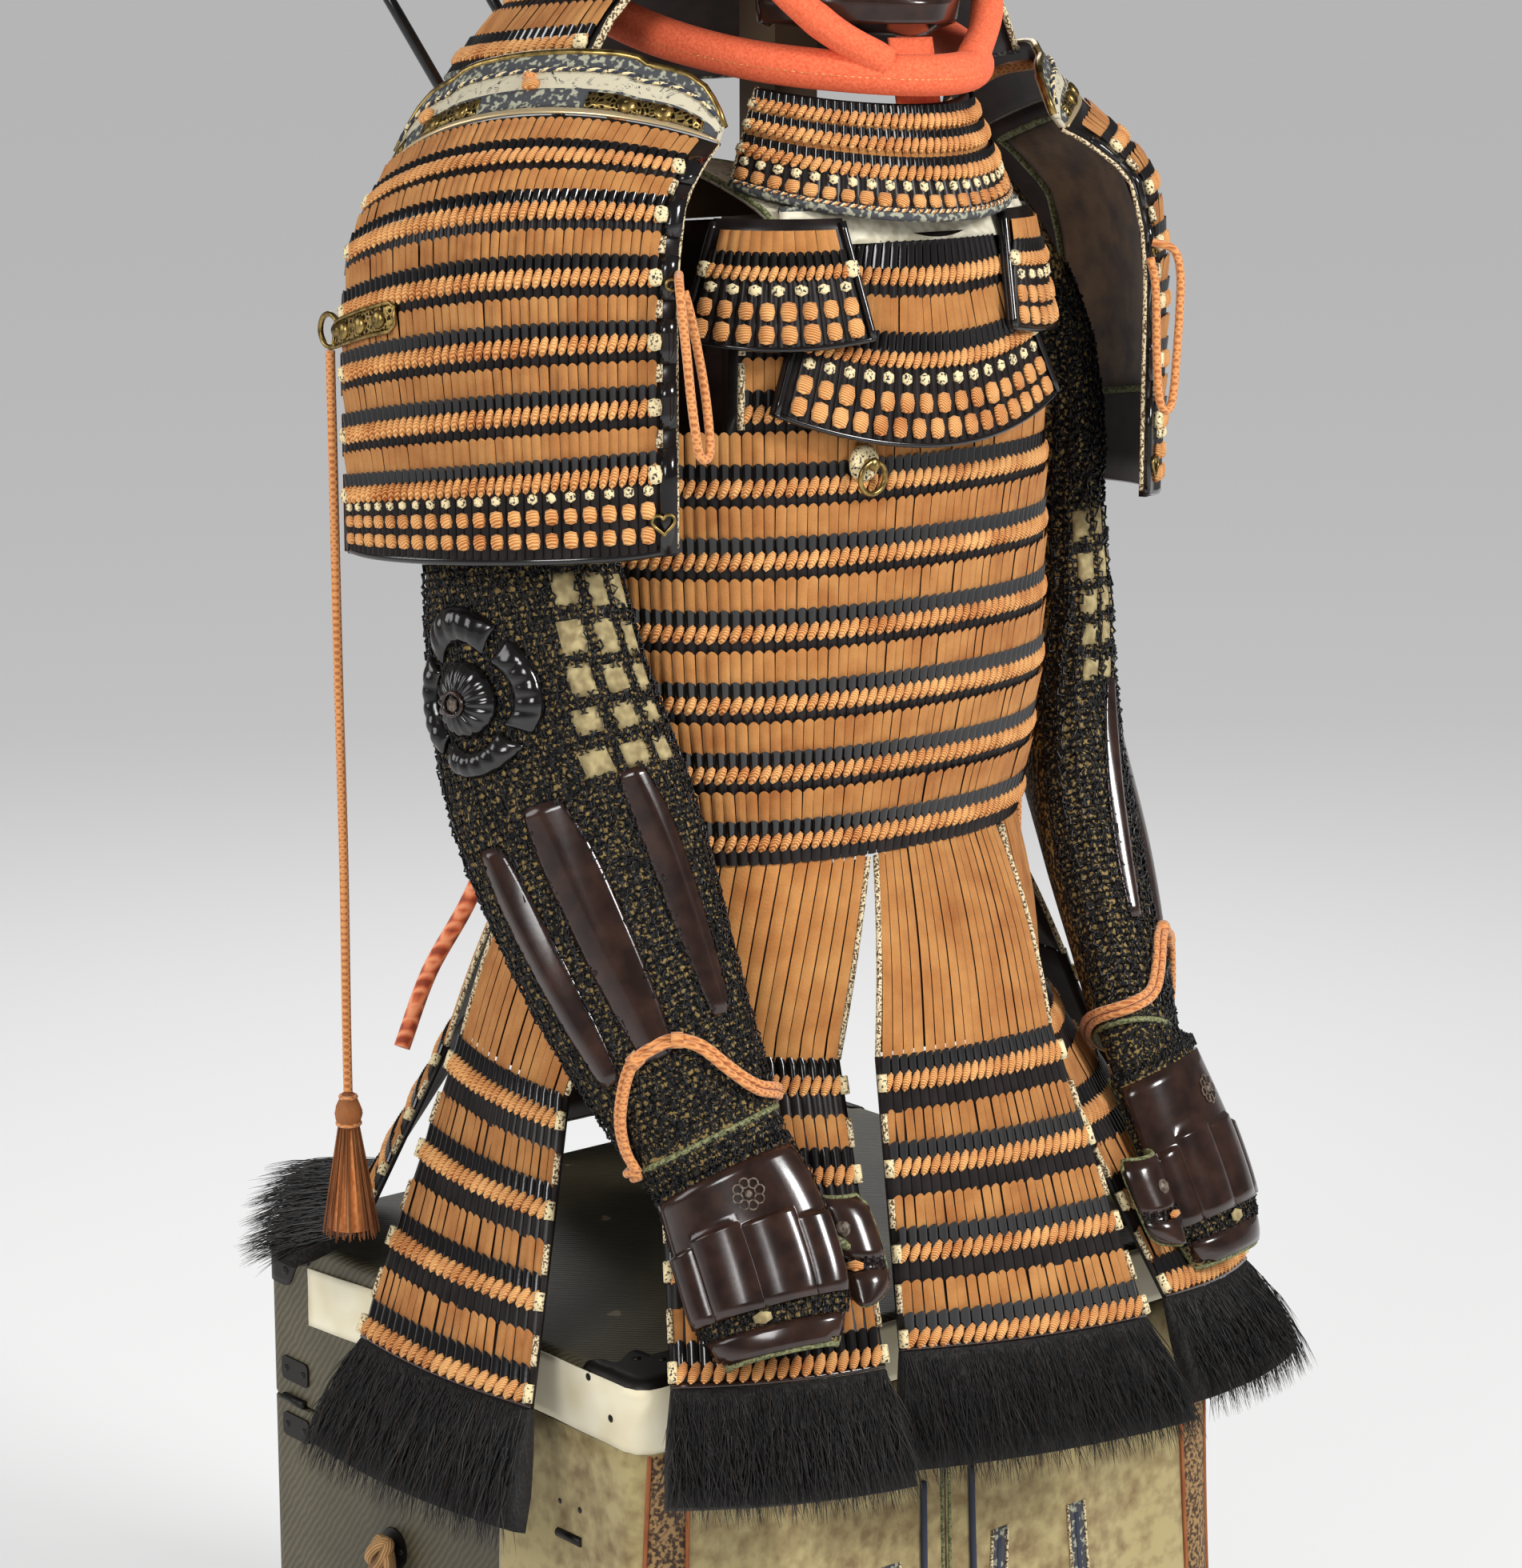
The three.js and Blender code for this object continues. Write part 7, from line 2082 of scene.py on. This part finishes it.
def chestPieces():
    top, bevel = chest["height"], case["bevel"]
    lid = [(1.2, case["lidLow"] - 0.6), (0, case["lidLow"] + 1)]
    lid += [(bevel * (1 - math.cos(t)), top - bevel + bevel * math.sin(t)) for t in span(0, math.pi / 2, 5)]
    parts = [
        boxShell("chestBody", [(1, 0), (0, 1), (0, chest["seam"] - 1), (1, chest["seam"])], look["chestCloth"]),
        boxShell("chestNeck", [(case["neck"], chest["seam"] - 2), (case["neck"], case["lidLow"] + 4)], look["iron"]),
        boxShell("chestLid", lid, look["chestCloth"]),
    ]
    for sx in (-1, 1):
        for sy in (-1, 1):
            parts += cornerPlate("lidCorner", (sx, sy), -34, 46, True)
        side = sx * chest["width"] / 2
        for y in (-150, 186):
            for (z0, z1), _ in case["clasp"]:
                parts += sidePlate("clasp", side, y, (z0 + z1) / 2, 34, z1 - z0, 4)
            parts.append(tube("claspPin", [(side + 2.5 * sx, y - 13, 432.5), (side + 2.5 * sx, y + 13, 432.5)], 3.4,
                              look["iron"], 8))
        parts += ropeHandle("handle", sx)
    return parts


finishPiece(joinObjects("chest_look", chestPieces()), ["chest"])


# Waistband and thigh guards: one cloth band round the chest with two panels that hang from it
cloth = {
    "band": {"top": 556, "tall": 44, "thick": 1.4, "reach": 190},
    "thigh": {"top": 511, "hem": 120, "wave": 3.5, "folds": 9, "flare": 14, "thick": 1.4},
}


# Place along half the outline: 0 is the middle of the front, then the corner, then the side
def outline(place, sign, out):
    front = chest["width"] / 2 - 16
    bend = 16 * math.pi / 2
    side, back = chest["width"] / 2, -chest["depth"] / 2
    if place <= front:
        return sign * place, back - out
    if place <= front + bend:
        turn = (place - front) / 16
        return sign * (front + (16 + out) * math.sin(turn)), back + 16 - (16 + out) * math.cos(turn)
    return sign * (side + out), back + 16 + place - front - bend


def bandPoint(s, t, out):
    sign = 1 if s >= 0 else -1
    crease = 0.5 * math.sin(s * 0.045 + 3 * t) * math.sin(math.pi * t) + 0.35 * math.sin(s * 0.11)
    x, y = outline(abs(s), sign, 1.1 + out + crease * 0.5)
    drop = max(0, y + 60) * 0.07 + 0.8 * math.sin(s * 0.02) * (1 - t)
    return np.array((x, y, cloth["band"]["top"] - drop - (1 - t) * cloth["band"]["tall"]))


reach = 254 + 8 * math.pi + 225 - 16 + cloth["band"]["reach"] - 25
stops = sorted(set(span(-reach, reach, 150)))
piece = gridWall("waistband_look", bandPoint, stops, span(0, 1, 8), cloth["band"]["thick"] - 0.4, 0.4, look["band"])
finishPiece(piece, ["waistband"])


def flatSize(surface, us, vs):
    width = max(sum(np.linalg.norm(surface(b, v, 0) - surface(a, v, 0)) for a, b in zip(us, us[1:])) for v in vs)
    length = max(sum(np.linalg.norm(surface(u, b, 0) - surface(u, a, 0)) for a, b in zip(vs, vs[1:])) for u in us)
    area = 0.0
    for u0, u1 in zip(us, us[1:]):
        for v0, v1 in zip(vs, vs[1:]):
            a, b, c, d = (surface(*p, 0) for p in ((u0, v0), (u1, v0), (u1, v1), (u0, v1)))
            area += 0.5 * np.linalg.norm(np.cross(b - a, c - a)) + 0.5 * np.linalg.norm(np.cross(c - a, d - a))
    return float(width) * toMetres, float(length) * toMetres, float(area) * toMetres ** 2


width, length, area = flatSize(bandPoint, stops, span(0, 1, 8))


def thighSurface(sign):
    spec = cloth["thigh"]
    front, bend, side = chest["width"] / 2 - 16, 8 * math.pi, 137.9

    def column(place):
        if place <= front:
            return 10 * place / front
        if place <= front + bend:
            return 10 + 3 * (place - front) / bend
        return 13 + 5 * (place - front - bend) / side

    def at(place, v, out):
        swing = spec["wave"] * (1 + math.sin(math.pi * spec["folds"] * column(place) / 18)) * v
        small = 0.8 * math.sin(place * 0.09 + 2 * v) * v
        x, y = outline(place, sign, 1.0 + out + swing + small + spec["flare"] * v * v)
        return np.array((x, y, spec["top"] + (spec["hem"] - spec["top"]) * v))

    return at


def strip(name, surface, place, wide, v0, v1, out, material, drift=0.0, rows=30):
    def at(u, v, o):
        return surface(place + drift * v + u, v, o)

    return gridWall(name, at, span(-wide / 2, wide / 2, 4), span(v0, v1, rows), out, -0.1, material)


def edging(name, surface, place, v0, v1, out, radius, material, drift=0.0, rows=40):
    route = [surface(place + drift * v, v, out) for v in span(v0, v1, rows)]
    return tube(name, route, radius, material, 8)


for side, sign in (("right", -1), ("left", 1)):
    surface = thighSurface(sign)
    end = 254 + 8 * math.pi + 137.9
    places = sorted(set(span(0.8, 254, 54) + span(254, 254 + 8 * math.pi, 6) + span(254 + 8 * math.pi, end, 30)))
    rows = span(0, 1, 22)
    piece = gridWall(f"thigh_guard_{side}_look", surface, places, rows, cloth["thigh"]["thick"] - 0.4, 0.4,
                     look["olive"], insideMaterial=look["lining"])
    finishPiece(piece, [f"thigh_guard_{side}"])
    trims = [strip("mesh", surface, 247, 30, 0.002, 0.998, 2.0, look["meshBand"], 16)]
    for edge in (-15, 15):
        trims.append(edging("piping", surface, 247 + edge, 0.002, 0.998, 2.0, 1.6, look["piping"], 16))
    for place, drift in ((118, 26), (60, -22)):
        trims.append(strip("slit", surface, place, 16, 0.34, 0.998, 1.5, look["leatherDark"], drift, 24))
        # A dark strip down the middle of each slit: painted shade of the opening
        trims.append(strip("gap", surface, place, 3.4, 0.36, 0.998, 2.2, look["twistDark"], drift, 24))
        for edge in (-8, 8):
            trims.append(edging("edge", surface, place + edge, 0.34, 0.998, 1.8, 1.1, look["edgeBraid"], drift))
    trims.append(edging("string", surface, 22, 0.20, 0.998, 3.0, 2.4, look["twistDark"], 4))
    trims.append(edging("border", surface, 3.4, 0.002, 0.998, 1.2, 1.4, look["olivePiping"]))
    hem = [surface(place, 0.997, 0.4) for place in places]
    trims.append(tube("hem", hem, 1.5, look["olivePiping"], 6))
    trim = joinObjects(f"thigh_trim_{side}_look", trims)
    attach(trim, "root")
    width, length, area = flatSize(surface, places, rows)
print("stage: chest and cloth")


# Stand inside the armour, and the padded shoulder straps that rest on its bar
stand = {
    "post": (56, 560.4, 1310), "bar": (102, 1306, 1338.6), "neck": (38, 1316, 1500), "head": (62, 1530),
    "rest": (28, 1530, 1644),
}


def upright(name, centre, half, low, high, material):
    (x, y), (a, b) = centre, half
    points = [(x + sx * a, y + sy * b, z) for z in (low, high) for sx, sy in ((-1, -1), (1, -1), (1, 1), (-1, 1))]
    faces = [(3, 2, 1, 0), (4, 5, 6, 7), (0, 1, 5, 4), (1, 2, 6, 5), (2, 3, 7, 6), (3, 0, 4, 7)]
    return makeObject(name, points, faces, material, smooth=False)


def standPieces():
    wide, low, high = stand["post"]
    radius, middle = stand["head"]

    def ball(turn, lift, out):
        t, h = math.radians(turn), math.radians(lift)
        reach = (radius + out) * math.cos(h)
        return np.array((reach * math.sin(t), axisY - 10 - 1.1 * reach * math.cos(t), middle + 0.8 * (radius + out) * math.sin(h)))

    half, barLow, barHigh = stand["bar"]
    neck, neckLow, neckHigh = stand["neck"]
    rest, restLow, restHigh = stand["rest"]
    return [
        upright("post", (0, axisY), (wide / 2, wide / 2), low, high, look["wood"]),
        upright("bar", (0, axisY), (half, 20), barLow, barHigh, look["wood"]),
        upright("neck", (0, axisY), (neck / 2, neck / 2), neckLow, neckHigh, look["wood"]),
        gridWall("ball", ball, span(0, 360, 32)[:-1], span(-89, 89, 16), 0.0, 3.0, look["wood"], loop=True),
        upright("rest", (0, -62), (rest / 2, rest / 2), restLow, restHigh, look["wood"]),
    ]


strap = {
    "inner": 66, "outer": 113, "route": [
        (-171, 1292), (-164, 1312), (-107, 1333.3), (-69, 1339.3), (-21, 1339.3), (17, 1333.3), (74, 1312), (81, 1292)],
}


def strapPieces(name, sign):
    front = hoop(0, 180, 134)[1] + 8
    back = 2 * axisY - front
    ends = {0: (front, 1292), 1: (front + 7, 1312), 6: (back - 7, 1312), 7: (back, 1292)}
    knots = [ends.get(i, p) for i, p in enumerate(strap["route"])]
    route = smoothRoute([(0, y, z) for y, z in knots], 5)

    def at(u, t, out):
        i = min(int(t), len(route) - 2)
        point = route[i] + (route[i + 1] - route[i]) * (t - i)
        along = unit(route[i + 1] - route[i])
        across = strap["inner"] + (strap["outer"] - strap["inner"]) * u
        return np.array((-sign * across, point[1] - along[2] * out, point[2] + along[1] * out))

    rows = list(range(len(route)))
    parts = [gridWall(name + "Band", at, span(0, 1, 6), rows, lambda u, t: 3.6 + 1.6 * math.sin(math.pi * u), 0.2,
                      look["leather"])]
    for u in (0.03, 0.97):
        parts.append(tube(name + "Roll", [at(u, t, 3.2) for t in rows], 2.0, look["olivePiping"], 8))
    tie = [(-sign * x, axisY, z) for x, z in ((110, 1325), (140, 1326), (170, 1326), (190, 1322))]
    guard = [(-sign * x, y, z) for x, y, z in ((107, -49, 1341), (150, -55, 1374), (190, -61, 1397), (232, -66, 1403))]
    parts.append(tube(name + "Tie", smoothRoute(tie, 4), 5.0, look["cordSilk"], 8))
    parts.append(tube(name + "GuardTie", smoothRoute(guard, 4), 4.0, look["cordSilk"], 8))
    return parts


finishPiece(joinObjects("stand_look", standPieces()), ["stand"])
for side, sign in (("right", 1), ("left", -1)):
    finishPiece(joinObjects(f"strap_{side}_look", strapPieces(f"strap{side.title()}", sign)), [f"strap_{side}"])
print("stage: stand and straps")


# Floor, backdrop and light
def studio():
    wide = 90000
    floor = makeObject("floor", [(-wide, -wide, 0), (wide, -wide, 0), (wide, wide, 0), (-wide, wide, 0)],
                       [(0, 1, 2, 3)], plainMaterial("paleFloor", colours["floor"], 0.9))
    world = bpy.data.worlds.new("studio")
    world.use_nodes = True
    tree = world.node_tree
    ray = tree.nodes.new("ShaderNodeLightPath")
    strength = combine(tree, combine(tree, ray.outputs["Is Glossy Ray"], -0.50), 0.62, "ADD")
    strength = combine(tree, strength, combine(tree, ray.outputs["Is Camera Ray"], -0.158), "ADD")
    tree.links.new(strength, tree.nodes["Background"].inputs["Strength"])
    tree.nodes["Background"].inputs["Color"].default_value = (1, 1, 1, 1)
    bpy.context.scene.world = world
    bpy.context.scene.view_settings.view_transform = "Standard"
    lamps = (
        ("key", (0.9, -3.2, 2.9), 0.9, 105), ("fill", (-2.9, -1.4, 2.4), 1.0, 42),
        ("side", (-2.4, 1.6, 2.0), 1.2, 16), ("rim", (1.8, 2.4, 2.8), 1.6, 30),
    )
    for name, place, size, power in lamps:
        data = bpy.data.lights.new(name, "AREA")
        data.size = size
        data.energy = power
        lamp = bpy.data.objects.new(name, data)
        lamp.location = place
        aim = Vector((0, 0, 0.9)) - Vector(place)
        lamp.rotation_euler = aim.to_track_quat("-Z", "Y").to_euler()
        bpy.context.scene.collection.objects.link(lamp)


studio()

for element in elements.values():
    bpy.data.objects.remove(element)
print("stage: finishing")
